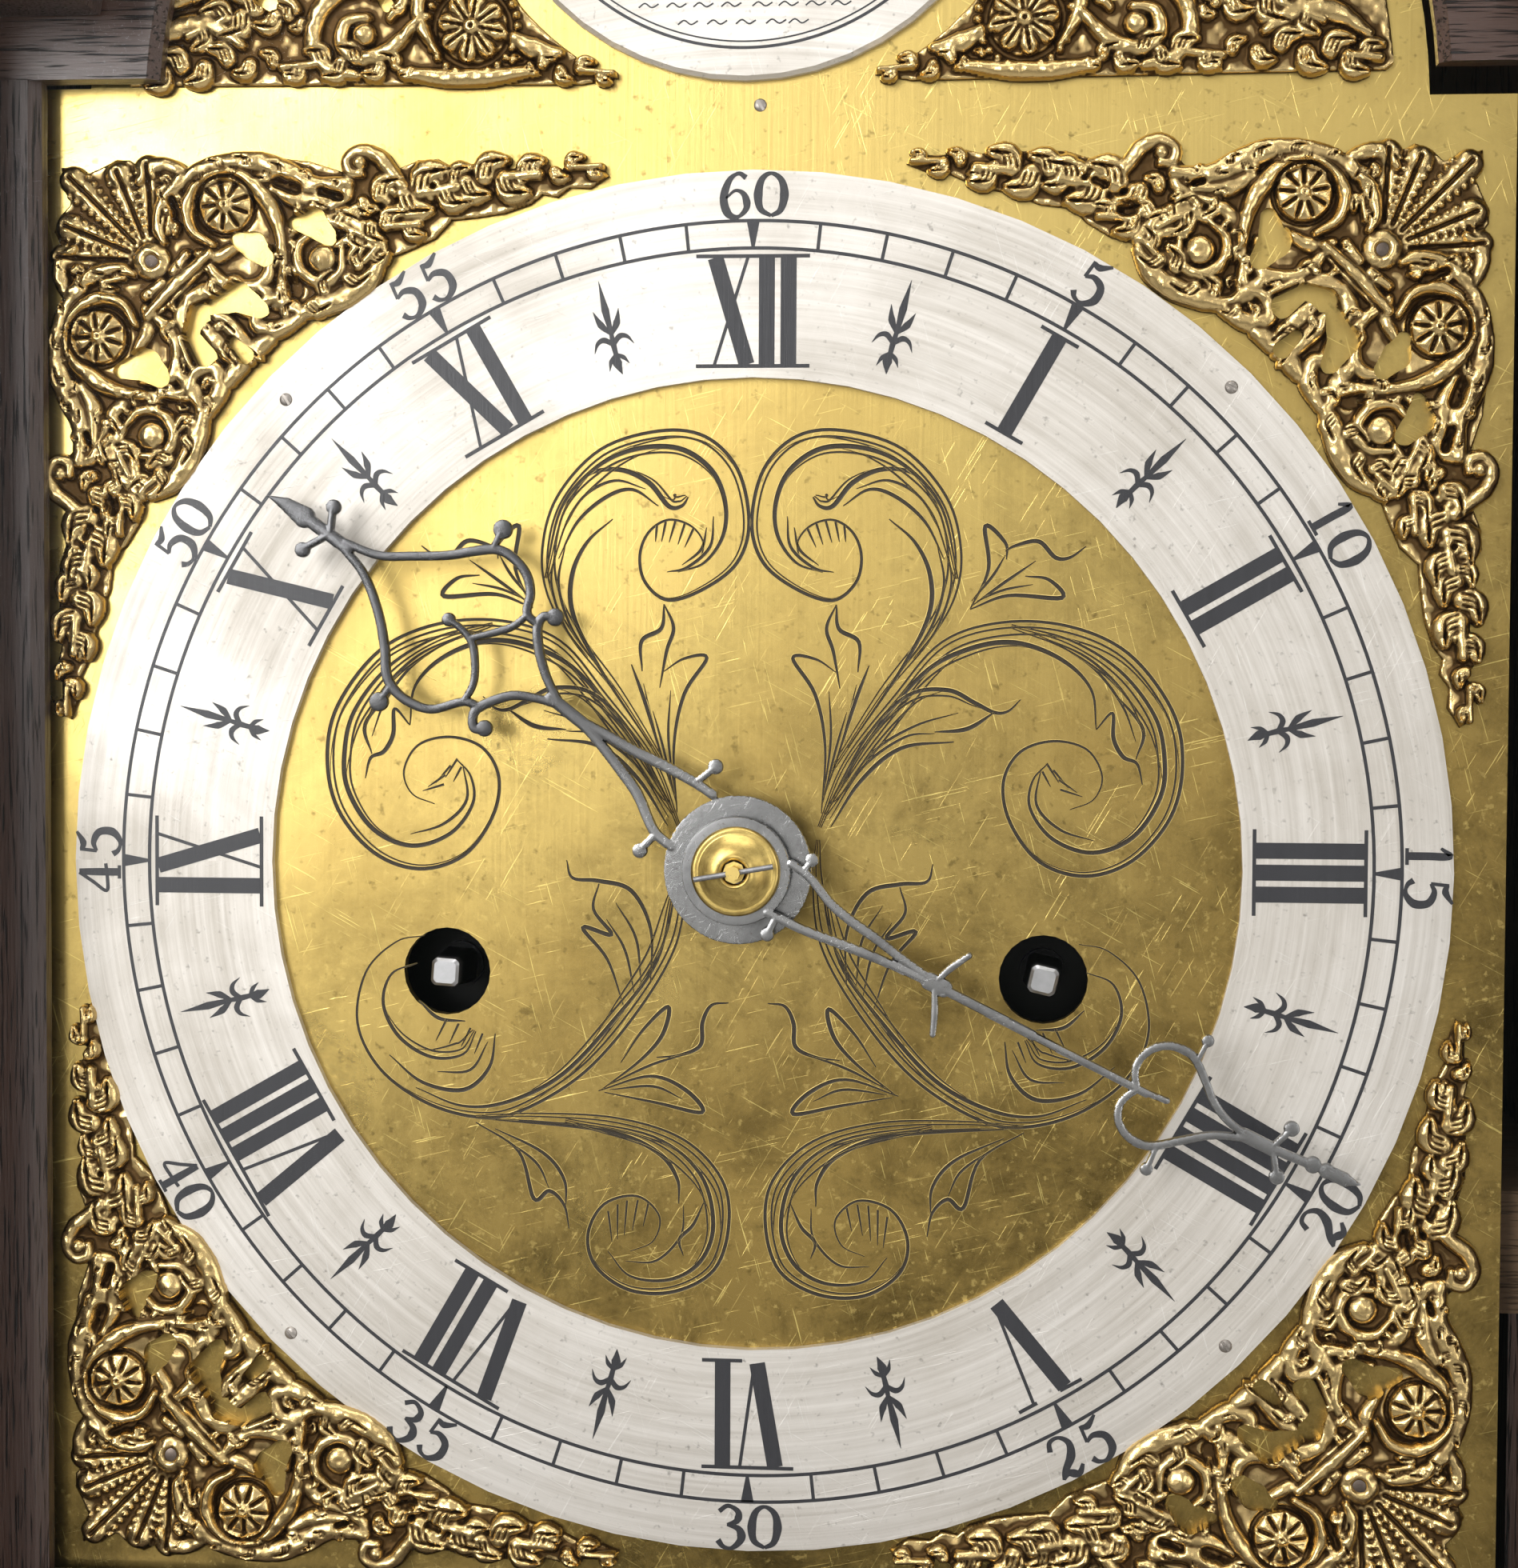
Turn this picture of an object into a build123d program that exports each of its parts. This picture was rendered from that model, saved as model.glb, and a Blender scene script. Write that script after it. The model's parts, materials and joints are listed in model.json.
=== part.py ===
"""A grandmother clock: a small oak longcase with a brass break-arch dial and a spring-driven,
two-train pendulum movement that strikes on gong rods.

X runs to the right seen from the front, Y to the wall and Z up. The origin is the middle of the
case's footprint on the floor, and every length is in millimetres.
"""

import os
from math import atan2, cos, degrees, hypot, pi, radians, sin, sqrt

from build123d import *

# Case
overall_depth = 220.0
board = 12.0
gap = 0.4
thin_radius = 5.0
thin_sides = 8
small_sides = 12
middle_sides = 24
large_sides = 64
middle_radius = 25.0
skirting_reach = 10.0
skirting_height = 72.0
skirting_cove = 14.0
plinth_width = 292.0
plinth_depth = 206.0
plinth_height = 345.0
trunk_width = 236.0
trunk_moulding_height = 26.0
throat_height = 34.0
throat_reach = 26.0
moulding_fillet = 4.0
hood_floor_drop = 150.0
cheek_inset = 1.0
front_frame_stile = 28.0
front_frame_rail = 40.0
seat_board_thickness = 18.0
seat_board_front = 6.0
seat_board_depth = 108.0

# Trunk door
trunk_door_thickness = 18.0
trunk_door_gap = 1.0
trunk_door_stile = 34.0
panel_thickness = 9.0
panel_field = 3.0
panel_bevel = 12.0
panel_tongue = 4.0
knob_radius = 9.0
knob_reach = 15.0
knob_spindle_radius = 3.0
catch_length = 27.0
cam_width = 9.0
cam_thickness = 2.0
running_gap = 0.05
knob_profile = ((1.0, 0.0), (1.0, 0.1), (0.42, 0.25), (0.42, 0.45), (0.92, 0.62), (0.92, 0.82), (0.5, 1.0))

# Hinges
knuckle_radius = 2.4
hinge_pin_radius = 1.1
hinge_leaf = 1.2
hinge_height = 42.0
hinge_leaf_reach = 13.0
hinge_inset = 70.0

# Hood
hood_width = 300.0
cornice_reach = 16.0
cornice_height = 32.0
cornice_fillet = 5.0
cornice_start = 10.0
hood_base_thickness = 14.0
hood_base_reach = 33.0
hood_door_thickness = 20.0
hood_door_stile = 31.0
hood_door_arch_rail = 19.0
shoulder_gap = 1.0
shoulder_rail = 28.0
door_swing_clear = 6.5
hood_front_height = 20.0
roof_thickness = 8.0
glass_thickness = 2.0
glass_setback = 5.0
glass_lap = 5.0
hood_knob_radius = 6.5
hood_knob_reach = 13.0

# Mask, the oak surround behind the hood door
mask_thickness = 4.0
mask_opening_width = 218.5
mask_arch_radius = 91.75
mask_sill_drop = 106.4
mask_shoulder_rise = 114.0
mask_edge_round = 1.6
mask_sight = 9.0

# Dial
dial_height = 1375.0
dial_offset = -6.2
ring_offset = 1.2
dial_setback = 6.5
plate_width = 219.0
plate_thickness = 2.2
plate_drop = 108.4
plate_rise = 110.6
plate_arch_radius = 97.3
plate_arch_drop = 2.8
hand_hole_radius = 7.0
winding_spread = 43.85
winding_drop = 16.0
winding_hole_radius = 6.4
ring_radius = 100.8
ring_inner_radius = 71.0
ring_thickness = 1.6
ring_edge = 0.25
ring_pin_radius = 1.0
ring_pin_circle = 97.3
roundel_radius = 39.5
roundel_rise = 153.1
roundel_thickness = 1.8
roundel_edge = 0.6
roundel_sides = 48
arch_pin_rise = 110.7

# Corner and arch spandrels
casting_thickness = 2.4
casting_relief = 1.3
casting_boss = 1.5
casting_reach = 103.6
casting_arm_end = 22.0
casting_arm_width = 2.6
casting_ring_gap = 2.6
casting_screws = ((89.5, 88.6), (-88.8, 88.3), (-86.5, -88.9), (88.6, -88.3))
casting_screw_place = 88.5
screw_radius = 1.2
screw_head_radius = 1.7
screw_head_height = 0.9
screw_boss_radius = 2.7
inner_steps = 10
rosette_radius = 3.9
rosette_place = (77.5, 96.6)
scroll_radius = 5.4
arch_casting_margin = 4.5
arch_casting_low = 3.2
arch_casting_top = 66.0
arch_rosette_place = (40.0, 10.4)
arch_rosette_radius = 7.8

# Hands, measured from the dial's centre along and across each hand
hour_hand_angle = 141.87
minute_hand_angle = -26.1
hour_hand_lift = 5.6
minute_hand_lift = 8.4
hand_thickness = 1.1
hour_disc_radius = 10.7
minute_disc_radius = 7.8
collet_radius = 6.4
collet_height = 2.6
collet_rim = 0.9
collet_dome = 3.0
cannon_radius = 3.3
hour_pipe_radius = 4.2
tip_lift = 14.2
ball_sides = 6
taper_pin_length = 11.4
taper_pin_radius = 0.4
taper_pin_tilt = 10.0

# Movement frame
dial_gap = 11.3
plate_metal = 2.5
plate_span = 42.0
frame_width = 156.0
frame_drop = 47.0
frame_rise = 63.0
pillar_radius = 4.0
pillar_inset = 6.0
dial_foot_radius = 2.5
dial_foot_place = (62.0, 38.0)
running_fit = 0.05
arbor_radius = 0.9
centre_arbor_radius = 1.6
tip_radius = 1.05

# Teeth: counts and modules of each meshing pair, wheel first
great_teeth = 60
great_pinion = 8
great_module = 0.9
second_teeth = 32
centre_pinion = 8
second_module = 0.95
centre_teeth = 60
third_pinion = 6
centre_module = 0.55
third_teeth = 48
escape_pinion = 6
third_module = 0.6
escape_teeth = 30
escape_radius = 13.5
pin_wheel_teeth = 48
gathering_pinion = 6
pin_wheel_module = 0.6
gathering_teeth = 48
warning_pinion = 6
gathering_module = 0.5
warning_teeth = 42
fly_pinion = 6
warning_module = 0.5
cannon_teeth = 20
minute_wheel_teeth = 60
cannon_module = 0.72
minute_pinion = 10
hour_wheel_teeth = 40
wheel_thickness = 1.4
great_wheel_thickness = 2.4
pinion_length = 5.0
wheel_rim = 3.6
wheel_boss = 3.4
hour_boss = 6.2
wheel_spokes = 4
spoke_width = 2.0
centre_pinion_depth = 2.4
centre_pinion_length = 5.0
great_overhang = 1.3
escape_root = 11.3
escape_undercut = 3.2
escape_gullet = 9.0
cannon_lift = 0.6
cannon_teeth_lift = 2.0
cannon_teeth_length = 3.0
minute_wheel_lift = 2.8
minute_stud_reach = 9.0
minute_pinion_length = 4.2
hour_wheel_lift = 6.2
pipe_rim = 0.4
tooth_tip = 0.95
tooth_root = 1.3
leaf_tip = 0.5
leaf_root = 1.3
leaf_base_share = 0.40
leaf_tip_share = 0.20

# Barrels, winding and click work
barrel_radius = 23.0
barrel_height = 23.0
barrel_place = 11.0
barrel_arbor_radius = 3.5
winding_square = 4.0
winding_square_length = 12.0
ratchet_teeth = 18
ratchet_radius = 10.0
ratchet_depth = 1.3
ratchet_thickness = 1.8
ratchet_lift = 0.5
click_length = 13.0
click_radius = 2.6
stud_radius = 1.2
click_pivot_reach = 16.0
click_turn = 42.0
click_heel = 2.0
ratchet_undercut = 16.0
winding_collar = 1.2
winding_widening = 1.2
going_square_turn = 40.0
strike_square_turn = 45.0
click_clear = 0.3

# Escapement, crutch and pendulum
anchor_height = 52.0
pallet_angle = 45.0
pallet_clear = 1.0
pallet_width = 2.4
anchor_thickness = 4.0
crutch_drop = 45.0
crutch_width = 3.4
crutch_thickness = 1.6
crutch_prong = 1.8
crutch_gap = 0.8
crutch_clear = 0.3
crutch_boss_radius = 3.6
anchor_arm = (
    (0, 4.0), (7.0, 2.0), (12.5, -3.0), (14.2, -8.0), (11.3, -11.3), (9.3, -9.3), (9.6, -6.0), (5.0, -2.6),
    (0, -2.5),
)
cock_gap = 7.5
cock_thickness = 2.6
cock_half_width = 21.0
cock_foot = 7.0
cock_height = 12.0
stud_reach = 8.0
stud_half_width = 4.5
stud_slot = 2.6
stud_rise = 3.0
stud_height = 6.0
suspension_pin_radius = 0.8
spring_thickness = 0.5
spring_width = 5.0
spring_drop = 15.0
chops_height = 8.0
chops_half = 2.4
rod_radius = 2.2
pendulum_length = 565.0
bob_radius = 42.0
bob_thickness = 18.0
bob_bevel = 4.0
bob_sides = 36
rod_tail = 22.0
nut_radius = 7.5
nut_height = 7.0

# Striking work
hammer_place = (-61.0, -42.6)
hammer_drop = 58.0
hammer_reach = 4.0
hammer_radius = 6.0
hammer_length = 26.0
hammer_face_y = 24.0
hammer_clear = 0.9
gong_rod_radius = 1.6
gong_rod_lengths = (300.0, 276.0)
gong_rod_pitch = 14.0
gong_block_height = 24.0
gong_block_width = 20.0
gong_block_drop = 2.0
fly_half_width = 8.0
fly_thickness = 0.7
fly_length = 11.0
strike_pin_count = 8
strike_pin_radius = 0.7
strike_pin_sides = 6
strike_pin_length = 3.0
strike_pin_circle = 11.5
fly_depth = 28.0
hammer_tail = ((0, 0), (1.0, 37.6), (18.4, 55.6))
hammer_tail_depth = 2.8
hammer_tail_width = 3.0
hammer_arm_width = 3.6
hammer_arm_thickness = 3.0
gong_block_margin = 6.0
gong_block_lap = 6.0

wall_y = overall_depth / 2
hood_depth = overall_depth - cornice_reach
hood_front_y = wall_y - hood_depth
hood_door_back_y = hood_front_y + hood_door_thickness
mask_front_y = hood_door_back_y + 1.0
dial_front_y = mask_front_y + dial_setback
ring_face_y = dial_front_y - ring_thickness
dial_back_y = dial_front_y + plate_thickness
frame_front_y = dial_back_y + dial_gap
inner_y = frame_front_y + plate_metal
back_plate_y = inner_y + plate_span
frame_back_y = back_plate_y + plate_metal
backboard_y = wall_y - board
cock_front_y = frame_back_y + cock_gap
pendulum_y = cock_front_y + cock_thickness + stud_reach / 2
hood_floor_z = dial_height - hood_floor_drop
trunk_top_z = hood_floor_z - throat_height
seat_top_z = dial_height - frame_drop
seat_bottom_z = seat_top_z - seat_board_thickness
trunk_depth = plinth_depth - (plinth_width - trunk_width) / 2
trunk_front_y = wall_y - trunk_depth
plinth_front_y = wall_y - plinth_depth
arch_centre_z = dial_height + plate_rise - plate_arch_drop
mask_shoulder_z = dial_height + mask_shoulder_rise
door_opening_half = mask_opening_width / 2 + mask_sight
door_arch_radius = mask_arch_radius + mask_sight + hood_door_arch_rail
door_shoulder_z = mask_shoulder_z + mask_sight + shoulder_rail
door_bottom_z = hood_floor_z + gap + hood_base_thickness + gap
hood_shoulder_z = door_shoulder_z + 1.0 + hood_front_height
hood_arch_radius = door_arch_radius + shoulder_gap + hood_front_height

os.makedirs("parts", exist_ok=True)


def front_plane(y):
    """The upright plane at depth y: X to the right, Z up, facing the front."""
    return Plane.XZ.offset(-y)


def dial_point(point):
    """A point given from the hands' axis, as X and Z in the clock."""
    return (dial_offset + point[0], dial_height + point[1])


def dial_plane(y):
    """The upright plane at depth y with its origin on the hands' axis."""
    return Plane(origin=(dial_offset, y, dial_height), x_dir=(1, 0, 0), z_dir=(0, -1, 0))


def movement_y(depth):
    """Depth behind the front plate's inner face, as Y."""
    return inner_y + depth


def finish(piece, label):
    """Name a finished piece and write its file."""
    piece.part.label = label
    export_step(piece.part, f"parts/{label}.step")


def round_outline(radius, mode=Mode.ADD):
    """A round outline with flats, which leave the same running fit in a hole."""
    sides = thin_sides if radius < thin_radius / 2 else small_sides
    if radius > thin_radius:
        sides = middle_sides if radius < middle_radius else large_sides
    RegularPolygon(radius, sides, major_radius=mode == Mode.ADD, mode=mode)


def round_layer(centre, radius, back_y, length):
    """Add a layer with a round outline along the depth, growing from back_y towards the front."""
    with BuildSketch(dial_plane(back_y)) as outline:
        with Locations(centre):
            round_outline(radius)
    extrude(outline.sketch, amount=length)


def shaft(centre, radius, back_y, length):
    """Add a round shaft along the depth, growing from back_y towards the front."""
    with BuildSketch(dial_plane(back_y)) as outline:
        with Locations(centre):
            Circle(radius)
    extrude(outline.sketch, amount=length)


def turned(at, face_y, sections, sides):
    """Add a turned shape growing to the front, from sections given as a radius and a reach."""
    outlines = []
    for radius, reach in sections:
        with BuildSketch(front_plane(face_y - reach)) as outline:
            with Locations(at):
                RegularPolygon(radius, sides)
        outlines.append(outline.sketch.face())
    loft(sections=outlines, ruled=True)


def round_hole(centre, radius, back_y, length):
    """Cut a round hole along the depth, from back_y towards the front."""
    with BuildSketch(dial_plane(back_y)) as outline:
        with Locations(centre):
            RegularPolygon(radius, small_sides, major_radius=False)
    extrude(outline.sketch, amount=length, mode=Mode.SUBTRACT)


def upright_rod(x, y, low_z, high_z, radius, mode=Mode.ADD, true_round=False):
    """An upright rod or hole, true round where a joint turns on it and with flats elsewhere."""
    with BuildSketch(Plane.XY.offset(low_z)) as outline:
        with Locations((x, y)):
            if true_round:
                Circle(radius)
            else:
                RegularPolygon(radius, small_sides, major_radius=mode == Mode.ADD)
    extrude(outline.sketch, amount=high_z - low_z, mode=mode)


def board_box(low_x, high_x, low_y, high_y, low_z, high_z, mode=Mode.ADD):
    """A rectangular board between two corners."""
    middle = ((low_x + high_x) / 2, (low_y + high_y) / 2, (low_z + high_z) / 2)
    with Locations(middle):
        Box(high_x - low_x, high_y - low_y, high_z - low_z, mode=mode)


def arch_outline(half_width, bottom_z, shoulder_z, radius, plane):
    """A break-arch outline: a rectangle up to the shoulders with a round arch standing on it."""
    foot = sqrt(radius**2 - (shoulder_z - arch_centre_z) ** 2)
    with BuildSketch(plane) as outline:
        with BuildLine():
            Polyline(
                (-foot, shoulder_z), (-half_width, shoulder_z), (-half_width, bottom_z),
                (half_width, bottom_z), (half_width, shoulder_z), (foot, shoulder_z),
            )
            ThreePointArc((-foot, shoulder_z), (0, arch_centre_z + radius), (foot, shoulder_z))
        make_face()
    return outline.sketch


def polar_point(centre, radius, angle):
    """The point at a radius and an angle in degrees from a centre."""
    return (centre[0] + radius * cos(radians(angle)), centre[1] + radius * sin(radians(angle)))


def direction(start, end):
    """The angle in degrees of the line from one centre to another."""
    return degrees(atan2(end[1] - start[1], end[0] - start[0]))


def meeting_point(first, first_reach, second, second_reach, side):
    """The point at two given reaches from two centres, on the given side of their line."""
    apart = hypot(second[0] - first[0], second[1] - first[1])
    along = (first_reach**2 - second_reach**2 + apart**2) / (2 * apart)
    across = side * sqrt(first_reach**2 - along**2)
    unit = ((second[0] - first[0]) / apart, (second[1] - first[1]) / apart)
    return (first[0] + unit[0] * along - unit[1] * across, first[1] + unit[1] * along + unit[0] * across)


def mesh_phase(driver, driver_teeth, driver_phase, follower, follower_teeth):
    """The angle of a follower's tooth that puts its teeth between those of the driver."""
    line = direction(driver, follower)
    off_line = (driver_phase - line) % (360 / driver_teeth)
    return line + 180 + 180 / follower_teeth - off_line * driver_teeth / follower_teeth


def wheel_points(teeth, module, phase):
    """A wheel's outline: pointed teeth about the pitch circle."""
    pitch_radius = teeth * module / 2
    points = []
    for tooth in range(teeth):
        angle = phase + tooth * 360 / teeth
        points.append(polar_point((0, 0), pitch_radius + tooth_tip * module, angle))
        points.append(polar_point((0, 0), pitch_radius - tooth_root * module, angle + 180 / teeth))
    return points


def pinion_points(leaves, module, phase):
    """A pinion's outline: slim leaves with flat tips."""
    pitch_radius = leaves * module / 2
    pitch = 360 / leaves
    points = []
    for leaf in range(leaves):
        angle = phase + leaf * pitch
        for radius, share in (
            (pitch_radius - leaf_root * module, -leaf_base_share),
            (pitch_radius + leaf_tip * module, -leaf_tip_share),
            (pitch_radius + leaf_tip * module, leaf_tip_share),
            (pitch_radius - leaf_root * module, leaf_base_share),
        ):
            points.append(polar_point((0, 0), radius, angle + share * pitch / 2))
    return points


def toothed_layer(centre, points, back_y, length):
    """Add a toothed layer along the depth."""
    with BuildSketch(dial_plane(back_y)) as outline:
        with BuildLine():
            Polyline(*[(centre[0] + x, centre[1] + z) for x, z in points], close=True)
        make_face()
    extrude(outline.sketch, amount=length)


def cross_out(centre, inner, outer, spokes, spoke_width, back_y, length):
    """Cut a wheel's straight-sided openings, leaving a rim, a boss and its spokes."""
    half_step = 180 / spokes
    with BuildSketch(dial_plane(back_y)) as openings:
        for spoke in range(spokes):
            middle = spoke * 2 * half_step + half_step
            near_turn = half_step - degrees(spoke_width / 2 / inner)
            far_turn = half_step - degrees(spoke_width / 2 / outer)
            with BuildLine():
                Polyline(
                    polar_point(centre, inner, middle - near_turn),
                    polar_point(centre, outer, middle - far_turn),
                    polar_point(centre, outer, middle),
                    polar_point(centre, outer, middle + far_turn),
                    polar_point(centre, inner, middle + near_turn),
                    close=True,
                )
            make_face()
    extrude(openings.sketch, amount=length, mode=Mode.SUBTRACT)


# Where the arbors stand, from the hands' axis
centre_at = (0.0, 0.0)
going_barrel_at = (winding_spread, -winding_drop)
strike_barrel_at = (-winding_spread, -winding_drop)
great_distance = great_module * (great_teeth + great_pinion) / 2
second_distance = second_module * (second_teeth + centre_pinion) / 2
centre_distance = centre_module * (centre_teeth + third_pinion) / 2
third_distance = third_module * (third_teeth + escape_pinion) / 2
pin_wheel_distance = pin_wheel_module * (pin_wheel_teeth + gathering_pinion) / 2
gathering_distance = gathering_module * (gathering_teeth + warning_pinion) / 2
warning_distance = warning_module * (warning_teeth + fly_pinion) / 2
motion_distance = cannon_module * (cannon_teeth + minute_wheel_teeth) / 2
motion_module = 2 * motion_distance / (minute_pinion + hour_wheel_teeth)
second_at = meeting_point(centre_at, second_distance, going_barrel_at, great_distance, 1)
escape_at = (0.0, anchor_height - (escape_radius + pallet_clear) / cos(radians(pallet_angle)))
third_at = meeting_point(centre_at, centre_distance, escape_at, third_distance, -1)
pin_wheel_at = polar_point(strike_barrel_at, great_distance, 60)
gathering_at = polar_point(pin_wheel_at, pin_wheel_distance, 100)
warning_at = polar_point(gathering_at, gathering_distance, 60)
fly_at = polar_point(warning_at, warning_distance, 150)
minute_wheel_at = (0.0, motion_distance)
anchor_at = (0.0, anchor_height)
hammer_at = hammer_place
arbors_between_plates = (second_at, third_at, escape_at, pin_wheel_at, gathering_at, warning_at, fly_at)
pillar_places = [
    (side * (frame_width / 2 - pillar_inset), level)
    for side in (-1, 1)
    for level in (pillar_inset - frame_drop, frame_rise - pillar_inset)
]
click_places = [
    polar_point(strike_barrel_at, click_pivot_reach, 120), polar_point(going_barrel_at, click_pivot_reach, 60)
]
dial_foot_places = [(x * dial_foot_place[0], z * dial_foot_place[1]) for x in (-1, 1) for z in (-1, 1)]

# Where each train's layers lie, measured back from the front plate's inner face
great_wheel_depth = barrel_place + barrel_height
second_wheel_depth = 4.0
centre_wheel_depth = 8.6
third_wheel_depth = 18.0
escape_wheel_depth = 28.0
pin_wheel_depth = 5.6
gathering_wheel_depth = 14.0
warning_wheel_depth = 22.0
leaf_overhang = (pinion_length - wheel_thickness) / 2


def three_sided_moulding(width, depth, base_z, points, cove_radius):
    """Run a profile round the left, front and right of the case, mitred at the corners.

    The profile's points are outward and upward from the case, and its third side is a cove.
    """
    half = width / 2
    front_y = wall_y - depth
    section = Plane(origin=(-half, wall_y, base_z), x_dir=(-1, 0, 0), z_dir=(0, 1, 0))
    corners = ((-half, wall_y), (-half, front_y), (half, front_y), (half, wall_y))
    with BuildLine() as route:
        Polyline(*[(x, y, base_z) for x, y in corners])
    with BuildSketch(section) as profile:
        with BuildLine():
            Polyline(*points[:3])
            RadiusArc(points[2], points[3], cove_radius)
            Polyline(*points[3:], points[0])
        make_face()
    sweep(sections=profile.sketch, path=route.wire(), transition=Transition.RIGHT)


def boards(label, *corner_sets):
    """A node of plain boards, each between two corners."""
    with BuildPart() as group:
        for corners in corner_sets:
            board_box(*corners)
    finish(group, label)


# Plinth and trunk
plinth_half = plinth_width / 2
trunk_half = trunk_width / 2
with BuildPart() as plinth_boards:
    board_box(-plinth_half, plinth_half, plinth_front_y, plinth_front_y + board, 0, plinth_height)
    for low in (-plinth_half, plinth_half - board):
        board_box(low, low + board, plinth_front_y + board, wall_y, 0, plinth_height)
    board_box(
        board - plinth_half, plinth_half - board, plinth_front_y + board, backboard_y,
        plinth_height - board, plinth_height,
    )
    board_box(
        -trunk_half, trunk_half, trunk_front_y, backboard_y, plinth_height - board, plinth_height,
        mode=Mode.SUBTRACT,
    )
finish(plinth_boards, "plinth_boards")
with BuildPart() as skirting:
    three_sided_moulding(
        plinth_width, plinth_depth, 0,
        (
            (0, 0), (skirting_reach, 0), (skirting_reach, skirting_height - skirting_cove),
            (skirting_reach - skirting_cove / 2, skirting_height), (0, skirting_height),
        ),
        -skirting_cove,
    )
finish(skirting, "skirting")
plinth_ledge = (plinth_width - trunk_width) / 2 - moulding_fillet
with BuildPart() as trunk_mouldings:
    three_sided_moulding(
        trunk_width, trunk_depth, plinth_height,
        (
            (0, 0), (plinth_ledge, 0), (plinth_ledge, moulding_fillet),
            (moulding_fillet, trunk_moulding_height), (0, trunk_moulding_height),
        ),
        trunk_moulding_height,
    )
    three_sided_moulding(
        trunk_width, trunk_depth, trunk_top_z,
        (
            (0, throat_height), (throat_reach, throat_height), (throat_reach, throat_height - moulding_fillet),
            (moulding_fillet, 0), (0, 0),
        ),
        -throat_height,
    )
finish(trunk_mouldings, "trunk_mouldings")
cheek_front_y = dial_back_y + seat_board_front
with BuildPart() as trunk_sides:
    for low in (-trunk_half, trunk_half - board):
        board_box(low, low + board, trunk_front_y, backboard_y, plinth_height - board, hood_floor_z)
        board_box(low, low + board, cheek_front_y, backboard_y, hood_floor_z, seat_bottom_z)
finish(trunk_sides, "trunk_sides")

# The trunk's front frame and its door
frame_low_z = plinth_height - board
frame_high_z = hood_floor_z
door_low_z = plinth_height + trunk_moulding_height + front_frame_rail
door_high_z = trunk_top_z - front_frame_rail
opening_half = trunk_half - board - front_frame_stile
trunk_frame_back_y = trunk_front_y + trunk_door_thickness
with BuildPart() as trunk_front:
    board_box(board - trunk_half, trunk_half - board, trunk_front_y, trunk_frame_back_y, frame_low_z, frame_high_z)
    board_box(
        -opening_half, opening_half, trunk_front_y, trunk_frame_back_y, door_low_z, door_high_z,
        mode=Mode.SUBTRACT,
    )
finish(trunk_front, "trunk_front")

door_half = opening_half - trunk_door_gap
panel_half = door_half - trunk_door_stile
door_base_z = door_low_z + trunk_door_gap
door_head_z = door_high_z - trunk_door_gap
panel_low_z = door_base_z + trunk_door_stile
panel_high_z = door_head_z - trunk_door_stile
groove_y = trunk_front_y + (trunk_door_thickness - panel_thickness) / 2
knob_at = (trunk_door_stile / 2 - door_half, (door_base_z + door_head_z) / 2)
with BuildPart() as trunk_door_frame:
    board_box(-door_half, door_half, trunk_front_y, trunk_frame_back_y, door_base_z, door_head_z)
    board_box(
        -panel_half, panel_half, trunk_front_y, trunk_frame_back_y, panel_low_z, panel_high_z,
        mode=Mode.SUBTRACT,
    )
    board_box(
        -panel_half - panel_tongue, panel_half + panel_tongue, groove_y, groove_y + panel_thickness - panel_field,
        panel_low_z - panel_tongue, panel_high_z + panel_tongue, mode=Mode.SUBTRACT,
    )
    with BuildSketch(front_plane(trunk_frame_back_y)) as spindle_hole:
        with Locations(knob_at):
            RegularPolygon(knob_spindle_radius + running_gap, thin_sides, major_radius=False)
    extrude(spindle_hole.sketch, amount=trunk_door_thickness, mode=Mode.SUBTRACT)
finish(trunk_door_frame, "trunk_door_frame")

tongue_y = groove_y + panel_thickness - panel_field
with BuildPart() as trunk_door_panel:
    board_box(
        -panel_half - panel_tongue, panel_half + panel_tongue, groove_y, tongue_y,
        panel_low_z - panel_tongue, panel_high_z + panel_tongue,
    )
    for field_y, bevel in ((groove_y, 0), (groove_y - panel_field, panel_bevel)):
        with BuildSketch(front_plane(field_y)):
            with Locations((0, (panel_low_z + panel_high_z) / 2)):
                Rectangle(2 * (panel_half - bevel), panel_high_z - panel_low_z - 2 * bevel)
    loft()
finish(trunk_door_panel, "trunk_door_panel")


def turned_knob(at, face_y, radius, reach, label, spindle_length=0.0, cam_length=0.0):
    """A turned brass knob on a rose, standing on a face and growing to the front."""
    with BuildPart() as knob:
        turned(at, face_y, [(radius * out, reach * along) for out, along in knob_profile], small_sides)
        if spindle_length > 0:
            with BuildSketch(front_plane(face_y + spindle_length)) as spindle:
                with Locations(at):
                    Circle(knob_spindle_radius)
            extrude(spindle.sketch, amount=spindle_length)
        if cam_length > 0:
            with BuildSketch(front_plane(face_y + spindle_length)) as cam:
                with Locations((at[0], at[1] - (cam_length - cam_width) / 2)):
                    Rectangle(cam_width, cam_length)
            extrude(cam.sketch, amount=cam_thickness)
    finish(knob, label)


cam_y = trunk_frame_back_y + gap + cam_thickness
turned_knob(
    knob_at, trunk_front_y - gap, knob_radius, knob_reach, "trunk_door_knob",
    spindle_length=cam_y - trunk_front_y + gap, cam_length=catch_length,
)


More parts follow.
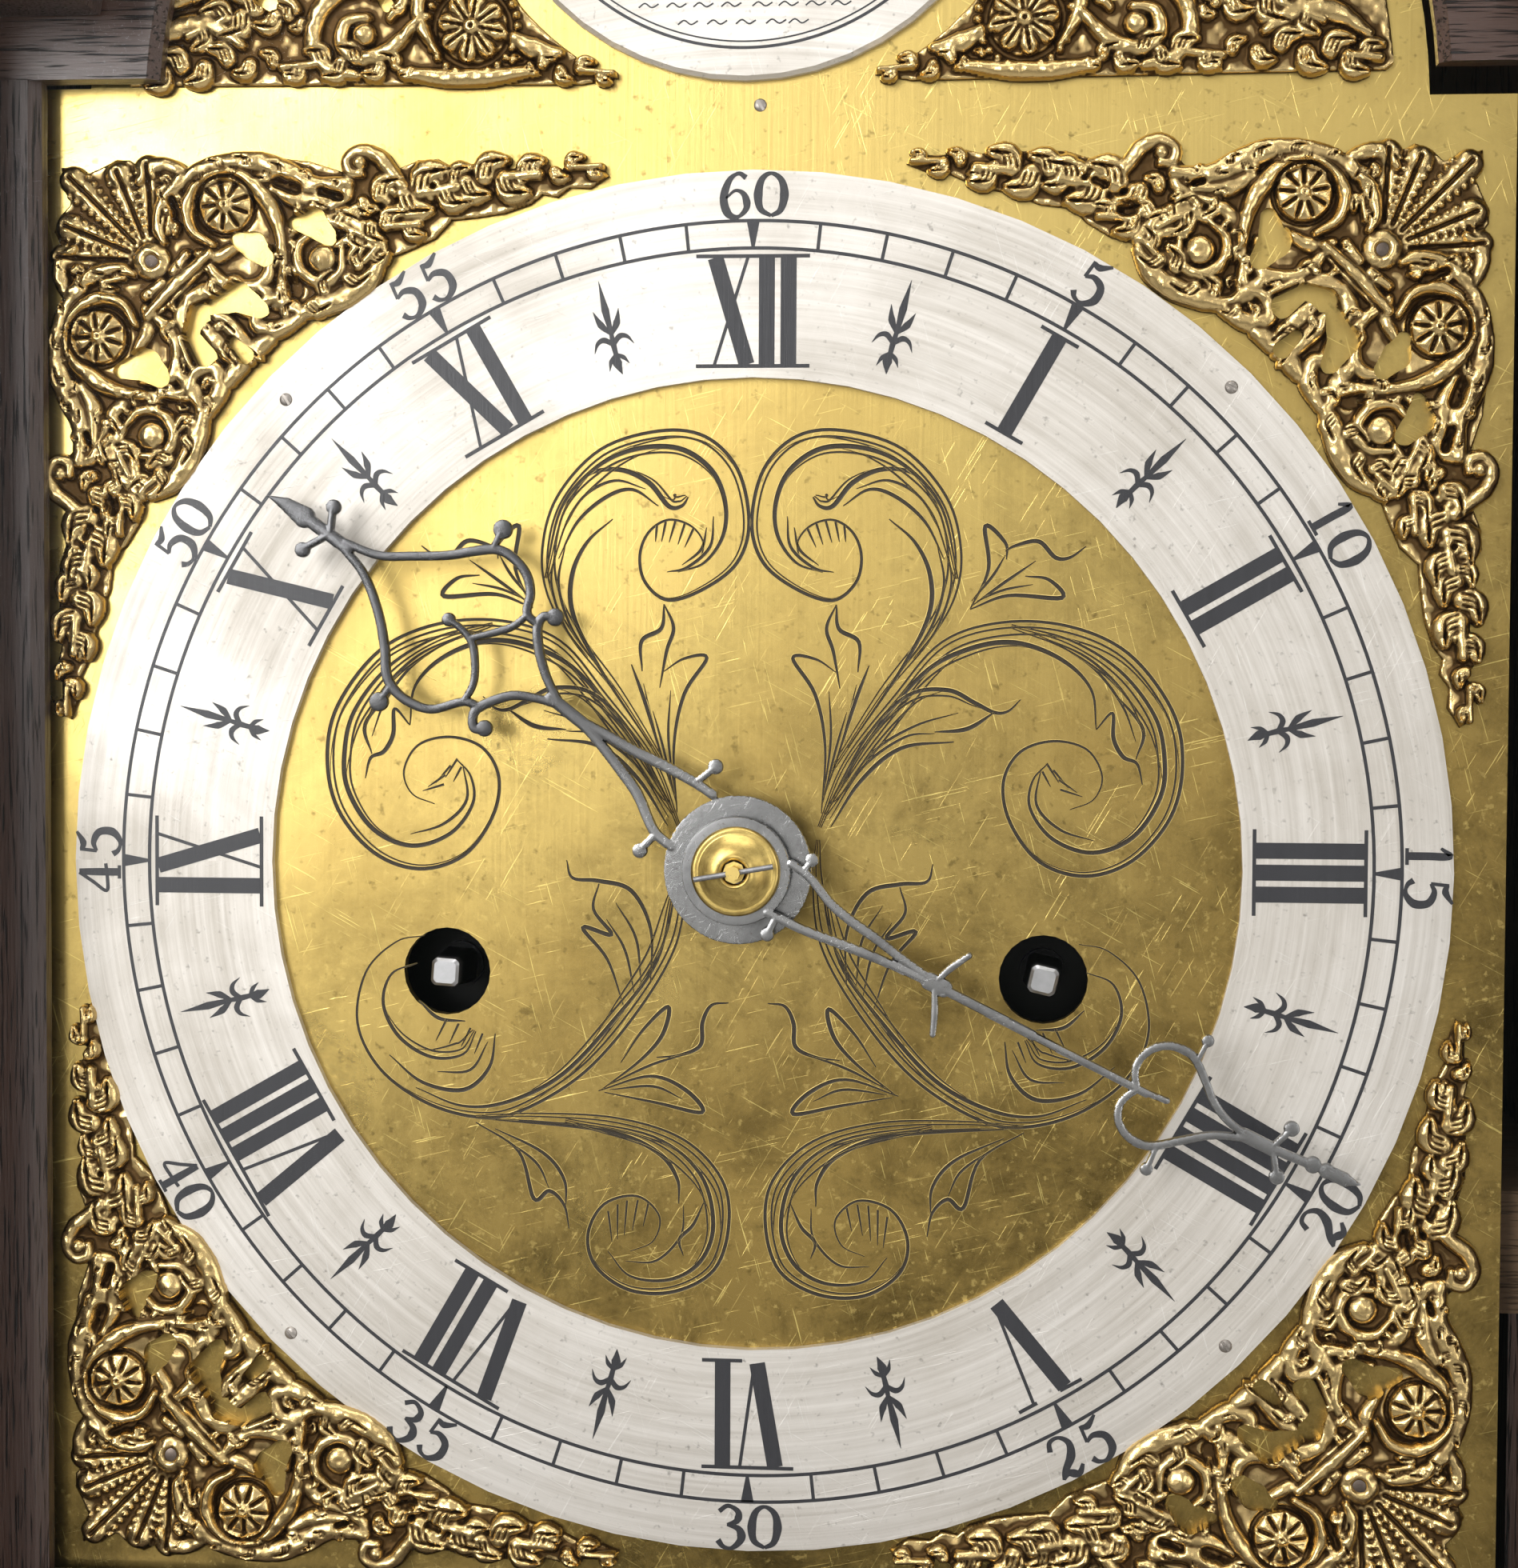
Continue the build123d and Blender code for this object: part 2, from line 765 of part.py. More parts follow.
def hinge_pair(axis_x, axis_y, levels, fixed_leaf, moving_leaf, fixed_label, moving_label):
    """Two butt hinges on one upright axis: end knuckles and pins stay, middle knuckles move.

    Each leaf is its low and high corner across the hinge, as (low x, high x, low y, high y).
    """
    third = hinge_height / 3
    with BuildPart() as fixed:
        for level in levels:
            board_box(*fixed_leaf, level - hinge_height / 2, level + hinge_height / 2)
            board_box(
                axis_x - knuckle_radius - gap, axis_x + knuckle_radius + gap,
                axis_y - knuckle_radius - gap, axis_y + knuckle_radius + gap,
                level - third / 2 - gap, level + third / 2 + gap, mode=Mode.SUBTRACT,
            )
            for end in (-1, 1):
                upright_rod(
                    axis_x, axis_y, level + end * third - third / 2, level + end * third + third / 2, knuckle_radius
                )
            upright_rod(axis_x, axis_y, level - third, level + third, hinge_pin_radius, true_round=True)
    finish(fixed, fixed_label)
    with BuildPart() as moving:
        for level in levels:
            low, high = level - third / 2 + gap, level + third / 2 - gap
            board_box(*moving_leaf, low, high)
            upright_rod(axis_x, axis_y, low, high, knuckle_radius)
            upright_rod(axis_x, axis_y, low, high, hinge_pin_radius + running_gap, mode=Mode.SUBTRACT)
    finish(moving, moving_label)


trunk_hinge_x = opening_half - trunk_door_gap / 2
trunk_hinge_y = trunk_front_y - knuckle_radius
trunk_hinge_levels = (door_low_z + hinge_inset, door_high_z - hinge_inset)
hinge_pair(
    trunk_hinge_x, trunk_hinge_y, trunk_hinge_levels,
    (trunk_hinge_x, trunk_hinge_x + hinge_leaf_reach, trunk_front_y - hinge_leaf, trunk_front_y),
    (trunk_hinge_x - hinge_leaf_reach, trunk_hinge_x, trunk_front_y - hinge_leaf, trunk_front_y),
    "trunk_hinge_leaves", "trunk_door_hinges",
)

# Backboard and seat board
plinth_back_half = plinth_half - board
trunk_back_half = trunk_half
hood_back_half = hood_width / 2 - board - gap
with BuildPart() as backboard:
    board_box(-plinth_back_half, plinth_back_half, backboard_y, wall_y, 0, plinth_height)
    board_box(-trunk_back_half, trunk_back_half, backboard_y, wall_y, plinth_height, hood_floor_z + gap)
    outline = arch_outline(
        hood_back_half, hood_floor_z + gap, hood_shoulder_z - roof_thickness - gap,
        hood_arch_radius - roof_thickness - gap, front_plane(wall_y),
    )
    extrude(outline, amount=board)
finish(backboard, "backboard")

seat_front_y = cheek_front_y
seat_back_y = seat_front_y + seat_board_depth
pendulum_slot_half = rod_radius + 12
hammer_x = dial_offset + hammer_at[0]
hammer_slot = (hammer_x - 13, hammer_x + 21)
with BuildPart() as seat_board:
    board_box(-trunk_half, trunk_half, seat_front_y, seat_back_y, seat_bottom_z, seat_top_z)
    board_box(
        dial_offset - pendulum_slot_half, dial_offset + pendulum_slot_half, frame_back_y + 1, seat_back_y - board,
        seat_bottom_z, seat_top_z, mode=Mode.SUBTRACT,
    )
    board_box(
        *hammer_slot, frame_back_y - 1, frame_back_y + cock_gap, seat_bottom_z, seat_top_z, mode=Mode.SUBTRACT
    )
finish(seat_board, "seat_board")

# Hood
hood_half = hood_width / 2
hood_base_low_z = hood_floor_z + gap
hood_base_high_z = hood_base_low_z + hood_base_thickness
side_front_y = hood_door_back_y + gap
with BuildPart() as hood_base:
    board_box(-hood_half, hood_half, hood_front_y, wall_y, hood_base_low_z, hood_base_high_z)
    board_box(
        -trunk_half - cheek_inset, trunk_half + cheek_inset, hood_front_y + hood_base_reach, wall_y,
        hood_base_low_z, hood_base_high_z, mode=Mode.SUBTRACT,
    )
    board_box(
        -hood_back_half - gap, hood_back_half + gap, backboard_y - gap, wall_y, hood_base_low_z, hood_base_high_z,
        mode=Mode.SUBTRACT,
    )
finish(hood_base, "hood_base")
boards(
    "hood_sides",
    *[
        (low, low + board, side_front_y, wall_y, hood_base_high_z, hood_shoulder_z - roof_thickness)
        for low in (-hood_half, hood_half - board)
    ],
)
with BuildPart() as hood_roof:
    outer = arch_outline(hood_half, door_shoulder_z, hood_shoulder_z, hood_arch_radius, front_plane(wall_y))
    extrude(outer, amount=wall_y - side_front_y)
    inner = arch_outline(
        hood_half, door_shoulder_z, hood_shoulder_z - roof_thickness, hood_arch_radius - roof_thickness,
        front_plane(wall_y),
    )
    extrude(inner, amount=wall_y - side_front_y, mode=Mode.SUBTRACT)
finish(hood_roof, "hood_roof")
with BuildPart() as hood_front:
    outer = arch_outline(
        hood_half, door_shoulder_z + shoulder_gap, hood_shoulder_z, hood_arch_radius, front_plane(side_front_y)
    )
    extrude(outer, amount=side_front_y - hood_front_y)
    inner = arch_outline(
        hood_half, door_shoulder_z - shoulder_gap, door_shoulder_z + shoulder_gap,
        door_arch_radius + door_swing_clear, front_plane(side_front_y),
    )
    extrude(inner, amount=side_front_y - hood_front_y, mode=Mode.SUBTRACT)
finish(hood_front, "hood_front")

# The cornice runs along the shoulders and over the arch, and returns along both sides
cornice_low_z = door_shoulder_z + cornice_start
cornice_arch_radius = door_arch_radius + cornice_start
arch_foot_x = sqrt(cornice_arch_radius**2 - (cornice_low_z - arch_centre_z) ** 2)
cornice_profile = (
    (0, 0), (cornice_fillet / 2, 0), (cornice_fillet, cornice_height / 2),
    (cornice_reach - cornice_fillet, cornice_height - cornice_fillet),
    (cornice_reach, cornice_height - cornice_fillet), (cornice_reach, cornice_height), (0, cornice_height),
)


def cornice_section(plane):
    """The cornice's profile, outward along the plane's X and upward along its Y."""
    with BuildSketch(plane) as section:
        with BuildLine():
            Polyline(*cornice_profile, close=True)
        make_face()
    return section.sketch


def mitre_cut(side, end_x, end_y):
    """Cut the cornice at a corner, from the mitre line to the given outer corner."""
    corner = (side * hood_half, hood_front_y)
    far = (side * (hood_half + 2 * cornice_reach), hood_front_y - 2 * cornice_reach)
    with BuildSketch(Plane.XY.offset(cornice_low_z - 1)) as waste:
        with BuildLine():
            Polyline(corner, far, (side * end_x, end_y), close=True)
        make_face()
    extrude(waste.sketch, amount=cornice_height + 2, mode=Mode.SUBTRACT)


with BuildPart() as cornice:
    reach_half = hood_half + cornice_reach + 1
    with BuildLine() as route:
        Line((-reach_half, hood_front_y, cornice_low_z), (-arch_foot_x, hood_front_y, cornice_low_z))
        ThreePointArc(
            (-arch_foot_x, hood_front_y, cornice_low_z),
            (0, hood_front_y, arch_centre_z + cornice_arch_radius),
            (arch_foot_x, hood_front_y, cornice_low_z),
        )
        Line((arch_foot_x, hood_front_y, cornice_low_z), (reach_half, hood_front_y, cornice_low_z))
    front_section = cornice_section(
        Plane(origin=(-reach_half, hood_front_y, cornice_low_z), x_dir=(0, -1, 0), z_dir=(-1, 0, 0))
    )
    sweep(sections=front_section, path=route.wire(), transition=Transition.RIGHT)
    for side in (-1, 1):
        mitre_cut(side, hood_half + 2 * cornice_reach, hood_front_y)
    with BuildPart(mode=Mode.PRIVATE) as returns:
        for side in (-1, 1):
            side_plane = Plane(
                origin=(side * hood_half, wall_y, cornice_low_z), x_dir=(side, 0, 0), z_dir=(0, -side, 0)
            )
            extrude(cornice_section(side_plane), amount=side * (wall_y - hood_front_y + cornice_reach))
            mitre_cut(side, hood_half, hood_front_y - 2 * cornice_reach)
    add(returns.part)
finish(cornice, "cornice")

# Mask: two stiles, a sill and an arched head in one plane behind the hood door
mask_half = hood_half - board
mask_back_y = mask_front_y + mask_thickness
mask_low_z = hood_base_high_z + gap
mask_top_radius = door_arch_radius
opening_half_width = mask_opening_width / 2
sill_z = dial_height - mask_sill_drop
with BuildPart() as mask_frame:
    board_box(-mask_half, mask_half, mask_front_y, mask_back_y, mask_low_z, mask_shoulder_z)
    board_box(
        -opening_half_width, opening_half_width, mask_front_y, mask_back_y, sill_z, mask_shoulder_z,
        mode=Mode.SUBTRACT,
    )
    sight_edges = mask_frame.edges().group_by(Axis.Y)[0].filter_by(
        lambda edge: abs(edge.center().X) < opening_half_width + running_gap
        and sill_z - running_gap < edge.center().Z < mask_shoulder_z - running_gap
    )
    chamfer(sight_edges, mask_edge_round)
finish(mask_frame, "mask_frame")
with BuildPart() as mask_head:
    head = arch_outline(
        mask_half, mask_shoulder_z, door_shoulder_z, mask_top_radius, front_plane(mask_back_y)
    )
    extrude(head, amount=mask_thickness)
    with BuildSketch(front_plane(mask_back_y)) as sight:
        with Locations((0, arch_centre_z)):
            Circle(mask_arch_radius)
    extrude(sight.sketch, amount=mask_thickness, mode=Mode.SUBTRACT)
    chamfer(
        mask_head.edges().filter_by(GeomType.CIRCLE).filter_by(
            lambda edge: edge.radius < mask_arch_radius + 1 and edge.center().Y < mask_front_y + running_gap
        ),
        mask_edge_round,
    )
finish(mask_head, "mask_head")

# Hood door and its glass
glass_y = hood_front_y + glass_setback
door_opening_low_z = sill_z - mask_sight
door_opening_shoulder_z = mask_shoulder_z + mask_sight
door_opening_radius = mask_arch_radius + mask_sight
with BuildPart() as hood_door_frame:
    door_back = front_plane(hood_door_back_y)
    extrude(
        arch_outline(hood_half, door_bottom_z, door_shoulder_z, door_arch_radius, door_back),
        amount=hood_door_thickness,
    )
    sight_face = arch_outline(
        door_opening_half, door_opening_low_z, door_opening_shoulder_z, door_opening_radius, door_back
    )
    extrude(sight_face, amount=hood_door_thickness, mode=Mode.SUBTRACT)
    rebate = arch_outline(
        door_opening_half + glass_lap, door_opening_low_z - glass_lap, door_opening_shoulder_z + glass_lap,
        door_opening_radius + glass_lap, door_back,
    )
    extrude(rebate, amount=hood_door_thickness - glass_setback, mode=Mode.SUBTRACT)
    bead_depth = hood_door_thickness - glass_setback - glass_thickness - gap
    extrude(rebate, amount=bead_depth)
    extrude(sight_face, amount=bead_depth, mode=Mode.SUBTRACT)
finish(hood_door_frame, "hood_door_frame")
with BuildPart() as hood_door_glass:
    pane = arch_outline(
        door_opening_half + glass_lap - gap, door_opening_low_z - glass_lap + gap,
        door_opening_shoulder_z + glass_lap - gap, door_opening_radius + glass_lap - gap,
        front_plane(glass_y + glass_thickness),
    )
    extrude(pane, amount=glass_thickness)
finish(hood_door_glass, "hood_door_glass")
turned_knob(
    (hood_door_stile / 2 - hood_half, dial_height), hood_front_y, hood_knob_radius, hood_knob_reach,
    "hood_door_knob",
)
hood_hinge_x = hood_half + knuckle_radius
hood_hinge_y = (hood_door_back_y + side_front_y) / 2
hood_hinge_levels = (door_bottom_z + hinge_inset, door_shoulder_z - hinge_inset)
hinge_pair(
    hood_hinge_x, hood_hinge_y, hood_hinge_levels,
    (hood_half, hood_half + hinge_leaf, hood_hinge_y, hood_hinge_y + hinge_leaf_reach),
    (hood_half, hood_half + hinge_leaf, hood_hinge_y - hinge_leaf_reach, hood_hinge_y),
    "hood_hinge_leaves", "hood_door_hinges",
)

# Dial plate with its ring, roundel and castings
ring_centre = (ring_offset, 0.0)
winding_places = (strike_barrel_at, going_barrel_at)
arch_centre_rise = plate_rise - plate_arch_drop
screw_places = [(x + ring_offset, z) for x, z in casting_screws]
ring_pin_places = [polar_point(ring_centre, ring_pin_circle, 45 + 90 * quarter) for quarter in range(4)]
with BuildPart() as dial_plate:
    with BuildSketch(dial_plane(dial_back_y)) as plate:
        with Locations((0, (plate_rise - plate_drop) / 2)):
            Rectangle(plate_width, plate_rise + plate_drop)
        with Locations((0, arch_centre_rise)):
            Circle(plate_arch_radius)
        round_outline(hand_hole_radius, mode=Mode.SUBTRACT)
        with Locations(*winding_places):
            round_outline(winding_hole_radius, mode=Mode.SUBTRACT)
    extrude(plate.sketch, amount=plate_thickness)
    for place in dial_foot_places:
        round_layer(place, dial_foot_radius, frame_front_y, dial_gap)
finish(dial_plate, "dial_plate")
with BuildPart() as chapter_ring:
    with BuildSketch(dial_plane(dial_front_y)) as band:
        with Locations(ring_centre):
            RegularPolygon(ring_radius, large_sides)
            RegularPolygon(ring_inner_radius, large_sides, mode=Mode.SUBTRACT)
    extrude(band.sketch, amount=ring_thickness)
finish(chapter_ring, "chapter_ring")
with BuildPart() as roundel:
    roundel_sections = (
        (roundel_radius, 0), (roundel_radius, roundel_thickness - roundel_edge),
        (roundel_radius - roundel_edge, roundel_thickness),
    )
    turned(dial_point((0, roundel_rise)), dial_front_y, roundel_sections, roundel_sides)
finish(roundel, "roundel")

arch_pierced = (((66, 22), 7.0, 0.6, 115), ((58, 44), 6.4, 0.53, 130), ((76, 12), 5.0, 0.52, 0))
opening_points = ((1, 0), (0.6, 0.8), (-0.6, 0.8), (-1, 0), (-0.6, -0.8), (0.6, -0.8))
shell_corner = casting_reach - 0.6
upper_edge = (
    (casting_arm_end, 102.4), (29.0, casting_reach - 0.2), (45.0, 103.0), (53.0, 101.4), (57.5, casting_reach + 0.6),
    (61.5, 101.0), (72.0, casting_reach - 0.2), (83.0, 101.9), (91.5, casting_reach + 0.4),
    (97.5, 102.2), (shell_corner, shell_corner),
)
pierced = (
    ((75.2, 90.4), 4.0, 0.58, 70.0), ((90.4, 75.2), 4.0, 0.58, 20.0), ((82.6, 76.0), 3.8, 0.63, 55.0),
    ((93.2, 64.0), 2.6, 0.62, 90.0), ((64.0, 93.2), 2.6, 0.62, 0.0),
)
inner_circle = ring_radius + casting_ring_gap
inner_start = degrees(atan2(casting_arm_end, upper_edge[0][1] - casting_arm_width))
inner_edge = [
    polar_point((0, 0), inner_circle, inner_start + (90 - 2 * inner_start) * step / inner_steps)
    for step in range(1, inner_steps)
]
mirrored_rosette = (rosette_place[1], rosette_place[0])
bar_place = (84.6, 84.6)
bar_length = 12.5
bar_width = 2.1


def corner_casting(quarter, screw):
    """Add one corner casting: the same pierced plate, turned by quarters about the ring's centre."""
    turn = radians(90 * quarter)
    across, up = cos(turn), sin(turn)
    nominal = (casting_screw_place * (across - up), casting_screw_place * (up + across))
    origin = dial_point((screw[0] - nominal[0], screw[1] - nominal[1]))
    base = Plane(origin=(origin[0], dial_front_y, origin[1]), x_dir=(across, 0, up), z_dir=(0, -1, 0))
    with BuildSketch(base) as outline:
        with BuildLine():
            tip = (casting_arm_end, upper_edge[0][1] - casting_arm_width)
            Polyline(
                tip, *upper_edge, *[(x, z) for z, x in reversed(upper_edge[:-1])], (tip[1], tip[0]), *inner_edge,
                close=True,
            )
        make_face()
        for place, radius, squeeze, tilt in pierced:
            with Locations(Location((*place, 0), (0, 0, tilt))):
                Polygon(*[(radius * x, radius * squeeze * z) for x, z in opening_points], mode=Mode.SUBTRACT)
    extrude(outline.sketch, amount=casting_thickness)
    with BuildSketch(base.offset(casting_thickness)) as relief:
        with Locations(rosette_place, mirrored_rosette):
            RegularPolygon(rosette_radius, thin_sides)
        with Locations(Location((*bar_place, 0), (0, 0, -45))):
            Rectangle(bar_length, bar_width)
        with Locations((casting_screw_place, casting_screw_place)):
            RegularPolygon(screw_boss_radius, thin_sides)
    extrude(relief.sketch, amount=casting_relief)


def arch_casting(side):
    """Add the arch casting on one side of the roundel."""
    with BuildSketch(dial_plane(dial_front_y)) as outline:
        with Locations((0, arch_centre_rise)):
            RegularPolygon(plate_arch_radius - arch_casting_margin, large_sides)
        with Locations((0, roundel_rise)):
            RegularPolygon(roundel_radius + casting_ring_gap, roundel_sides, major_radius=False, mode=Mode.SUBTRACT)
        with Locations((-side * plate_width, 0), (0, plate_rise + arch_casting_low - plate_width)):
            Rectangle(2 * plate_width, 2 * plate_width, mode=Mode.SUBTRACT)
        with Locations((0, plate_rise + arch_casting_low + arch_casting_top + plate_width)):
            Rectangle(2 * plate_width, 2 * plate_width, mode=Mode.SUBTRACT)
        for (reach, rise), radius, squeeze, tilt in arch_pierced:
            with Locations(Location((side * reach, plate_rise + rise, 0), (0, 0, side * tilt))):
                Polygon(*[(radius * x, radius * squeeze * z) for x, z in opening_points], mode=Mode.SUBTRACT)
    extrude(outline.sketch, amount=casting_thickness)
    with BuildSketch(dial_plane(dial_front_y - casting_thickness)) as relief:
        with Locations((side * arch_rosette_place[0], plate_rise + arch_rosette_place[1])):
            RegularPolygon(arch_rosette_radius, small_sides)
    extrude(relief.sketch, amount=casting_relief)


with BuildPart() as corner_spandrels:
    for quarter, screw in enumerate(screw_places):
        corner_casting(quarter, screw)
finish(corner_spandrels, "corner_spandrels")
with BuildPart() as arch_spandrels:
    for side in (-1, 1):
        arch_casting(side)
finish(arch_spandrels, "arch_spandrels")

# Hands: each is drawn along its own length from the hands' axis, as strokes of its own widths
hour_strokes = (
    (1.7, ((9.5, 3.4), (13, 3.2), (18, 0.6), (22, -0.6), (27, -1.8), (31, -2.5))),
    (1.7, ((9.5, -6.2), (13, -5.9), (18, -5.0), (22, -4.1), (27, -3.3), (31, -2.6))),
    (2.2, ((30, -2.5), (36.5, -2.5))),
    (1.4, ((12.5, 3.6), (12.8, 6.4))),
    (1.3, ((12.5, -6.2), (11.7, -9.4))),
    (1.5, ((35.5, -2.2), (38, -1.2), (41.2, 0.8), (43.5, 4.2), (44.0, 6.2), (42.7, 7.9), (41.2, 7.2))),
    (1.5, ((43.7, 5.0), (46.2, 5.9), (49, 9.5), (52, 10.8), (55, 10.9), (57.5, 9.8), (60, 7), (64, 3.5), (69, 0.5),
           (74, -0.7))),
    (1.2, ((56, 10.6), (55.9, 13.2))),
    (1.2, ((46.2, 5.9), (46.5, 3.5), (47.5, 1.5), (49.5, -0.8), (51, -1.8), (53, -2.2), (55.3, -2.1))),
    (1.2, ((51, -2.0), (49, -4.5), (47.3, -7), (46.6, -9.6))),
    (1.5, ((35.5, -2.8), (39, -4.5), (42, -6.7), (44.3, -9.2), (44.6, -11), (43.2, -12))),
    (1.5, ((44.4, -9.6), (46.8, -9.9), (48.2, -12.5), (50.5, -14.3), (53.5, -14.9), (56, -14.3), (58.5, -12),
           (61, -9.3), (65, -6), (69, -3), (74, -1.4))),
    (1.2, ((56.4, -14.2), (57, -16.8))),
    (2.4, ((73.2, -1.0), (82.0, -0.6))),
    (1.3, ((76.5, -1.0), (78.3, 3.0))),
    (1.3, ((76.5, -1.0), (78.5, -4.2))),
)
hour_balls = (
    (1.1, (12.8, 6.7)), (1.1, (11.7, -9.6)), (1.2, (41.4, 7.0)), (1.4, (55.9, 13.6)), (1.3, (43.2, -12.0)),
    (1.4, (57.0, -17.2)), (1.1, (78.3, 3.3)), (1.1, (78.5, -4.4)), (1.0, (55.2, -2.1)),
)
hour_point = ((81.0, -2.2), (83.2, -2.0), (86.9, 0.0), (86.9, 0.5), (83.2, 1.2), (81.0, 1.0))
minute_strokes = (
    (1.5, ((6.6, 4.5), (10, 3.9), (14, 2), (18, 1), (22, 0.4), (27, -0.6), (32, -1.3))),
    (1.5, ((6.6, -3.3), (12, -3.2), (17, -2.7), (22, -2.2), (27, -1.9), (32, -1.7))),
    (1.2, ((8.6, 4.2), (9.0, 6.0))),
    (1.2, ((8.0, -3.4), (8.0, -5.8))),
    (3.2, ((31.6, -1.6), (33.8, -1.6))),
    (1.1, ((32.6, -0.8), (33.5, 1.5), (35.0, 4.2))),
    (1.1, ((32.8, -2.4), (34.3, -5.4), (35.4, -8.2))),
    (1.7, ((33, -1.7), (48, -1.9))),
    (1.4, ((47, -1.9), (66, -2.0))),
    (1.1, ((65.0, -2.0), (69.0, -1.6))),
    (1.3, ((64.5, -2.0), (63.2, 0), (63, 2), (64, 4.2), (66, 5.6), (68.5, 5.9), (70.3, 5.2), (72.5, 3.4), (75, 1.2),
           (78, -0.3), (82, -1.0))),
    (1.0, ((70.2, 5.3), (70.3, 8.2))),
    (1.3, ((64.5, -2.0), (63.4, -4.5), (63.9, -6.8), (65.8, -8.4), (68.3, -8.8), (70.5, -8), (73.5, -5.6), (77, -3),
           (82, -1.0))),
    (1.0, ((70.6, -8.2), (70.8, -11.2))),
    (2.4, ((80.8, -1.0), (85.4, -1.0))),
    (1.1, ((85.0, -0.8), (86.3, 2.6))),
    (1.1, ((85.4, -1.2), (87.4, -4.0))),
    (1.6, ((85, -1.0), (91, -0.5))),
)
minute_balls = (
    (1.0, (9.0, 6.3)), (1.0, (8.0, -6.1)), (0.9, (70.3, 8.6)), (0.9, (70.8, -11.6)), (1.1, (86.3, 2.8)),
    (1.1, (87.5, -4.2)), (1.2, (91.2, -0.4)), (1.1, (93.3, -0.3)),
)
minute_point = ((93.0, -1.2), (95.0, -0.9), (98.2, -0.1), (98.2, 0.3), (95.0, 0.4), (93.0, 0.6))


def hand_plane(angle, lift):
    """The plane of a hand: X along the hand, at a height above the chapter ring."""
    along = (cos(radians(angle)), 0, sin(radians(angle)))
    return Plane(origin=(dial_offset, ring_face_y - lift, dial_height), x_dir=along, z_dir=(0, -1, 0))


def cut_hand(plane, disc, bore, strokes, balls, point):
    """Add a pierced hand cut from sheet steel."""
    with BuildSketch(plane) as outline:
        RegularPolygon(disc, middle_sides)
        for width, places in strokes:
            with BuildLine() as stroke:
                Polyline(*places)
            trace(stroke.edges(), line_width=width)
        for radius, place in balls:
            with Locations(place):
                RegularPolygon(radius, ball_sides)
        with BuildLine():
            Polyline(*point, close=True)
        make_face()
        RegularPolygon(bore, small_sides, major_radius=False, mode=Mode.SUBTRACT)
    extrude(outline.sketch, amount=hand_thickness)


hour_pipe_bore = cannon_radius + running_fit
with BuildPart() as hour_hand:
    cut_hand(
        hand_plane(hour_hand_angle, hour_hand_lift), hour_disc_radius, hour_pipe_radius + running_fit,
        hour_strokes, hour_balls, hour_point,
    )
finish(hour_hand, "hour_hand")
with BuildPart() as minute_hand:
    cut_hand(
        hand_plane(minute_hand_angle, minute_hand_lift), minute_disc_radius, hour_pipe_bore,
        minute_strokes, minute_balls, minute_point,
    )
finish(minute_hand, "minute_hand")
collet_y = ring_face_y - minute_hand_lift - hand_thickness
pin_lift = (collet_height + tip_lift - minute_hand_lift - hand_thickness) / 2
pin_y = collet_y - pin_lift
collet_bore = centre_arbor_radius + running_fit
with BuildPart() as hand_collet:
    collet_sections = ((collet_radius, 0), (collet_radius, collet_rim), (collet_radius - collet_dome, collet_height))
    turned((dial_offset, dial_height), collet_y, collet_sections, middle_sides)
    round_hole((0, 0), collet_bore, collet_y, collet_height)
finish(hand_collet, "hand_collet")
with BuildPart() as taper_pin:
    tilt = radians(taper_pin_tilt)
    with Locations(Location((dial_offset, pin_y, dial_height), (0, 90 - taper_pin_tilt, 0))):
        Cylinder(taper_pin_radius, taper_pin_length)
finish(taper_pin, "taper_pin")

# Movement frame: two plates, the back one carrying the pillars
plate_middle = (0, (frame_rise - frame_drop) / 2)
plate_bore = arbor_radius + running_fit


def frame_plate(back_y, bores):
    """Add a movement plate with its pivot holes, each a place and a radius."""
    with BuildSketch(dial_plane(back_y)) as outline:
        with Locations(plate_middle):
            Rectangle(frame_width, frame_rise + frame_drop)
        for place, radius in bores:
            with Locations(place):
                round_outline(radius, mode=Mode.SUBTRACT)
    extrude(outline.sketch, amount=plate_metal)


shared_bores = [(place, barrel_arbor_radius + running_fit) for place in winding_places]
shared_bores.append((centre_at, centre_arbor_radius + running_fit))
with BuildPart() as front_plate:
    frame_plate(inner_y, shared_bores)
    shaft(minute_wheel_at, stud_radius, frame_front_y, minute_stud_reach)
    for place in click_places:
        shaft(place, stud_radius, frame_front_y, ratchet_lift + ratchet_thickness)
finish(front_plate, "front_plate")
with BuildPart() as back_plate:
    frame_plate(frame_back_y, [*shared_bores, (anchor_at, plate_bore), (hammer_at, plate_bore)])
    for place in pillar_places:
        round_layer(place, pillar_radius, back_plate_y, plate_span)
finish(back_plate, "back_plate")


def arbor(place, front_depth, back_depth, radius=arbor_radius):
    """Add an arbor between two depths behind the front plate's inner face."""
    shaft(place, radius, movement_y(back_depth), back_depth - front_depth)


def wheel(place, teeth, module, phase, depth, thickness=wheel_thickness):
    """Add a crossed-out wheel."""
    outer = teeth * module / 2 - wheel_rim * module
    toothed_layer(place, wheel_points(teeth, module, phase), movement_y(depth + thickness), thickness)
    cross_out(place, wheel_boss, outer, wheel_spokes, spoke_width, movement_y(depth + thickness), thickness)


def pinion(place, leaves, module, phase, depth, length=pinion_length):
    """Add a pinion's leaves."""
    toothed_layer(place, pinion_points(leaves, module, phase), movement_y(depth + length), length)


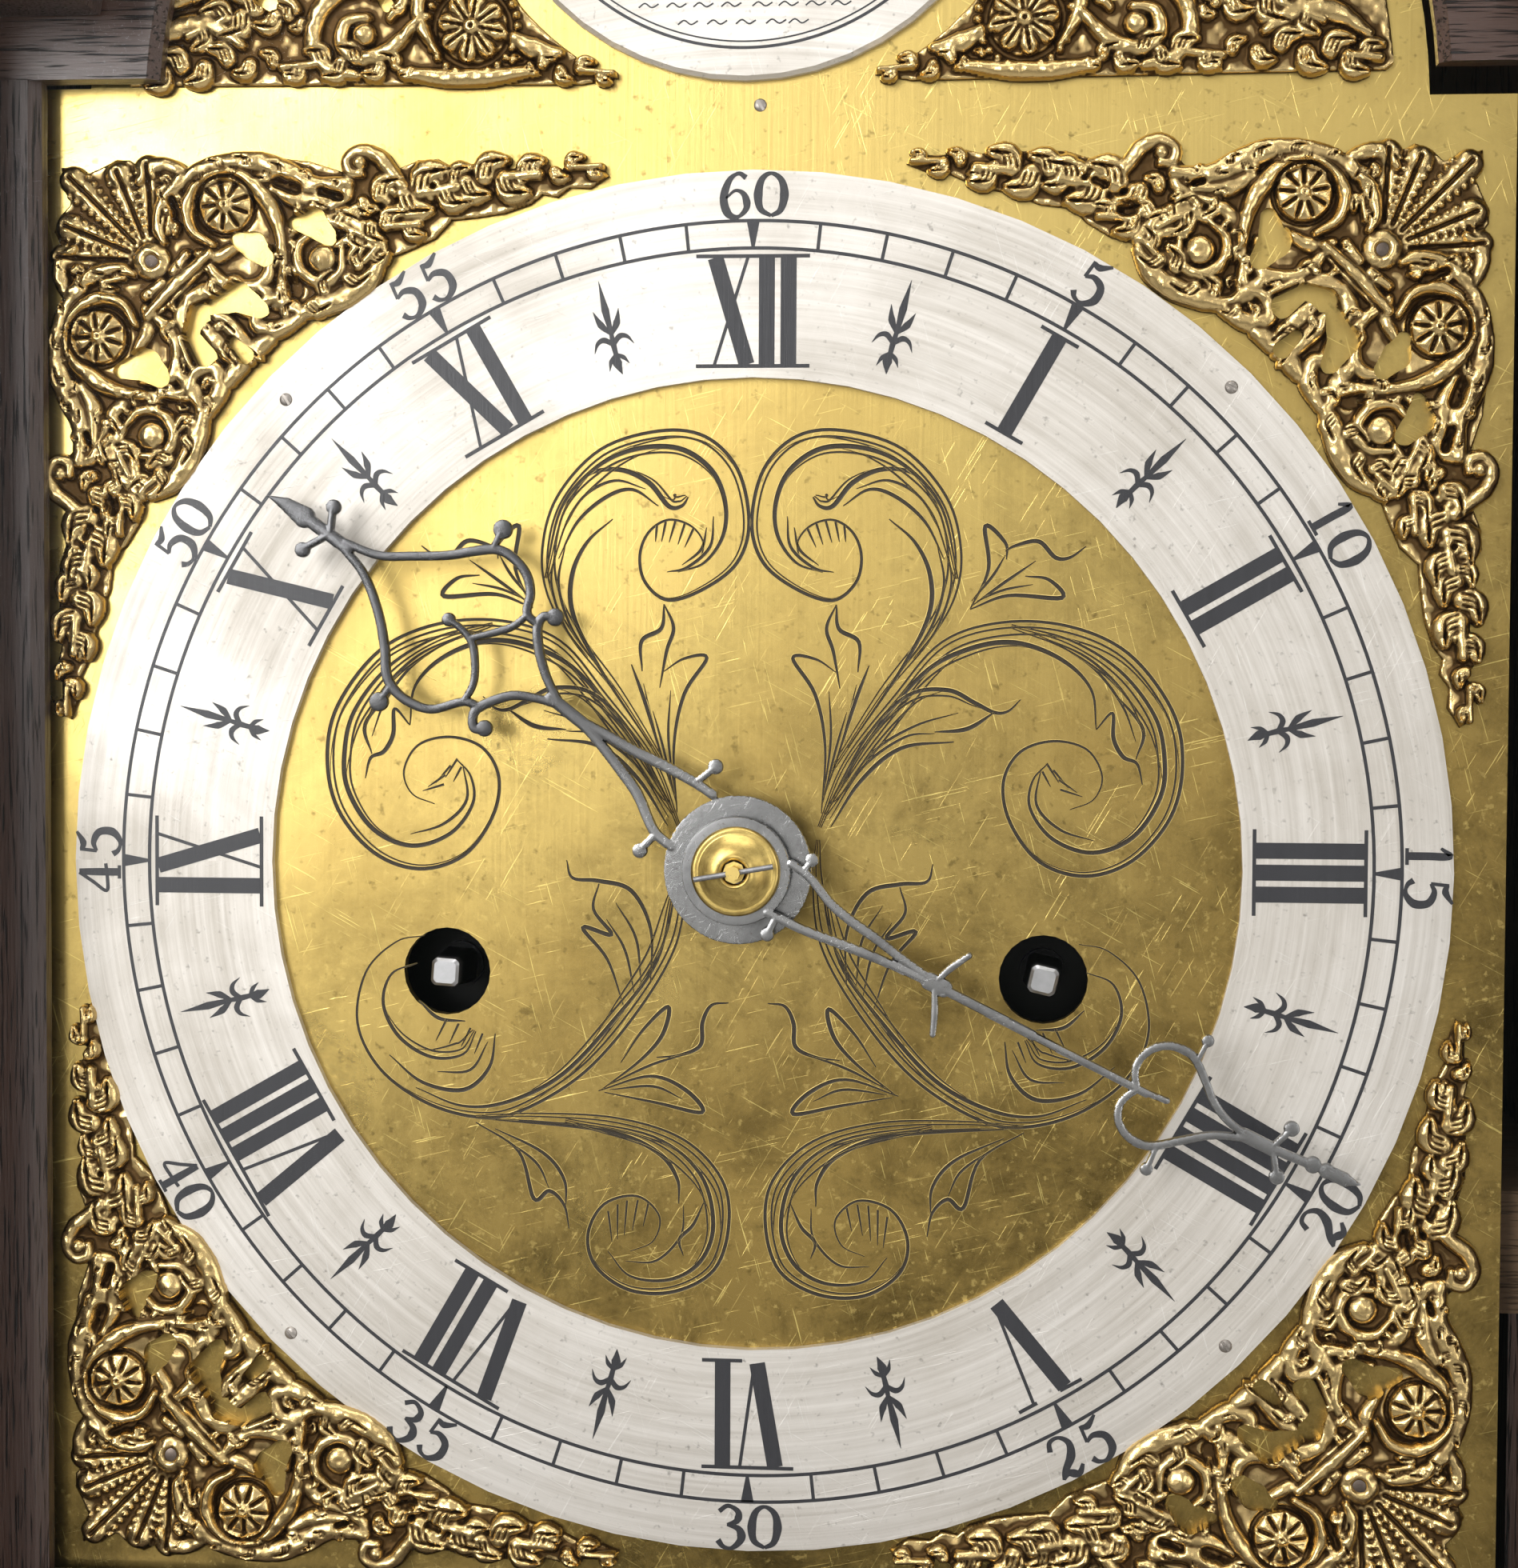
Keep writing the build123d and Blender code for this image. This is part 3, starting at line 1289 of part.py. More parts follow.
pivot_front = running_fit
pivot_back = plate_span - running_fit
through_back = plate_span + plate_metal
third_phase = mesh_phase(centre_at, centre_teeth, 0, third_at, third_pinion)
escape_phase = mesh_phase(third_at, third_teeth, 0, escape_at, escape_pinion)
second_phase = mesh_phase(centre_at, centre_pinion, 0, second_at, second_teeth)
going_phase = mesh_phase(second_at, great_pinion, 0, going_barrel_at, great_teeth)
with BuildPart() as centre_wheel:
    wheel(centre_at, centre_teeth, centre_module, 0, centre_wheel_depth)
    arbor(centre_at, 0, through_back, centre_arbor_radius)
    pinion(centre_at, centre_pinion, second_module, 0, centre_pinion_depth, centre_pinion_length)
    round_layer(centre_at, centre_arbor_radius, inner_y, inner_y - collet_y + collet_height)
    round_layer(centre_at, tip_radius, collet_y - collet_height, tip_lift - minute_hand_lift - hand_thickness - collet_height)
    with Locations(Location((dial_offset, pin_y, dial_height), (0, 90 - taper_pin_tilt, 0))):
        Cylinder(taper_pin_radius + running_fit, taper_pin_length, mode=Mode.SUBTRACT)
finish(centre_wheel, "centre_wheel")
with BuildPart() as second_wheel:
    wheel(second_at, second_teeth, second_module, second_phase, second_wheel_depth)
    arbor(second_at, pivot_front, pivot_back)
    pinion(second_at, great_pinion, great_module, 0, great_wheel_depth - great_overhang)
finish(second_wheel, "second_wheel")
with BuildPart() as third_wheel:
    wheel(third_at, third_teeth, third_module, 0, third_wheel_depth)
    arbor(third_at, pivot_front, pivot_back)
    pinion(third_at, third_pinion, centre_module, third_phase, centre_wheel_depth - leaf_overhang)
finish(third_wheel, "third_wheel")
with BuildPart() as escape_wheel:
    hooked = []
    for tooth in range(escape_teeth):
        angle = tooth * 360 / escape_teeth
        hooked.append(polar_point((0, 0), escape_radius, angle))
        hooked.append(polar_point((0, 0), escape_root, angle + escape_undercut))
        hooked.append(polar_point((0, 0), escape_root, angle + escape_gullet))
    toothed_layer(escape_at, hooked, movement_y(escape_wheel_depth + wheel_thickness), wheel_thickness)
    cross_out(
        escape_at, wheel_boss, escape_root - wheel_rim / 2, wheel_spokes, spoke_width,
        movement_y(escape_wheel_depth + wheel_thickness), wheel_thickness,
    )
    arbor(escape_at, pivot_front, pivot_back)
    pinion(escape_at, escape_pinion, third_module, escape_phase, third_wheel_depth - leaf_overhang)
finish(escape_wheel, "escape_wheel")


def barrel(place, phase, label):
    """A closed spring barrel with its great wheel, turning on the winding arbor."""
    great_back = movement_y(great_wheel_depth + great_wheel_thickness)
    with BuildPart() as drum:
        toothed_layer(place, wheel_points(great_teeth, great_module, phase), great_back, great_wheel_thickness)
        round_layer(place, barrel_radius, movement_y(great_wheel_depth), barrel_height)
        round_hole(
            place, barrel_arbor_radius + running_fit, great_back, barrel_height + great_wheel_thickness
        )
    finish(drum, label)


def winding_arbor(place, turn, label):
    """A barrel's arbor, with its ratchet and its tapered winding square in front of the plate."""
    ratchet_y = frame_front_y - ratchet_lift
    square_y = ratchet_y - ratchet_thickness - winding_collar
    with BuildPart() as arbor_part:
        round_layer(place, barrel_arbor_radius, movement_y(through_back), movement_y(through_back) - square_y)
        saw = []
        for tooth in range(ratchet_teeth):
            angle = tooth * 360 / ratchet_teeth
            saw.append(polar_point((0, 0), ratchet_radius, angle))
            saw.append(polar_point((0, 0), ratchet_radius - ratchet_depth, angle + ratchet_undercut))
        toothed_layer(place, saw, ratchet_y, ratchet_thickness)
        with BuildSketch(dial_plane(square_y)):
            with Locations(Location((*place, 0), (0, 0, turn))):
                Rectangle(winding_square + winding_widening, winding_square + winding_widening)
        with BuildSketch(dial_plane(square_y - winding_square_length)):
            with Locations(Location((*place, 0), (0, 0, turn))):
                Rectangle(winding_square, winding_square)
        loft()
    finish(arbor_part, label)


def click(place, toward, label):
    """A click standing just clear of its ratchet's tips, turning on a stud of the front plate."""
    swing = click_turn if toward[0] > 0 else -click_turn
    away = direction(toward, place)
    tip = polar_point(toward, ratchet_radius + click_clear, away + swing)
    back = polar_point(toward, ratchet_radius + click_clear + click_heel, away + swing)
    sides = [polar_point(place, click_radius, direction(place, tip) + quarter) for quarter in (-90, 90)]
    near, far = sorted(sides, key=lambda side: hypot(side[0] - toward[0], side[1] - toward[1]))
    with BuildPart() as pawl:
        with BuildSketch(dial_plane(frame_front_y - ratchet_lift)) as outline:
            with Locations(place):
                round_outline(click_radius)
            with BuildLine():
                Polyline(near, tip, back, far, close=True)
            make_face()
            with Locations(place):
                round_outline(stud_radius + running_fit, mode=Mode.SUBTRACT)
        extrude(outline.sketch, amount=ratchet_thickness)
    finish(pawl, label)


strike_phase = mesh_phase(pin_wheel_at, great_pinion, 0, strike_barrel_at, great_teeth)
barrel(going_barrel_at, going_phase, "going_barrel")
barrel(strike_barrel_at, strike_phase, "strike_barrel")
winding_arbor(going_barrel_at, going_square_turn, "going_winding_arbor")
winding_arbor(strike_barrel_at, strike_square_turn, "strike_winding_arbor")
click(click_places[0], strike_barrel_at, "strike_click")
click(click_places[1], going_barrel_at, "going_click")

# Motion work, in front of the front plate
minute_wheel_phase = mesh_phase(centre_at, cannon_teeth, 0, minute_wheel_at, minute_wheel_teeth)
hour_phase = mesh_phase(minute_wheel_at, minute_pinion, 0, centre_at, hour_wheel_teeth)


def ahead(lift):
    """Distance ahead of the front plate, as Y."""
    return frame_front_y - lift


with BuildPart() as cannon_pinion:
    toothed_layer(
        centre_at, pinion_points(cannon_teeth, cannon_module, 0), ahead(cannon_teeth_lift), cannon_teeth_length
    )
    round_layer(centre_at, cannon_radius, ahead(cannon_lift), ahead(cannon_lift) - collet_y)
    round_hole(centre_at, centre_arbor_radius + running_fit, ahead(cannon_lift), ahead(cannon_lift) - collet_y)
finish(cannon_pinion, "cannon_pinion")
with BuildPart() as minute_wheel:
    toothed_layer(
        minute_wheel_at, wheel_points(minute_wheel_teeth, cannon_module, minute_wheel_phase),
        ahead(minute_wheel_lift), wheel_thickness,
    )
    toothed_layer(
        minute_wheel_at, pinion_points(minute_pinion, motion_module, 0),
        ahead(minute_wheel_lift + wheel_thickness), minute_pinion_length,
    )
    round_hole(
        minute_wheel_at, stud_radius + running_fit, ahead(minute_wheel_lift),
        wheel_thickness + minute_pinion_length,
    )
finish(minute_wheel, "minute_wheel")
pipe_front_y = ring_face_y - hour_hand_lift - hand_thickness - pipe_rim
with BuildPart() as hour_wheel:
    toothed_layer(
        centre_at, wheel_points(hour_wheel_teeth, motion_module, hour_phase), ahead(hour_wheel_lift), wheel_thickness
    )
    cross_out(
        centre_at, hour_boss, hour_wheel_teeth * motion_module / 2 - wheel_rim * motion_module, wheel_spokes,
        spoke_width, ahead(hour_wheel_lift), wheel_thickness,
    )
    round_layer(centre_at, hour_pipe_radius, ahead(hour_wheel_lift), ahead(hour_wheel_lift) - pipe_front_y)
    round_hole(centre_at, hour_pipe_bore, ahead(hour_wheel_lift), ahead(hour_wheel_lift) - pipe_front_y)
finish(hour_wheel, "hour_wheel")

# Anchor with its crutch behind the back plate
crutch_y = frame_back_y + crutch_gap + crutch_thickness
prong_back_y = pendulum_y + rod_radius + crutch_gap
prong_x = rod_radius + crutch_clear
with BuildPart() as anchor:
    anchor_back = movement_y(escape_wheel_depth + (wheel_thickness + anchor_thickness) / 2)
    with BuildSketch(dial_plane(anchor_back)) as bow:
        for side in (-1, 1):
            with BuildLine():
                Polyline(*[(side * x, anchor_height + z) for x, z in anchor_arm], close=True)
            make_face()
    extrude(bow.sketch, amount=anchor_thickness)
    shaft(anchor_at, arbor_radius, cock_front_y + cock_thickness, cock_front_y + cock_thickness - movement_y(pivot_front))
    round_layer(anchor_at, crutch_boss_radius, crutch_y, crutch_thickness)
    with BuildSketch(dial_plane(crutch_y)) as arm:
        with Locations((0, anchor_height - crutch_drop / 2)):
            Rectangle(crutch_width, crutch_drop)
        with Locations((0, anchor_height - crutch_drop)):
            Rectangle(2 * (prong_x + crutch_prong), crutch_width)
    extrude(arm.sketch, amount=crutch_thickness)
    for side in (-1, 1):
        with BuildSketch(dial_plane(prong_back_y)) as prong:
            with Locations((side * (prong_x + crutch_prong / 2), anchor_height - crutch_drop)):
                Rectangle(crutch_prong, crutch_width)
        extrude(prong.sketch, amount=prong_back_y - crutch_y)
finish(anchor, "anchor")

# Back cock, pendulum and bob
with BuildPart() as back_cock:
    with BuildSketch(dial_plane(cock_front_y + cock_thickness)) as bridge:
        with Locations(anchor_at):
            Rectangle(2 * cock_half_width, cock_height)
            round_outline(arbor_radius + running_fit, mode=Mode.SUBTRACT)
    extrude(bridge.sketch, amount=cock_thickness)
    for side in (-1, 1):
        with BuildSketch(dial_plane(cock_front_y)) as foot:
            with Locations((side * (cock_half_width - cock_foot / 2), anchor_height)):
                Rectangle(cock_foot, cock_height)
        extrude(foot.sketch, amount=cock_gap)
    stud_low = anchor_height + stud_rise
    with BuildSketch(dial_plane(cock_front_y + cock_thickness + stud_reach)) as stud:
        with Locations((0, stud_low + stud_height / 2)):
            Rectangle(2 * stud_half_width, stud_height)
            Rectangle(stud_slot, stud_height, mode=Mode.SUBTRACT)
    extrude(stud.sketch, amount=stud_reach)
    with BuildSketch(dial_plane(cock_front_y + cock_thickness)) as riser:
        with Locations((0, stud_low + stud_height / 2)):
            Rectangle(2 * stud_half_width, stud_height)
    extrude(riser.sketch, amount=cock_thickness)
finish(back_cock, "back_cock")
hang_x, hang_z = dial_point(anchor_at)
pin_z = hang_z + stud_rise + stud_height + suspension_pin_radius + crutch_clear
bob_z = hang_z - pendulum_length
rod_low_z = bob_z - bob_radius - rod_tail
with BuildPart() as pendulum_rod:
    board_box(
        hang_x - spring_thickness / 2, hang_x + spring_thickness / 2,
        pendulum_y - spring_width / 2, pendulum_y + spring_width / 2, hang_z - spring_drop, pin_z,
    )
    board_box(
        hang_x - stud_half_width, hang_x + stud_half_width, pendulum_y - suspension_pin_radius,
        pendulum_y + suspension_pin_radius, pin_z - suspension_pin_radius, pin_z + suspension_pin_radius,
    )
    rod_top_z = hang_z - spring_drop
    board_box(
        hang_x - chops_half, hang_x + chops_half, pendulum_y - spring_width / 2, pendulum_y + spring_width / 2,
        rod_top_z - chops_height, rod_top_z,
    )
    upright_rod(hang_x, pendulum_y, rod_low_z, rod_top_z, rod_radius)
finish(pendulum_rod, "pendulum_rod")
with BuildPart() as pendulum_bob:
    half = bob_thickness / 2
    bob_sections = (
        (bob_radius - bob_bevel, -half), (bob_radius, bob_bevel - half), (bob_radius, half - bob_bevel),
        (bob_radius - bob_bevel, half),
    )
    turned((hang_x, bob_z), pendulum_y, bob_sections, bob_sides)
    upright_rod(
        hang_x, pendulum_y, bob_z - bob_radius, bob_z + bob_radius, rod_radius + running_fit, mode=Mode.SUBTRACT
    )
finish(pendulum_bob, "pendulum_bob")
with BuildPart() as rating_nut:
    nut_low_z, nut_high_z = bob_z - bob_radius - nut_height, bob_z - bob_radius
    upright_rod(hang_x, pendulum_y, nut_low_z, nut_high_z, nut_radius)
    upright_rod(hang_x, pendulum_y, nut_low_z, nut_high_z, rod_radius + running_fit, mode=Mode.SUBTRACT)
finish(rating_nut, "rating_nut")

# Striking train, hammer and gong
gathering_phase = mesh_phase(pin_wheel_at, pin_wheel_teeth, 0, gathering_at, gathering_pinion)
warning_phase = mesh_phase(gathering_at, gathering_teeth, 0, warning_at, warning_pinion)
fly_phase = mesh_phase(warning_at, warning_teeth, 0, fly_at, fly_pinion)
with BuildPart() as pin_wheel:
    wheel(pin_wheel_at, pin_wheel_teeth, pin_wheel_module, 0, pin_wheel_depth)
    for pin in range(strike_pin_count):
        pin_at = polar_point(pin_wheel_at, strike_pin_circle, (pin + 0.5) * 360 / strike_pin_count)
        with BuildSketch(dial_plane(movement_y(pin_wheel_depth))) as pin_outline:
            with Locations(pin_at):
                RegularPolygon(strike_pin_radius, strike_pin_sides)
        extrude(pin_outline.sketch, amount=strike_pin_length)
    arbor(pin_wheel_at, pivot_front, pivot_back)
    pinion(pin_wheel_at, great_pinion, great_module, 0, great_wheel_depth - great_overhang)
finish(pin_wheel, "pin_wheel")
with BuildPart() as gathering_wheel:
    wheel(gathering_at, gathering_teeth, gathering_module, 0, gathering_wheel_depth)
    arbor(gathering_at, pivot_front, pivot_back)
    pinion(gathering_at, gathering_pinion, pin_wheel_module, gathering_phase, pin_wheel_depth - leaf_overhang)
finish(gathering_wheel, "gathering_wheel")
with BuildPart() as warning_wheel:
    wheel(warning_at, warning_teeth, warning_module, 0, warning_wheel_depth)
    arbor(warning_at, pivot_front, pivot_back)
    pinion(warning_at, warning_pinion, gathering_module, warning_phase, gathering_wheel_depth - leaf_overhang)
finish(warning_wheel, "warning_wheel")
with BuildPart() as fly:
    arbor(fly_at, pivot_front, pivot_back)
    pinion(fly_at, fly_pinion, warning_module, fly_phase, warning_wheel_depth - leaf_overhang)
    with BuildSketch(dial_plane(movement_y(fly_depth + fly_length))) as vane:
        with Locations(fly_at):
            Rectangle(2 * fly_half_width, fly_thickness)
    extrude(vane.sketch, amount=fly_length)
finish(fly, "fly")

hammer_arm_y = frame_back_y + crutch_gap + hammer_arm_thickness
head_x, head_z = hammer_at[0] + hammer_reach, hammer_at[1] - hammer_drop
with BuildPart() as hammer:
    shaft(hammer_at, arbor_radius, hammer_arm_y, hammer_arm_y - movement_y(pivot_front))
    with BuildSketch(dial_plane(movement_y(hammer_tail_depth + wheel_thickness))) as tail:
        with BuildLine() as tail_line:
            Polyline(*[(hammer_at[0] + x, hammer_at[1] + z) for x, z in hammer_tail])
        trace(tail_line.edges(), line_width=hammer_tail_width)
        with Locations(hammer_at):
            round_outline(hammer_tail_width)
    extrude(tail.sketch, amount=wheel_thickness)
    with BuildSketch(dial_plane(hammer_arm_y)) as arm:
        with Locations(hammer_at):
            round_outline(hammer_arm_width)
        with BuildLine() as arm_line:
            Line(hammer_at, (head_x, head_z))
        trace(arm_line.edges(), line_width=hammer_arm_width)
        with Locations((head_x, head_z)):
            round_outline(hammer_arm_width)
    extrude(arm.sketch, amount=hammer_arm_thickness)
    round_layer((head_x, head_z), hammer_arm_width / 2, hammer_face_y, hammer_face_y - hammer_arm_y)
    round_layer((head_x, head_z), hammer_radius, hammer_face_y + hammer_length, hammer_length)
finish(hammer, "hammer")

gong_x = dial_offset + head_x - hammer_radius - hammer_clear - gong_rod_radius
gong_high_z = seat_bottom_z - gong_block_drop
gong_low_z = gong_high_z - gong_block_height
gong_front_y = hammer_face_y + gong_block_margin
with BuildPart() as gong:
    board_box(
        gong_x - gong_block_width / 2, gong_x + gong_block_width / 2, gong_front_y - gong_block_lap, backboard_y,
        gong_low_z, gong_high_z,
    )
    for rod, length in enumerate(gong_rod_lengths):
        upright_rod(
            gong_x, gong_front_y + rod * gong_rod_pitch, gong_low_z - length, gong_low_z, gong_rod_radius
        )
finish(gong, "gong")
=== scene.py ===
import json
import math

import bmesh
import bpy
import numpy as np
from mathutils import Euler, Matrix, Vector
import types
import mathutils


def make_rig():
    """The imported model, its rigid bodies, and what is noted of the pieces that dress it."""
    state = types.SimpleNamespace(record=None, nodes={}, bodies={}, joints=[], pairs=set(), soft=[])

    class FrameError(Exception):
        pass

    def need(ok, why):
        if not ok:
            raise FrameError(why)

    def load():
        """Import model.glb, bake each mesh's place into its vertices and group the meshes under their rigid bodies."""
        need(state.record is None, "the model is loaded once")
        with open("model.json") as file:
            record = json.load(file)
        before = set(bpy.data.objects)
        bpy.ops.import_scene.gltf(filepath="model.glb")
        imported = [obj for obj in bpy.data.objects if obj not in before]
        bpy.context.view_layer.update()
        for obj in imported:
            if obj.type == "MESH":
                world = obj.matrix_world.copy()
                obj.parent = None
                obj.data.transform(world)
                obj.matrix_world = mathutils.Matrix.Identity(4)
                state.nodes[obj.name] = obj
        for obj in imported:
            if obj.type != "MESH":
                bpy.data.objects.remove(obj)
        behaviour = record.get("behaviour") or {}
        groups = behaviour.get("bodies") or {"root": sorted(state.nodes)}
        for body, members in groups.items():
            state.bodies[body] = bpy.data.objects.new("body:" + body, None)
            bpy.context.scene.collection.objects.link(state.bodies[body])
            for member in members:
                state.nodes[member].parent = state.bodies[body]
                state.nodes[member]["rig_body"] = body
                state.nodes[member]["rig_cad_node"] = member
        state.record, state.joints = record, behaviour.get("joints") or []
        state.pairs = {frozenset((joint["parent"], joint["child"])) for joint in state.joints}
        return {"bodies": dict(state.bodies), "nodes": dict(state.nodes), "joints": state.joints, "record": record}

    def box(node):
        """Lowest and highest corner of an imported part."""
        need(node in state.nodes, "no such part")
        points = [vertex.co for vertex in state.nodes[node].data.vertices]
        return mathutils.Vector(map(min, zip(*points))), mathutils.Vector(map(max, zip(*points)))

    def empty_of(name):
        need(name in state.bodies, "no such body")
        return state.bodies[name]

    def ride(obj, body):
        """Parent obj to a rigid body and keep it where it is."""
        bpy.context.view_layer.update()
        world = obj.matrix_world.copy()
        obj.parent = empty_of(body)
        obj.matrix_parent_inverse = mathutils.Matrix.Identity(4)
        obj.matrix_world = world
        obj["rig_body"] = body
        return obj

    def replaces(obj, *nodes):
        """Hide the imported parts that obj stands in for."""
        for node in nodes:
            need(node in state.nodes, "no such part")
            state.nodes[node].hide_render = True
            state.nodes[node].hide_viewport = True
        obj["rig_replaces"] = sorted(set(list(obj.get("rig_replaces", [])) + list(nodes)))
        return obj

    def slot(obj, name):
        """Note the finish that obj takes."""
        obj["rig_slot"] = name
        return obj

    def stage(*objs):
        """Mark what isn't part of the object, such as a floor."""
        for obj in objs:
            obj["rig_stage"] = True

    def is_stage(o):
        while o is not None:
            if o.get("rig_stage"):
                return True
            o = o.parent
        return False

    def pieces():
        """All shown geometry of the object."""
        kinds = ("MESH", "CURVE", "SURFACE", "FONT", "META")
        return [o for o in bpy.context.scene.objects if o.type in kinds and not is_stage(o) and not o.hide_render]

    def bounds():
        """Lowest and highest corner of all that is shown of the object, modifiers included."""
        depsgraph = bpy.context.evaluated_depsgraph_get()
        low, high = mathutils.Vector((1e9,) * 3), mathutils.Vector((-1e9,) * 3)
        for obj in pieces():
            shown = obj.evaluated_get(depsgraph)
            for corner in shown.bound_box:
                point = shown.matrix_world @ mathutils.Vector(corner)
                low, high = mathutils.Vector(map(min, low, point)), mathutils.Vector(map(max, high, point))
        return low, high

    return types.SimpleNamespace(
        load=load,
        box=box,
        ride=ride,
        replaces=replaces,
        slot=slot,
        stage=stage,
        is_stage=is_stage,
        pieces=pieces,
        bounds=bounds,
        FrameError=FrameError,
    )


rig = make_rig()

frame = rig.load()
cad_low, cad_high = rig.bounds()

bl_info = {
    "name": "Grandmother clock dressing",
    "version": (1, 0, 0),
    "blender": (4, 5, 0),
    "location": "3D View > Sidebar > Clock",
    "description": "Engraving, castings, hands and finishes of a small longcase clock",
    "category": "Object",
}

MM = 0.001
ring_low, ring_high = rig.box("chapter_ring")
RING_X = (ring_low.x + ring_high.x) / 2
RING_Z = (ring_low.z + ring_high.z) / 2
RING_FACE = ring_low.y
PLATE_FACE = ring_high.y
RING_RIGHT_OF_HANDS = 1.2 * MM
HAND_X = RING_X - RING_RIGHT_OF_HANDS


class ClockSizes(bpy.types.PropertyGroup):
    """Sizes that a user would change."""

    numeral_base: bpy.props.FloatProperty(
        name="Numeral base", description="Radius at the foot of the hour numerals",
        default=72.6 * MM, unit="LENGTH",
    )
    numeral_height: bpy.props.FloatProperty(
        name="Numeral height", description="Height of the hour numerals along the radius",
        default=15.8 * MM, unit="LENGTH",
    )
    track_outer: bpy.props.FloatProperty(
        name="Minute track outside", description="Radius of the outer line of the minute track",
        default=93.5 * MM, unit="LENGTH",
    )
    track_inner: bpy.props.FloatProperty(
        name="Minute track inside", description="Radius of the inner line of the minute track",
        default=89.56 * MM, unit="LENGTH",
    )
    line_width: bpy.props.FloatProperty(
        name="Line width", description="Width of the lines of the minute track",
        default=0.50 * MM, unit="LENGTH",
    )
    digit_height: bpy.props.FloatProperty(
        name="Minute figure height", description="Height of the five-minute figures",
        default=6.1 * MM, unit="LENGTH",
    )
    cut_width: bpy.props.FloatProperty(
        name="Engraved cut width", description="Full width of the widest cuts in the dial centre",
        default=0.96 * MM, unit="LENGTH",
    )
    screw_head: bpy.props.FloatProperty(
        name="Screw head radius", description="Radius of the heads that hold the corner castings",
        default=1.7 * MM, unit="LENGTH",
    )


def colour_property(name, description, default):
    """A colour that a user can change."""
    return bpy.props.FloatVectorProperty(
        name=name, description=description, default=default, size=3, subtype="COLOR", min=0.0, max=1.0
    )


class ClockColours(bpy.types.PropertyGroup):
    """Colours that a user would change."""

    brass: colour_property("Brass", "Rubbed brass of the dial plate", (0.80, 0.60, 0.20))
    # Tarnish, and on the dial plate also the painted shade towards its foot.
    brass_dark: colour_property("Tarnished brass", "Tarnish on the dial plate", (0.34, 0.235, 0.07))
    cast_brass: colour_property("Cast brass", "High points of the castings", (0.66, 0.48, 0.21))
    # Dirt and lacquer in the castings' recesses, together with the painted shade there.
    cast_dark: colour_property("Casting recesses", "Dirt and lacquer in the castings", (0.085, 0.048, 0.018))
    silvering: colour_property("Silvering", "Silvered chapter ring and roundel", (0.82, 0.78, 0.725))
    wax: colour_property("Wax", "Black wax in the numerals", (0.012, 0.012, 0.014))
    steel: colour_property("Steel", "Polished grey steel of the hands", (0.27, 0.27, 0.268))
    oak_light: colour_property("Oak light", "Pale bands of the stained oak", (0.090, 0.040, 0.024))
    oak_dark: colour_property("Oak dark", "Dark bands of the stained oak", (0.022, 0.009, 0.006))
    oak_inner: colour_property("Bare oak", "Unstained oak inside the case", (0.36, 0.22, 0.12))
    floor: colour_property("Floor", "Plain pale floor", (0.78, 0.77, 0.75))


# Meshes


def make_object(name, points, faces, uvs=None, attributes=None):
    """An object at the origin whose mesh holds these points, in metres."""
    mesh = bpy.data.meshes.new(name)
    mesh.from_pydata([tuple(p) for p in np.asarray(points, float)], [], [tuple(f) for f in faces])
    if uvs is not None:
        layer = mesh.uv_layers.new(name="along")
        corner = np.zeros(len(mesh.loops), np.int32)
        mesh.loops.foreach_get("vertex_index", corner)
        layer.data.foreach_set("uv", np.asarray(uvs, np.float32)[corner].ravel())
    for key, values in (attributes or {}).items():
        layer = mesh.attributes.new(key, "FLOAT", "POINT")
        layer.data.foreach_set("value", np.asarray(values, np.float32))
    mesh.validate()
    mesh.update()
    piece = bpy.data.objects.new(name, mesh)
    bpy.context.scene.collection.objects.link(piece)
    return piece


def finish_piece(piece, body, material, slot, *nodes, smooth=0.0):
    """Give a piece its finish, its body and the solids that it stands for."""
    piece.data.materials.clear()
    piece.data.materials.append(bpy.data.materials[material])
    if smooth:
        piece.data.shade_smooth()
        piece.data.set_sharp_from_angle(angle=math.radians(smooth))
    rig.ride(piece, body)
    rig.slot(piece, slot)
    if nodes:
        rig.replaces(piece, *nodes)


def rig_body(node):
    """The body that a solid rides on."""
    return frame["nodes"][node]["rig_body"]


def dial_body():
    """The body that the dial stands on."""
    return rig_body("chapter_ring")


def through(points, steps=8):
    """A smooth line through these points."""
    points = np.asarray(points, float)
    padded = np.vstack([2 * points[0] - points[1], points, 2 * points[-1] - points[-2]])
    t = (np.arange(steps) / steps)[:, None]
    runs = []
    for a, b, c, d in zip(padded, padded[1:], padded[2:], padded[3:]):
        square, cube = 2 * a - 5 * b + 4 * c - d, 3 * b - a - 3 * c + d
        runs.append(0.5 * (2 * b + (c - a) * t + square * t**2 + cube * t**3))
    return np.vstack([*runs, points[-1:]])


def along(line, widths, steps=6):
    """A line smoothed through its points, and its half widths spread evenly along it."""
    smooth = through(line, steps) if len(line) > 2 else np.asarray(line, float)
    shares = np.linspace(0, 1, len(smooth))
    return smooth, np.interp(shares, np.linspace(0, 1, len(widths)), widths)


def towards(turn):
    """The direction at an angle in degrees."""
    return np.array([math.cos(math.radians(turn)), math.sin(math.radians(turn))])


def unit_circle(count):
    """Points round a circle of radius one, with the last on the first."""
    turns = np.radians(np.linspace(0, 360, count + 1))
    return np.stack([np.cos(turns), np.sin(turns)], 1)


def spiral(centre, start_radius, end_radius, start, turn, count=40):
    """A spiral round a centre, from one radius to another, with its angles in degrees."""
    t = np.linspace(0, 1, count)
    radius = start_radius + (end_radius - start_radius) * t
    angle = np.radians(start + turn * t)
    return np.stack([centre[0] + radius * np.cos(angle), centre[1] + radius * np.sin(angle)], 1)


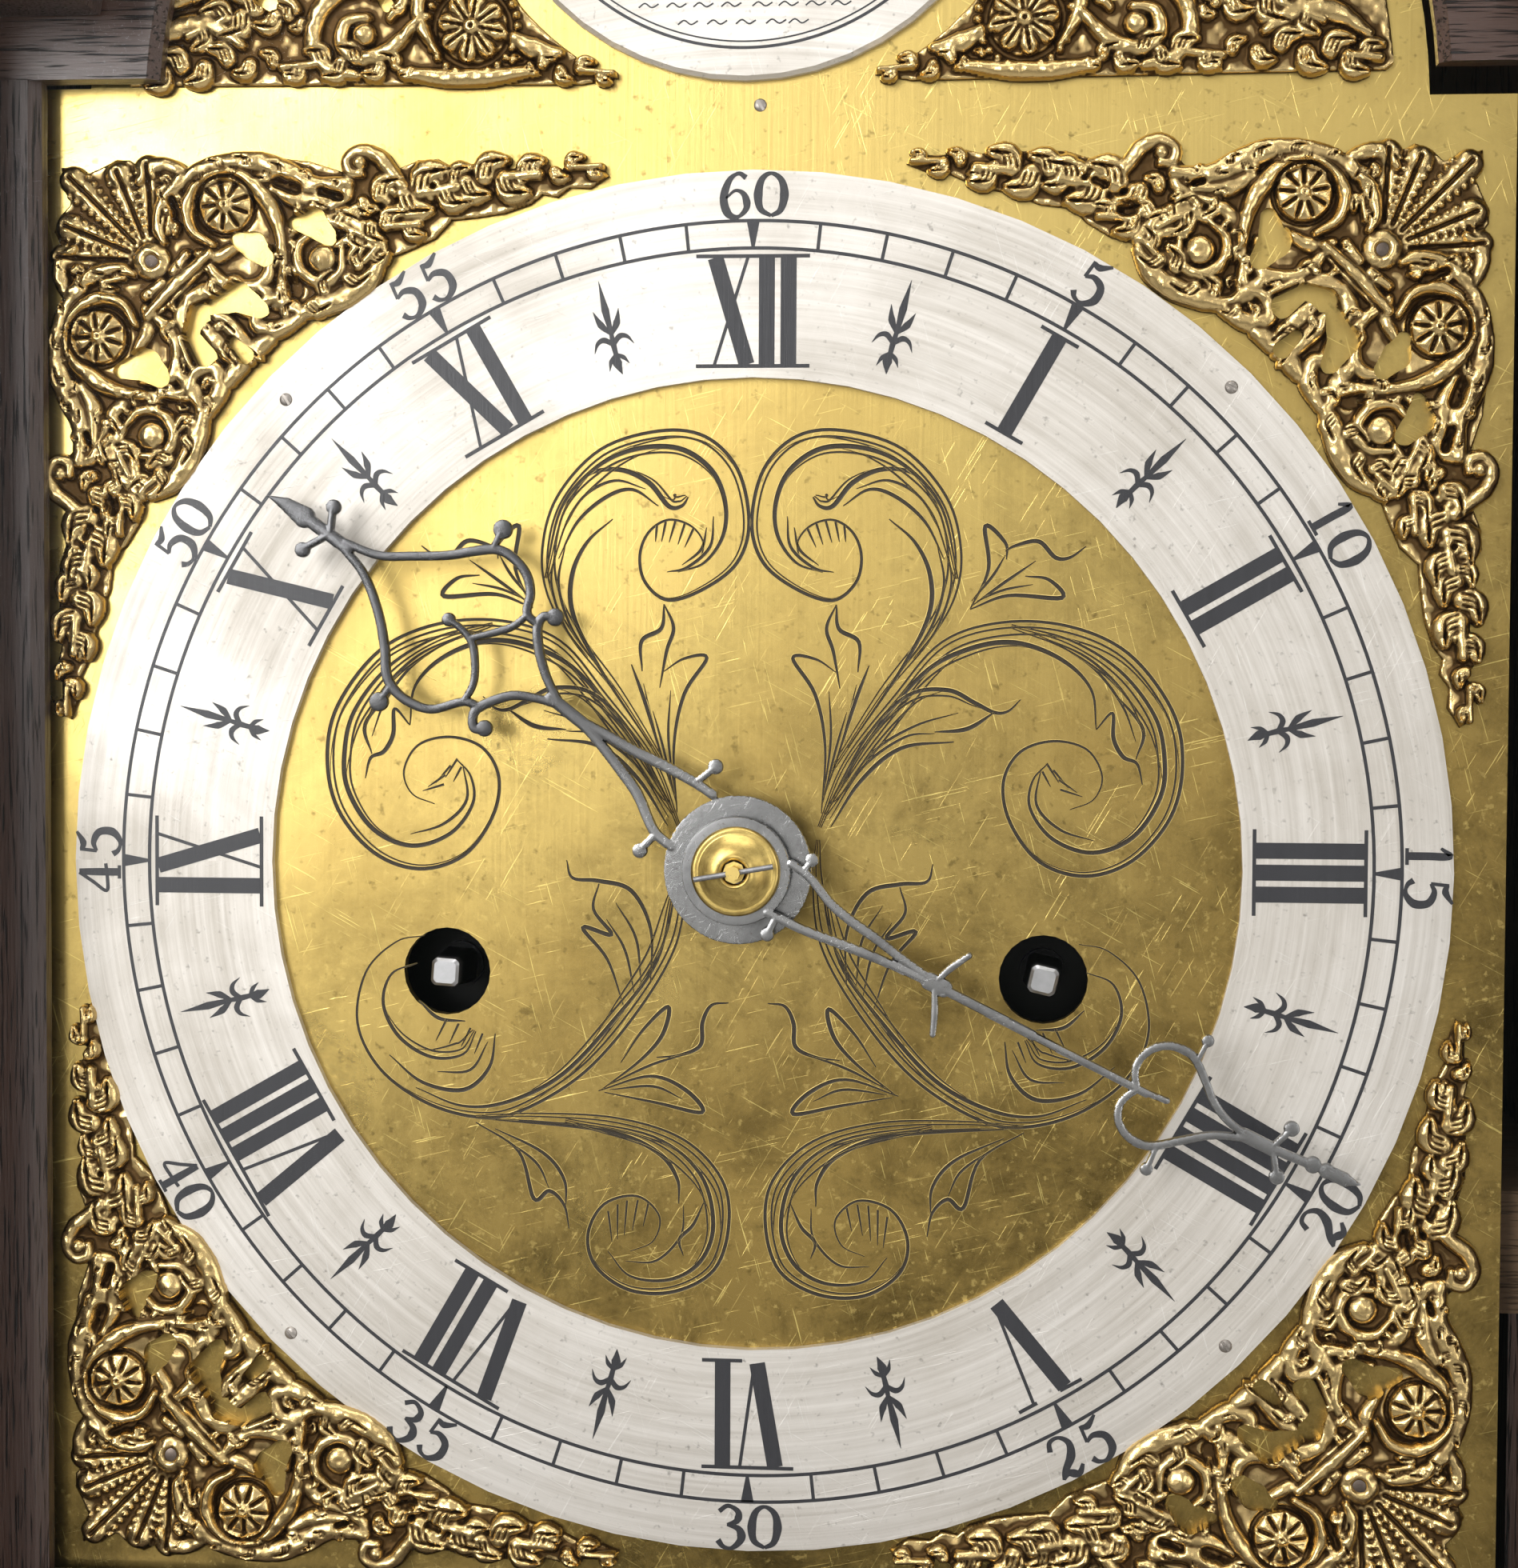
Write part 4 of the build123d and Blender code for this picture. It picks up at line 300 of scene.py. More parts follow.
def swell(count, start, middle, end):
    """Half widths that grow to the middle of a stroke and fall to its end."""
    t = np.linspace(0, 1, count)
    return start + (end - start) * t + (middle - (start + end) / 2) * np.sin(np.pi * t)


CROSSING_STEP = 0.004
CROSSING_LEVELS = 8
FLAT = ((-1, -0.01), (-1, 0.03), (1, 0.03), (1, -0.01))
CUT = ((-1, -0.01), (-0.72, 0.05), (-0.4, 0.012), (0.4, 0.012), (0.72, 0.05), (1, -0.01))


class Strips:
    """Flat or grooved strips laid along lines on the dial, gathered into one piece."""

    def __init__(self, section, origin, face):
        self.section = np.asarray(section, float)
        self.origin = origin
        self.face = face
        self.points = []
        self.faces = []
        self.uvs = []

    def add(self, line, half_widths, turn=0.0, at=(0.0, 0.0)):
        """Lay a strip along a line in millimetres, turned by degrees and moved."""
        line = np.asarray(line, float)
        half = np.broadcast_to(np.asarray(half_widths, float), (len(line),))
        ahead = np.gradient(line, axis=0)
        ahead /= np.maximum(np.linalg.norm(ahead, axis=1, keepdims=True), 1e-9)
        side = np.stack([-ahead[:, 1], ahead[:, 0]], 1)
        across = self.section[:, 0]
        spots = line[:, None, :] + side[:, None, :] * half[:, None, None] * across[None, :, None]
        level = len(self.points) % CROSSING_LEVELS * CROSSING_STEP
        lift = np.broadcast_to(self.section[:, 1] + level, spots.shape[:2])
        cosine, sine = towards(turn)
        x = self.origin[0] + (spots[..., 0] * cosine - spots[..., 1] * sine + at[0]) * MM
        z = self.origin[1] + (spots[..., 0] * sine + spots[..., 1] * cosine + at[1]) * MM
        first = sum(len(p) for p in self.points)
        count, width = spots.shape[:2]
        self.points.append(np.stack([x, self.face - lift * MM, z], -1).reshape(-1, 3))
        travelled = np.concatenate([[0], np.cumsum(np.linalg.norm(np.diff(line, axis=0), axis=1))])
        u = np.broadcast_to(travelled[:, None], (count, width))
        v = np.broadcast_to((across + 1) / 2, (count, width))
        self.uvs.append(np.stack([u, v], -1).reshape(-1, 2))
        for step in range(count - 1):
            row = first + step * width
            for column in range(width):
                after = (column + 1) % width
                self.faces.append((row + column, row + after, row + width + after, row + width + column))
        self.faces.append(tuple(first + column for column in reversed(range(width))))
        self.faces.append(tuple(first + (count - 1) * width + column for column in range(width)))

    def piece(self, name):
        """The strips as one object with its normals outwards."""
        made = make_object(name, np.vstack(self.points), self.faces, np.vstack(self.uvs))
        recalculate(made)
        return made


def recalculate(piece):
    """Turn the faces of a closed piece outwards."""
    work = bmesh.new()
    work.from_mesh(piece.data)
    bmesh.ops.recalc_face_normals(work, faces=work.faces)
    work.to_mesh(piece.data)
    work.free()


class Relief:
    """An ornament worked out as heights over a fine grid: outline, rounded strokes and cuts."""

    def __init__(self, low, high, step):
        self.step = step
        self.low = np.asarray(low, float)
        across = np.arange(low[0], high[0] + step, step)
        up = np.arange(low[1], high[1] + step, step)
        self.x, self.z = np.meshgrid(across, up)
        self.gap = np.full(self.x.shape, 9.0)
        self.height = np.zeros(self.x.shape)

    def near(self, line, half_widths):
        """The part of the grid round a stroke, with the distance to it and its half width there."""
        line = np.asarray(line, float)
        half = np.broadcast_to(np.asarray(half_widths, float), (len(line),))
        if len(line) == 1:
            line, half = line.repeat(2, 0), half.repeat(2)
        margin = half.max() + 4 * self.step
        first = np.maximum(((line.min(0) - margin - self.low) / self.step).astype(int), 0)
        last = ((line.max(0) + margin - self.low) / self.step).astype(int) + 2
        window = (slice(first[1], max(last[1], 0)), slice(first[0], max(last[0], 0)))
        x, z = self.x[window], self.z[window]
        nearest = np.full(x.shape, 99.0)
        width = np.full(x.shape, half[0])
        if not x.size:
            return window, nearest, width
        for a, b, wide_a, wide_b in zip(line, line[1:], half, half[1:]):
            run = b - a
            share = np.clip(((x - a[0]) * run[0] + (z - a[1]) * run[1]) / max(run @ run, 1e-9), 0, 1)
            distance = np.hypot(x - a[0] - share * run[0], z - a[1] - share * run[1])
            local = wide_a + (wide_b - wide_a) * share
            closer = distance - local < nearest - width
            nearest = np.where(closer, distance, nearest)
            width = np.where(closer, local, width)
        return window, nearest, width

    def stroke(self, line, half_widths, foot, crown):
        """A rounded stroke whose edge stands foot high and whose middle stands crown higher."""
        window, distance, width = self.near(line, half_widths)
        share = np.clip(distance / np.maximum(width, 1e-6), 0, 1)
        rise = np.where(distance < width, foot + crown * np.sqrt(1 - share**2), 0)
        self.height[window] = np.maximum(self.height[window], rise)
        self.gap[window] = np.minimum(self.gap[window], distance - width)

    def sheet(self, polygon, height):
        """A flat piece inside a closed line."""
        polygon = np.asarray(polygon, float)
        window, distance, _ = self.near(np.vstack([polygon, polygon[:1]]), self.step)
        x, z = self.x[window], self.z[window]
        inside = np.zeros(x.shape, bool)
        for a, b in zip(polygon, np.roll(polygon, -1, 0)):
            if a[1] != b[1]:
                crosses = (a[1] > z) != (b[1] > z)
                inside ^= crosses & (x < (b[0] - a[0]) * (z - a[1]) / (b[1] - a[1]) + a[0])
        self.gap[window] = np.minimum(self.gap[window], np.where(inside, -distance, distance))
        self.height[window] = np.where(inside, np.maximum(self.height[window], height), self.height[window])

    def groove(self, line, half_width, depth):
        """Press a rounded groove along a line."""
        window, distance, width = self.near(line, half_width)
        share = np.clip(distance / np.maximum(width, 1e-6), 0, 1)
        self.height[window] -= depth * (1 - share**2) ** 2

    def leaf(self, line, reach, pairs, foot, crown):
        """An acanthus leaf: a swelling rib with pairs of grooved lobes that lean towards its tip."""
        spine = through(line, 8)
        ahead = np.gradient(spine, axis=0)
        ahead /= np.linalg.norm(ahead, axis=1, keepdims=True)
        for number, share in enumerate(np.linspace(0.02, 0.88, pairs + 1)):
            spot = int(share * (len(spine) - 1))
            size = reach * (0.55 + 0.65 * math.sin(math.pi * (1 - share) ** 0.8 * 0.9 + 0.2))
            across = np.array([-ahead[spot, 1], ahead[spot, 0]]) * (1 if number % 2 else -1)
            root = spine[spot] + across * size * 0.10
            middle = spine[spot] + across * size * 0.58 + ahead[spot] * size * 0.20
            tip = spine[spot] + across * size * 0.66 + ahead[spot] * size * 0.85
            lobe = through([root, middle, tip], 4)
            self.stroke(lobe, size * swell(len(lobe), 0.42, 0.52, 0.24), foot, crown)
            for beside in (-0.24, 0.0, 0.22):
                self.groove(lobe + ahead[spot] * size * beside, size * 0.07, crown * 0.36)
        self.stroke(spine[-6:], reach * 0.3, foot, crown)

    def chase(self, size, amount, seed):
        """Uneven the surface a little, as a chasing hammer does."""
        rows, columns = self.height.shape
        cells = [int(count * self.step / size) + 3 for count in (rows, columns)]
        coarse = np.random.default_rng(seed).uniform(-1, 1, cells)
        down = np.arange(rows) * self.step / size
        across = np.arange(columns) * self.step / size
        low_row, low_column = down.astype(int)[:, None], across.astype(int)[None, :]
        v, u = (down % 1)[:, None], (across % 1)[None, :]
        top = coarse[low_row, low_column] * (1 - u) + coarse[low_row, low_column + 1] * u
        bottom = coarse[low_row + 1, low_column] * (1 - u) + coarse[low_row + 1, low_column + 1] * u
        self.height = self.height + amount * (top * (1 - v) + bottom * v)

    def opening(self, line, half_width):
        """Saw an opening along a line."""
        window, distance, width = self.near(line, half_width)
        self.gap[window] = np.maximum(self.gap[window], width - distance)

    def soften(self, times):
        """Blur the heights a little, as casting does."""
        for _ in range(times):
            h = np.pad(self.height, 1, mode="edge")
            self.height = (h[1:-1, 1:-1] * 4 + h[:-2, 1:-1] + h[2:, 1:-1] + h[1:-1, :-2] + h[1:-1, 2:]) / 8

    def hollow(self, reach):
        """How deep each point lies below its surroundings, from 0 to 1."""
        wide = self.height.copy()
        for _ in range(reach):
            h = np.pad(wide, 1, mode="edge")
            wide = (h[:-2, 1:-1] + h[2:, 1:-1] + h[1:-1, :-2] + h[1:-1, 2:]) / 4
        return np.clip(0.5 + (wide - self.height) / 0.5, 0, 1)

    def piece(self, name, place, base, back=True):
        """The ornament as an object: place turns grid points and lifts into metres."""
        columns = self.gap.shape[1]
        inside = self.gap < 0
        quads = inside[:-1, :-1] | inside[1:, :-1] | inside[:-1, 1:] | inside[1:, 1:]
        slope_z, slope_x = np.gradient(self.gap, self.step)
        steep = np.maximum(slope_x**2 + slope_z**2, 0.25)
        outside = np.where(self.gap > 0, np.minimum(self.gap, 1.5 * self.step), 0)
        x = self.x - outside * slope_x / steep
        z = self.z - outside * slope_z / steep
        lift = np.maximum(self.height, base)
        row, column = np.nonzero(quads)
        first = row * columns + column
        corners = np.stack([first, first + 1, first + columns + 1, first + columns], 1)
        used, renumbered = np.unique(corners, return_inverse=True)
        corners = renumbered.reshape(corners.shape)
        count = len(used)
        front = place(x.ravel()[used], z.ravel()[used], lift.ravel()[used])
        rear = place(x.ravel()[used], z.ravel()[used], np.zeros(count))
        edges = np.concatenate([corners[:, [side, (side + 1) % 4]] for side in range(4)])
        keys = edges[:, 0] * count + edges[:, 1]
        border = edges[~np.isin(edges[:, 1] * count + edges[:, 0], keys)]
        faces = [*corners.tolist()]
        faces += [(b, a, a + count, b + count) for a, b in border.tolist()]
        if back:
            faces += (corners[:, ::-1] + count).tolist()
        # How deep each point lies; the cast brass darkens by it, with dirt and with painted shade.
        shade = np.tile(self.hollow(12).ravel()[used], 2)
        made = make_object(name, np.vstack([front, rear]), faces, attributes={"hollow": shade})
        if not back:
            loose_points_away(made)
        return made


def loose_points_away(piece):
    """Take out points that no face uses."""
    work = bmesh.new()
    work.from_mesh(piece.data)
    bmesh.ops.delete(work, geom=[v for v in work.verts if not v.link_faces], context="VERTS")
    work.to_mesh(piece.data)
    work.free()


def on_dial(origin, face, turn=0.0, flip=False):
    """A function that puts an ornament's points on the dial, in metres."""
    cosine, sine = towards(turn)

    def place(x, z, lift):
        x = -x if flip else x
        across = origin[0] + (x * cosine - z * sine) * MM
        up = origin[1] + (x * sine + z * cosine) * MM
        return np.stack([across, face - lift * MM, up], 1)

    return place


# Materials


def add_node(tree, kind, links=None, **settings):
    """Add a node, set its settings, and set or link its inputs by name or number."""
    made = tree.nodes.new(kind)
    for key, value in settings.items():
        setattr(made, key, value)
    for key, value in (links or {}).items():
        socket = made.inputs[key]
        if isinstance(value, bpy.types.NodeSocket):
            tree.links.new(value, socket)
        else:
            socket.default_value = value
    return made


def new_group(name, inputs, outputs):
    """An empty shader node group with named sockets: (name, kind, default)."""
    group = bpy.data.node_groups.new(name, "ShaderNodeTree")
    for label, kind, default in inputs:
        socket = group.interface.new_socket(label, in_out="INPUT", socket_type="NodeSocket" + kind)
        if default is not None:
            socket.default_value = default
    for label, kind in outputs:
        group.interface.new_socket(label, in_out="OUTPUT", socket_type="NodeSocket" + kind)
    return group, group.nodes.new("NodeGroupInput").outputs, group.nodes.new("NodeGroupOutput").inputs


def math_node(tree, operation, *values, clamp=False):
    """The output of a Math node."""
    made = add_node(tree, "ShaderNodeMath", dict(enumerate(values)), operation=operation, use_clamp=clamp)
    return made.outputs[0]


def times(tree, first, second):
    """Two values multiplied."""
    return math_node(tree, "MULTIPLY", first, second)


def plus(tree, first, second):
    """Two values added."""
    return math_node(tree, "ADD", first, second)


def noise(tree, vector, scale, detail=4.0, roughness=0.55, distortion=0.0):
    """The value of a Noise Texture."""
    links = {"Vector": vector, "Scale": scale, "Detail": detail, "Roughness": roughness}
    return add_node(tree, "ShaderNodeTexNoise", {**links, "Distortion": distortion}).outputs[0]


def stretched(tree, vector, scale):
    """Coordinates scaled along each axis."""
    return add_node(tree, "ShaderNodeMapping", {"Vector": vector, "Scale": scale}).outputs[0]


def remap(tree, value, low, high, to_low=0.0, to_high=1.0):
    """A value moved from one range to another and held inside it."""
    links = {"Value": value, "From Min": low, "From Max": high, "To Min": to_low, "To Max": to_high}
    return add_node(tree, "ShaderNodeMapRange", links).outputs[0]


def axes(tree, vector):
    """The three axes of a vector, each as a value."""
    return add_node(tree, "ShaderNodeSeparateXYZ", {0: vector}).outputs


def mix_colour(tree, share, first, second):
    """Two colours mixed."""
    made = tree.nodes.new("ShaderNodeMix")
    made.data_type = "RGBA"
    for socket, value in ((made.inputs[0], share), (made.inputs[6], first), (made.inputs[7], second)):
        if isinstance(value, bpy.types.NodeSocket):
            tree.links.new(value, socket)
        else:
            socket.default_value = (*value[:3], 1.0)
    return made.outputs[2]


def scaled(colour, factor):
    """A colour made lighter or darker, held at full strength."""
    return [min(c * factor, 1) for c in colour]


def oak_grain_group():
    """Oak grain along Z with its open pores."""
    group, given, out = new_group(
        "Oak grain",
        [("Vector", "Vector", None), ("Band", "Float", 55.0), ("Pores", "Float", 900.0)],
        [("Tone", "Float"), ("Pore", "Float"), ("Height", "Float")],
    )
    drift = noise(group, stretched(group, given["Vector"], (1, 1, 0.05)), 9.0, 3.0)
    long_grain = stretched(group, given["Vector"], (1, 1, 0.035))
    bands = noise(group, long_grain, given["Band"], 6.0, 0.62, 0.6)
    fine = noise(group, long_grain, given["Pores"], 3.0, 0.6)
    tone = plus(group, times(group, bands, 0.75), times(group, drift, 0.35))
    dashes = noise(group, stretched(group, given["Vector"], (1, 1, 0.04)), given["Pores"], 2.0)
    pore = remap(group, dashes, 0.56, 0.63)
    group.links.new(remap(group, tone, 0.36, 0.74), out["Tone"])
    group.links.new(pore, out["Pore"])
    group.links.new(math_node(group, "SUBTRACT", times(group, fine, 0.5), pore), out["Height"])


def tarnish_group():
    """Clouds and specks of tarnish."""
    group, given, out = new_group(
        "Tarnish",
        [("Vector", "Vector", None), ("Size", "Float", 30.0)],
        [("Cloud", "Float"), ("Speck", "Float")],
    )
    cloud = noise(group, given["Vector"], given["Size"], 7.0, 0.62, 0.4)
    speck = noise(group, given["Vector"], times(group, given["Size"], 24.0), 2.0, 0.7)
    group.links.new(remap(group, cloud, 0.36, 0.66), out["Cloud"])
    group.links.new(remap(group, speck, 0.62, 0.76), out["Speck"])


def brushed_lines_group():
    """Lines brushed along Z."""
    group, given, out = new_group(
        "Brushed lines",
        [("Vector", "Vector", None), ("Fineness", "Float", 1500.0)],
        [("Tone", "Float"), ("Height", "Float")],
    )
    brushed = noise(group, stretched(group, given["Vector"], (1, 1, 0.02)), given["Fineness"], 3.0, 0.7)
    broad = noise(group, stretched(group, given["Vector"], (1, 1, 0.03)), 260.0, 3.0, 0.6)
    group.links.new(plus(group, times(group, brushed, 0.5), times(group, broad, 0.5)), out["Tone"])
    group.links.new(brushed, out["Height"])


def turned_grain_group():
    """Lines turned round the Y axis."""
    group, given, out = new_group(
        "Turned grain",
        [("Vector", "Vector", None), ("Fineness", "Float", 1400.0)],
        [("Tone", "Float"), ("Height", "Float")],
    )
    x, _, z = axes(group, given["Vector"])
    radius = math_node(group, "SQRT", plus(group, times(group, x, x), times(group, z, z)))
    travelled = times(group, math_node(group, "ARCTAN2", z, x), 0.0016)
    polar = add_node(group, "ShaderNodeCombineXYZ", {0: radius, 1: travelled, 2: 0.0}).outputs[0]
    ring_lines = noise(group, polar, given["Fineness"], 4.0, 0.75)
    broad = noise(group, polar, times(group, given["Fineness"], 0.3), 3.0, 0.7)
    group.links.new(ring_lines, out["Height"])
    both = times(group, plus(group, ring_lines, broad), 0.5)
    group.links.new(remap(group, both, 0.38, 0.62), out["Tone"])


SCRATCH_TURNS = (0.5, 1.3, 2.1, 2.9)


def scratches_group():
    """Patches of fine scratches that run several ways across the dial."""
    group, given, out = new_group(
        "Scratches",
        [("Vector", "Vector", None), ("Size", "Float", 60.0)],
        [("Mask", "Float")],
    )
    total = None
    for turn in SCRATCH_TURNS:
        links = {"Vector": given["Vector"], "Rotation": (0.0, turn, 0.0), "Scale": (40.0, 1.0, 1.0)}
        turned = add_node(group, "ShaderNodeMapping", links, vector_type="TEXTURE").outputs[0]
        line = remap(group, noise(group, turned, times(group, given["Size"], 75.0), 1.0), 0.70, 0.73)
        patch = remap(group, noise(group, turned, times(group, given["Size"], 3.0), 2.0), 0.48, 0.60)
        both = times(group, line, patch)
        total = both if total is None else math_node(group, "MAXIMUM", total, both)
    group.links.new(total, out["Mask"])


def use_group(tree, name, **values):
    """A shared effect placed in a material with its own values."""
    made = tree.nodes.new("ShaderNodeGroup")
    made.node_tree = bpy.data.node_groups[name]
    for key, value in values.items():
        if isinstance(value, bpy.types.NodeSocket):
            tree.links.new(value, made.inputs[key])
        else:
            made.inputs[key].default_value = value
    return made.outputs


def new_material(name, **constants):
    """A material with its shader's constants set; returns its tree, shader and object coordinates."""
    made = bpy.data.materials.new(name)
    made.use_nodes = True
    tree = made.node_tree
    shader = tree.nodes["Principled BSDF"]
    for key, value in constants.items():
        shader.inputs[key.replace("_", " ")].default_value = value
    place = tree.nodes.new("ShaderNodeTexCoord").outputs["Object"]
    return tree, shader, place


def bump(tree, shader, height, strength, distance):
    """Feed a height to a shader's normal."""
    links = {"Height": height, "Strength": strength, "Distance": distance}
    tree.links.new(add_node(tree, "ShaderNodeBump", links).outputs[0], shader.inputs["Normal"])


def oak_material(name, light, dark, turn, roughness, coat, open_grain):
    """Oak whose grain runs along an axis."""
    tree, shader, place = new_material(name, Coat_Roughness=0.34)
    vector = add_node(tree, "ShaderNodeMapping", {"Vector": place, "Rotation": turn}).outputs[0]
    grain = use_group(tree, "Oak grain", Vector=vector, Band=70.0, Pores=2300.0)
    base = mix_colour(tree, grain["Tone"], dark, light)
    pored = mix_colour(tree, times(tree, grain["Pore"], open_grain), base, scaled(dark, 0.12))
    tree.links.new(pored, shader.inputs["Base Color"])
    tree.links.new(remap(tree, grain["Pore"], 0, 1, coat, 0.0), shader.inputs["Coat Weight"])
    gloss = remap(tree, grain["Tone"], 0, 1, roughness + 0.08, roughness - 0.06)
    tree.links.new(gloss, shader.inputs["Roughness"])
    bump(tree, shader, grain["Height"], 0.9, 0.0004)


def brass_material(
    name, bright, dull, finish, roughness, cloud_size, dark_share,
    centre=(0, 0, 0), shade_towards_foot=0.0, lined=0.25, worn=0.7,
):
    """Brass with tarnish, scratches and a brushed or turned finish; it may also take a painted shade that darkens it
    towards its foot and its right side, with tarnish blotches gathered there.
    """
    tree, shader, place = new_material(name, Metallic=1.0)
    centred = {"Vector": place, "Location": [-c for c in centre]}
    vector = add_node(tree, "ShaderNodeMapping", centred).outputs[0]
    tarnish = use_group(tree, "Tarnish", Vector=vector, Size=cloud_size)
    lines = use_group(tree, finish, Vector=vector)
    scratches = use_group(tree, "Scratches", Vector=vector)
    share = plus(tree, times(tree, tarnish["Cloud"], dark_share), times(tree, lines["Tone"], lined))
    # Painted shade: the brass grows darker towards its foot and its right side, as the light falls away from the upper
    # left.
    if shade_towards_foot:
        x, _, z = axes(tree, vector)
        slope = plus(tree, z, times(tree, x, -0.45))
        wander = times(tree, math_node(tree, "SUBTRACT", tarnish["Cloud"], 0.5), 0.035)
        painted_foot_shade = remap(tree, plus(tree, slope, wander), 0.07, -0.08)
        share = plus(tree, share, times(tree, painted_foot_shade, shade_towards_foot))
    share = math_node(tree, "ADD", share, 0.0, clamp=True)
    colour = mix_colour(tree, share, bright, dull)
    colour = mix_colour(tree, times(tree, tarnish["Speck"], 0.55), colour, scaled(dull, 0.3))
    colour = mix_colour(tree, times(tree, scratches["Mask"], worn), colour, scaled(bright, 1.35))
    # Dark blotches of tarnish and pale grains, gathered mostly in the painted shade, where the blotches deepen it.
    if shade_towards_foot:
        mottle = remap(tree, noise(tree, vector, 55.0, 10.0, 0.80, 0.3), 0.44, 0.64)
        mottle = times(tree, mottle, plus(tree, times(tree, painted_foot_shade, 0.80), 0.08))
        colour = mix_colour(tree, mottle, colour, scaled(dull, 0.30))
        grains = remap(tree, noise(tree, vector, 850.0, 3.0, 0.6), 0.60, 0.70)
        grains = times(tree, grains, times(tree, painted_foot_shade, 0.55))
        colour = mix_colour(tree, grains, colour, scaled(bright, 0.9))
    tree.links.new(colour, shader.inputs["Base Color"])
    clouded = remap(tree, tarnish["Cloud"], 0, 1, roughness, roughness + 0.14)
    tree.links.new(clouded, shader.inputs["Roughness"])
    bump(tree, shader, plus(tree, lines["Height"], scratches["Mask"]), 0.35, 0.00004)
    return shader


def wax_material(wax):
    """Black wax with the file marks that show through it."""
    tree, shader, place = new_material("black wax", Roughness=0.36, Specular_IOR_Level=0.5)
    hatch = use_group(tree, "Brushed lines", Vector=place, Fineness=2600.0)
    tree.links.new(mix_colour(tree, hatch["Tone"], wax, (0.045, 0.045, 0.052)), shader.inputs["Base Color"])
    bump(tree, shader, hatch["Height"], 0.5, 0.00005)


def cut_material(brass):
    """An engraved cut: painted shade of the groove along its middle, and brass lightened at its rims as a painted
    highlight on the cut edges.
    """
    tree, shader, place = new_material("engraved cut", Metallic=0.35, Roughness=0.5)
    across = axes(tree, tree.nodes["Texture Coordinate"].outputs["UV"])[1]
    from_middle = math_node(tree, "ABSOLUTE", math_node(tree, "SUBTRACT", across, 0.5))
    # Painted highlight: the rims lightened up to a quarter above the plate's brass.
    rim = mix_colour(tree, noise(tree, place, 900.0, 3.0), brass, scaled(brass, 1.25))
    # Painted shade: the middle of the cut made dark, as shade deep in a groove.
    tone = mix_colour(tree, remap(tree, from_middle, 0.36, 0.45), (0.030, 0.022, 0.012), rim)
    tree.links.new(tone, shader.inputs["Base Color"])


def steel_material(name, base, rough, painted_far_shade=None):
    """Polished steel with specks of rust; given a far colour, it also takes a painted shade that darkens it towards
    that colour away from the hands' axis.
    """
    tree, shader, place = new_material(name, Metallic=1.0)
    tarnish = use_group(tree, "Tarnish", Vector=place, Size=90.0)
    scratches = use_group(tree, "Scratches", Vector=place, Size=150.0)
    tone = mix_colour(tree, tarnish["Cloud"], scaled(base, 1.3), scaled(base, 0.55))
    tone = mix_colour(tree, times(tree, tarnish["Speck"], 0.6), tone, (0.10, 0.07, 0.05))
    tone = mix_colour(tree, times(tree, scratches["Mask"], 0.6), tone, scaled(base, 1.9))
    # Painted shade: darker away from the hands' axis, for a hand that lies where the light catches it less.
    if painted_far_shade:
        flat = {"Vector": place, "Location": (-HAND_X, 0, -RING_Z), "Scale": (1, 0, 1)}
        middle = add_node(tree, "ShaderNodeMapping", flat).outputs[0]
        away = add_node(tree, "ShaderNodeVectorMath", {0: middle}, operation="LENGTH").outputs["Value"]
        tone = mix_colour(tree, remap(tree, away, 12 * MM, 40 * MM), tone, painted_far_shade)
    tree.links.new(tone, shader.inputs["Base Color"])
    tree.links.new(remap(tree, tarnish["Cloud"], 0, 1, rough, rough + 0.16), shader.inputs["Roughness"])
    bump(tree, shader, plus(tree, tarnish["Cloud"], scratches["Mask"]), 0.3, 0.00005)


def winding_steel_material():
    """Steel that the key keeps bright at its tip, painted black behind it as the shade deep in the winding hole."""
    tree, shader, place = new_material("winding steel", Metallic=1.0, Roughness=0.34)
    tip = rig.box("going_winding_arbor")[0].y
    # Painted shade: black from just behind the tip, where the arbor lies deep in the dark winding hole.
    painted_hole_shade = remap(tree, axes(tree, place)[1], tip + 1.2 * MM, tip + 3.0 * MM)
    bright = mix_colour(tree, noise(tree, place, 700.0, 4.0, 0.6), (0.34, 0.34, 0.34), (0.56, 0.56, 0.57))
    tree.links.new(mix_colour(tree, painted_hole_shade, bright, (0.008, 0.008, 0.008)), shader.inputs["Base Color"])


def cast_brass_material(bright, dark):
    """Cast brass with dirt and old lacquer in its hollows, darkened there further by painted shade."""
    tree, shader, place = new_material("cast brass", Metallic=1.0)
    hollow = add_node(tree, "ShaderNodeAttribute", attribute_name="hollow").outputs["Fac"]
    tarnish = use_group(tree, "Tarnish", Vector=place, Size=120.0)
    # The hollows darken with dirt and old lacquer, and with painted shade, as ambient occlusion would darken them.
    depth = plus(tree, hollow, times(tree, tarnish["Cloud"], 0.16))
    share = remap(tree, depth, 0.40, 0.74)
    tone = mix_colour(tree, share, bright, dark)
    tone = mix_colour(tree, times(tree, tarnish["Speck"], 0.5), tone, dark)
    tree.links.new(tone, shader.inputs["Base Color"])
    tree.links.new(remap(tree, share, 0, 1, 0.24, 0.55), shader.inputs["Roughness"])
    bump(tree, shader, noise(tree, place, 1300.0, 4.0, 0.65), 0.35, 0.0002)


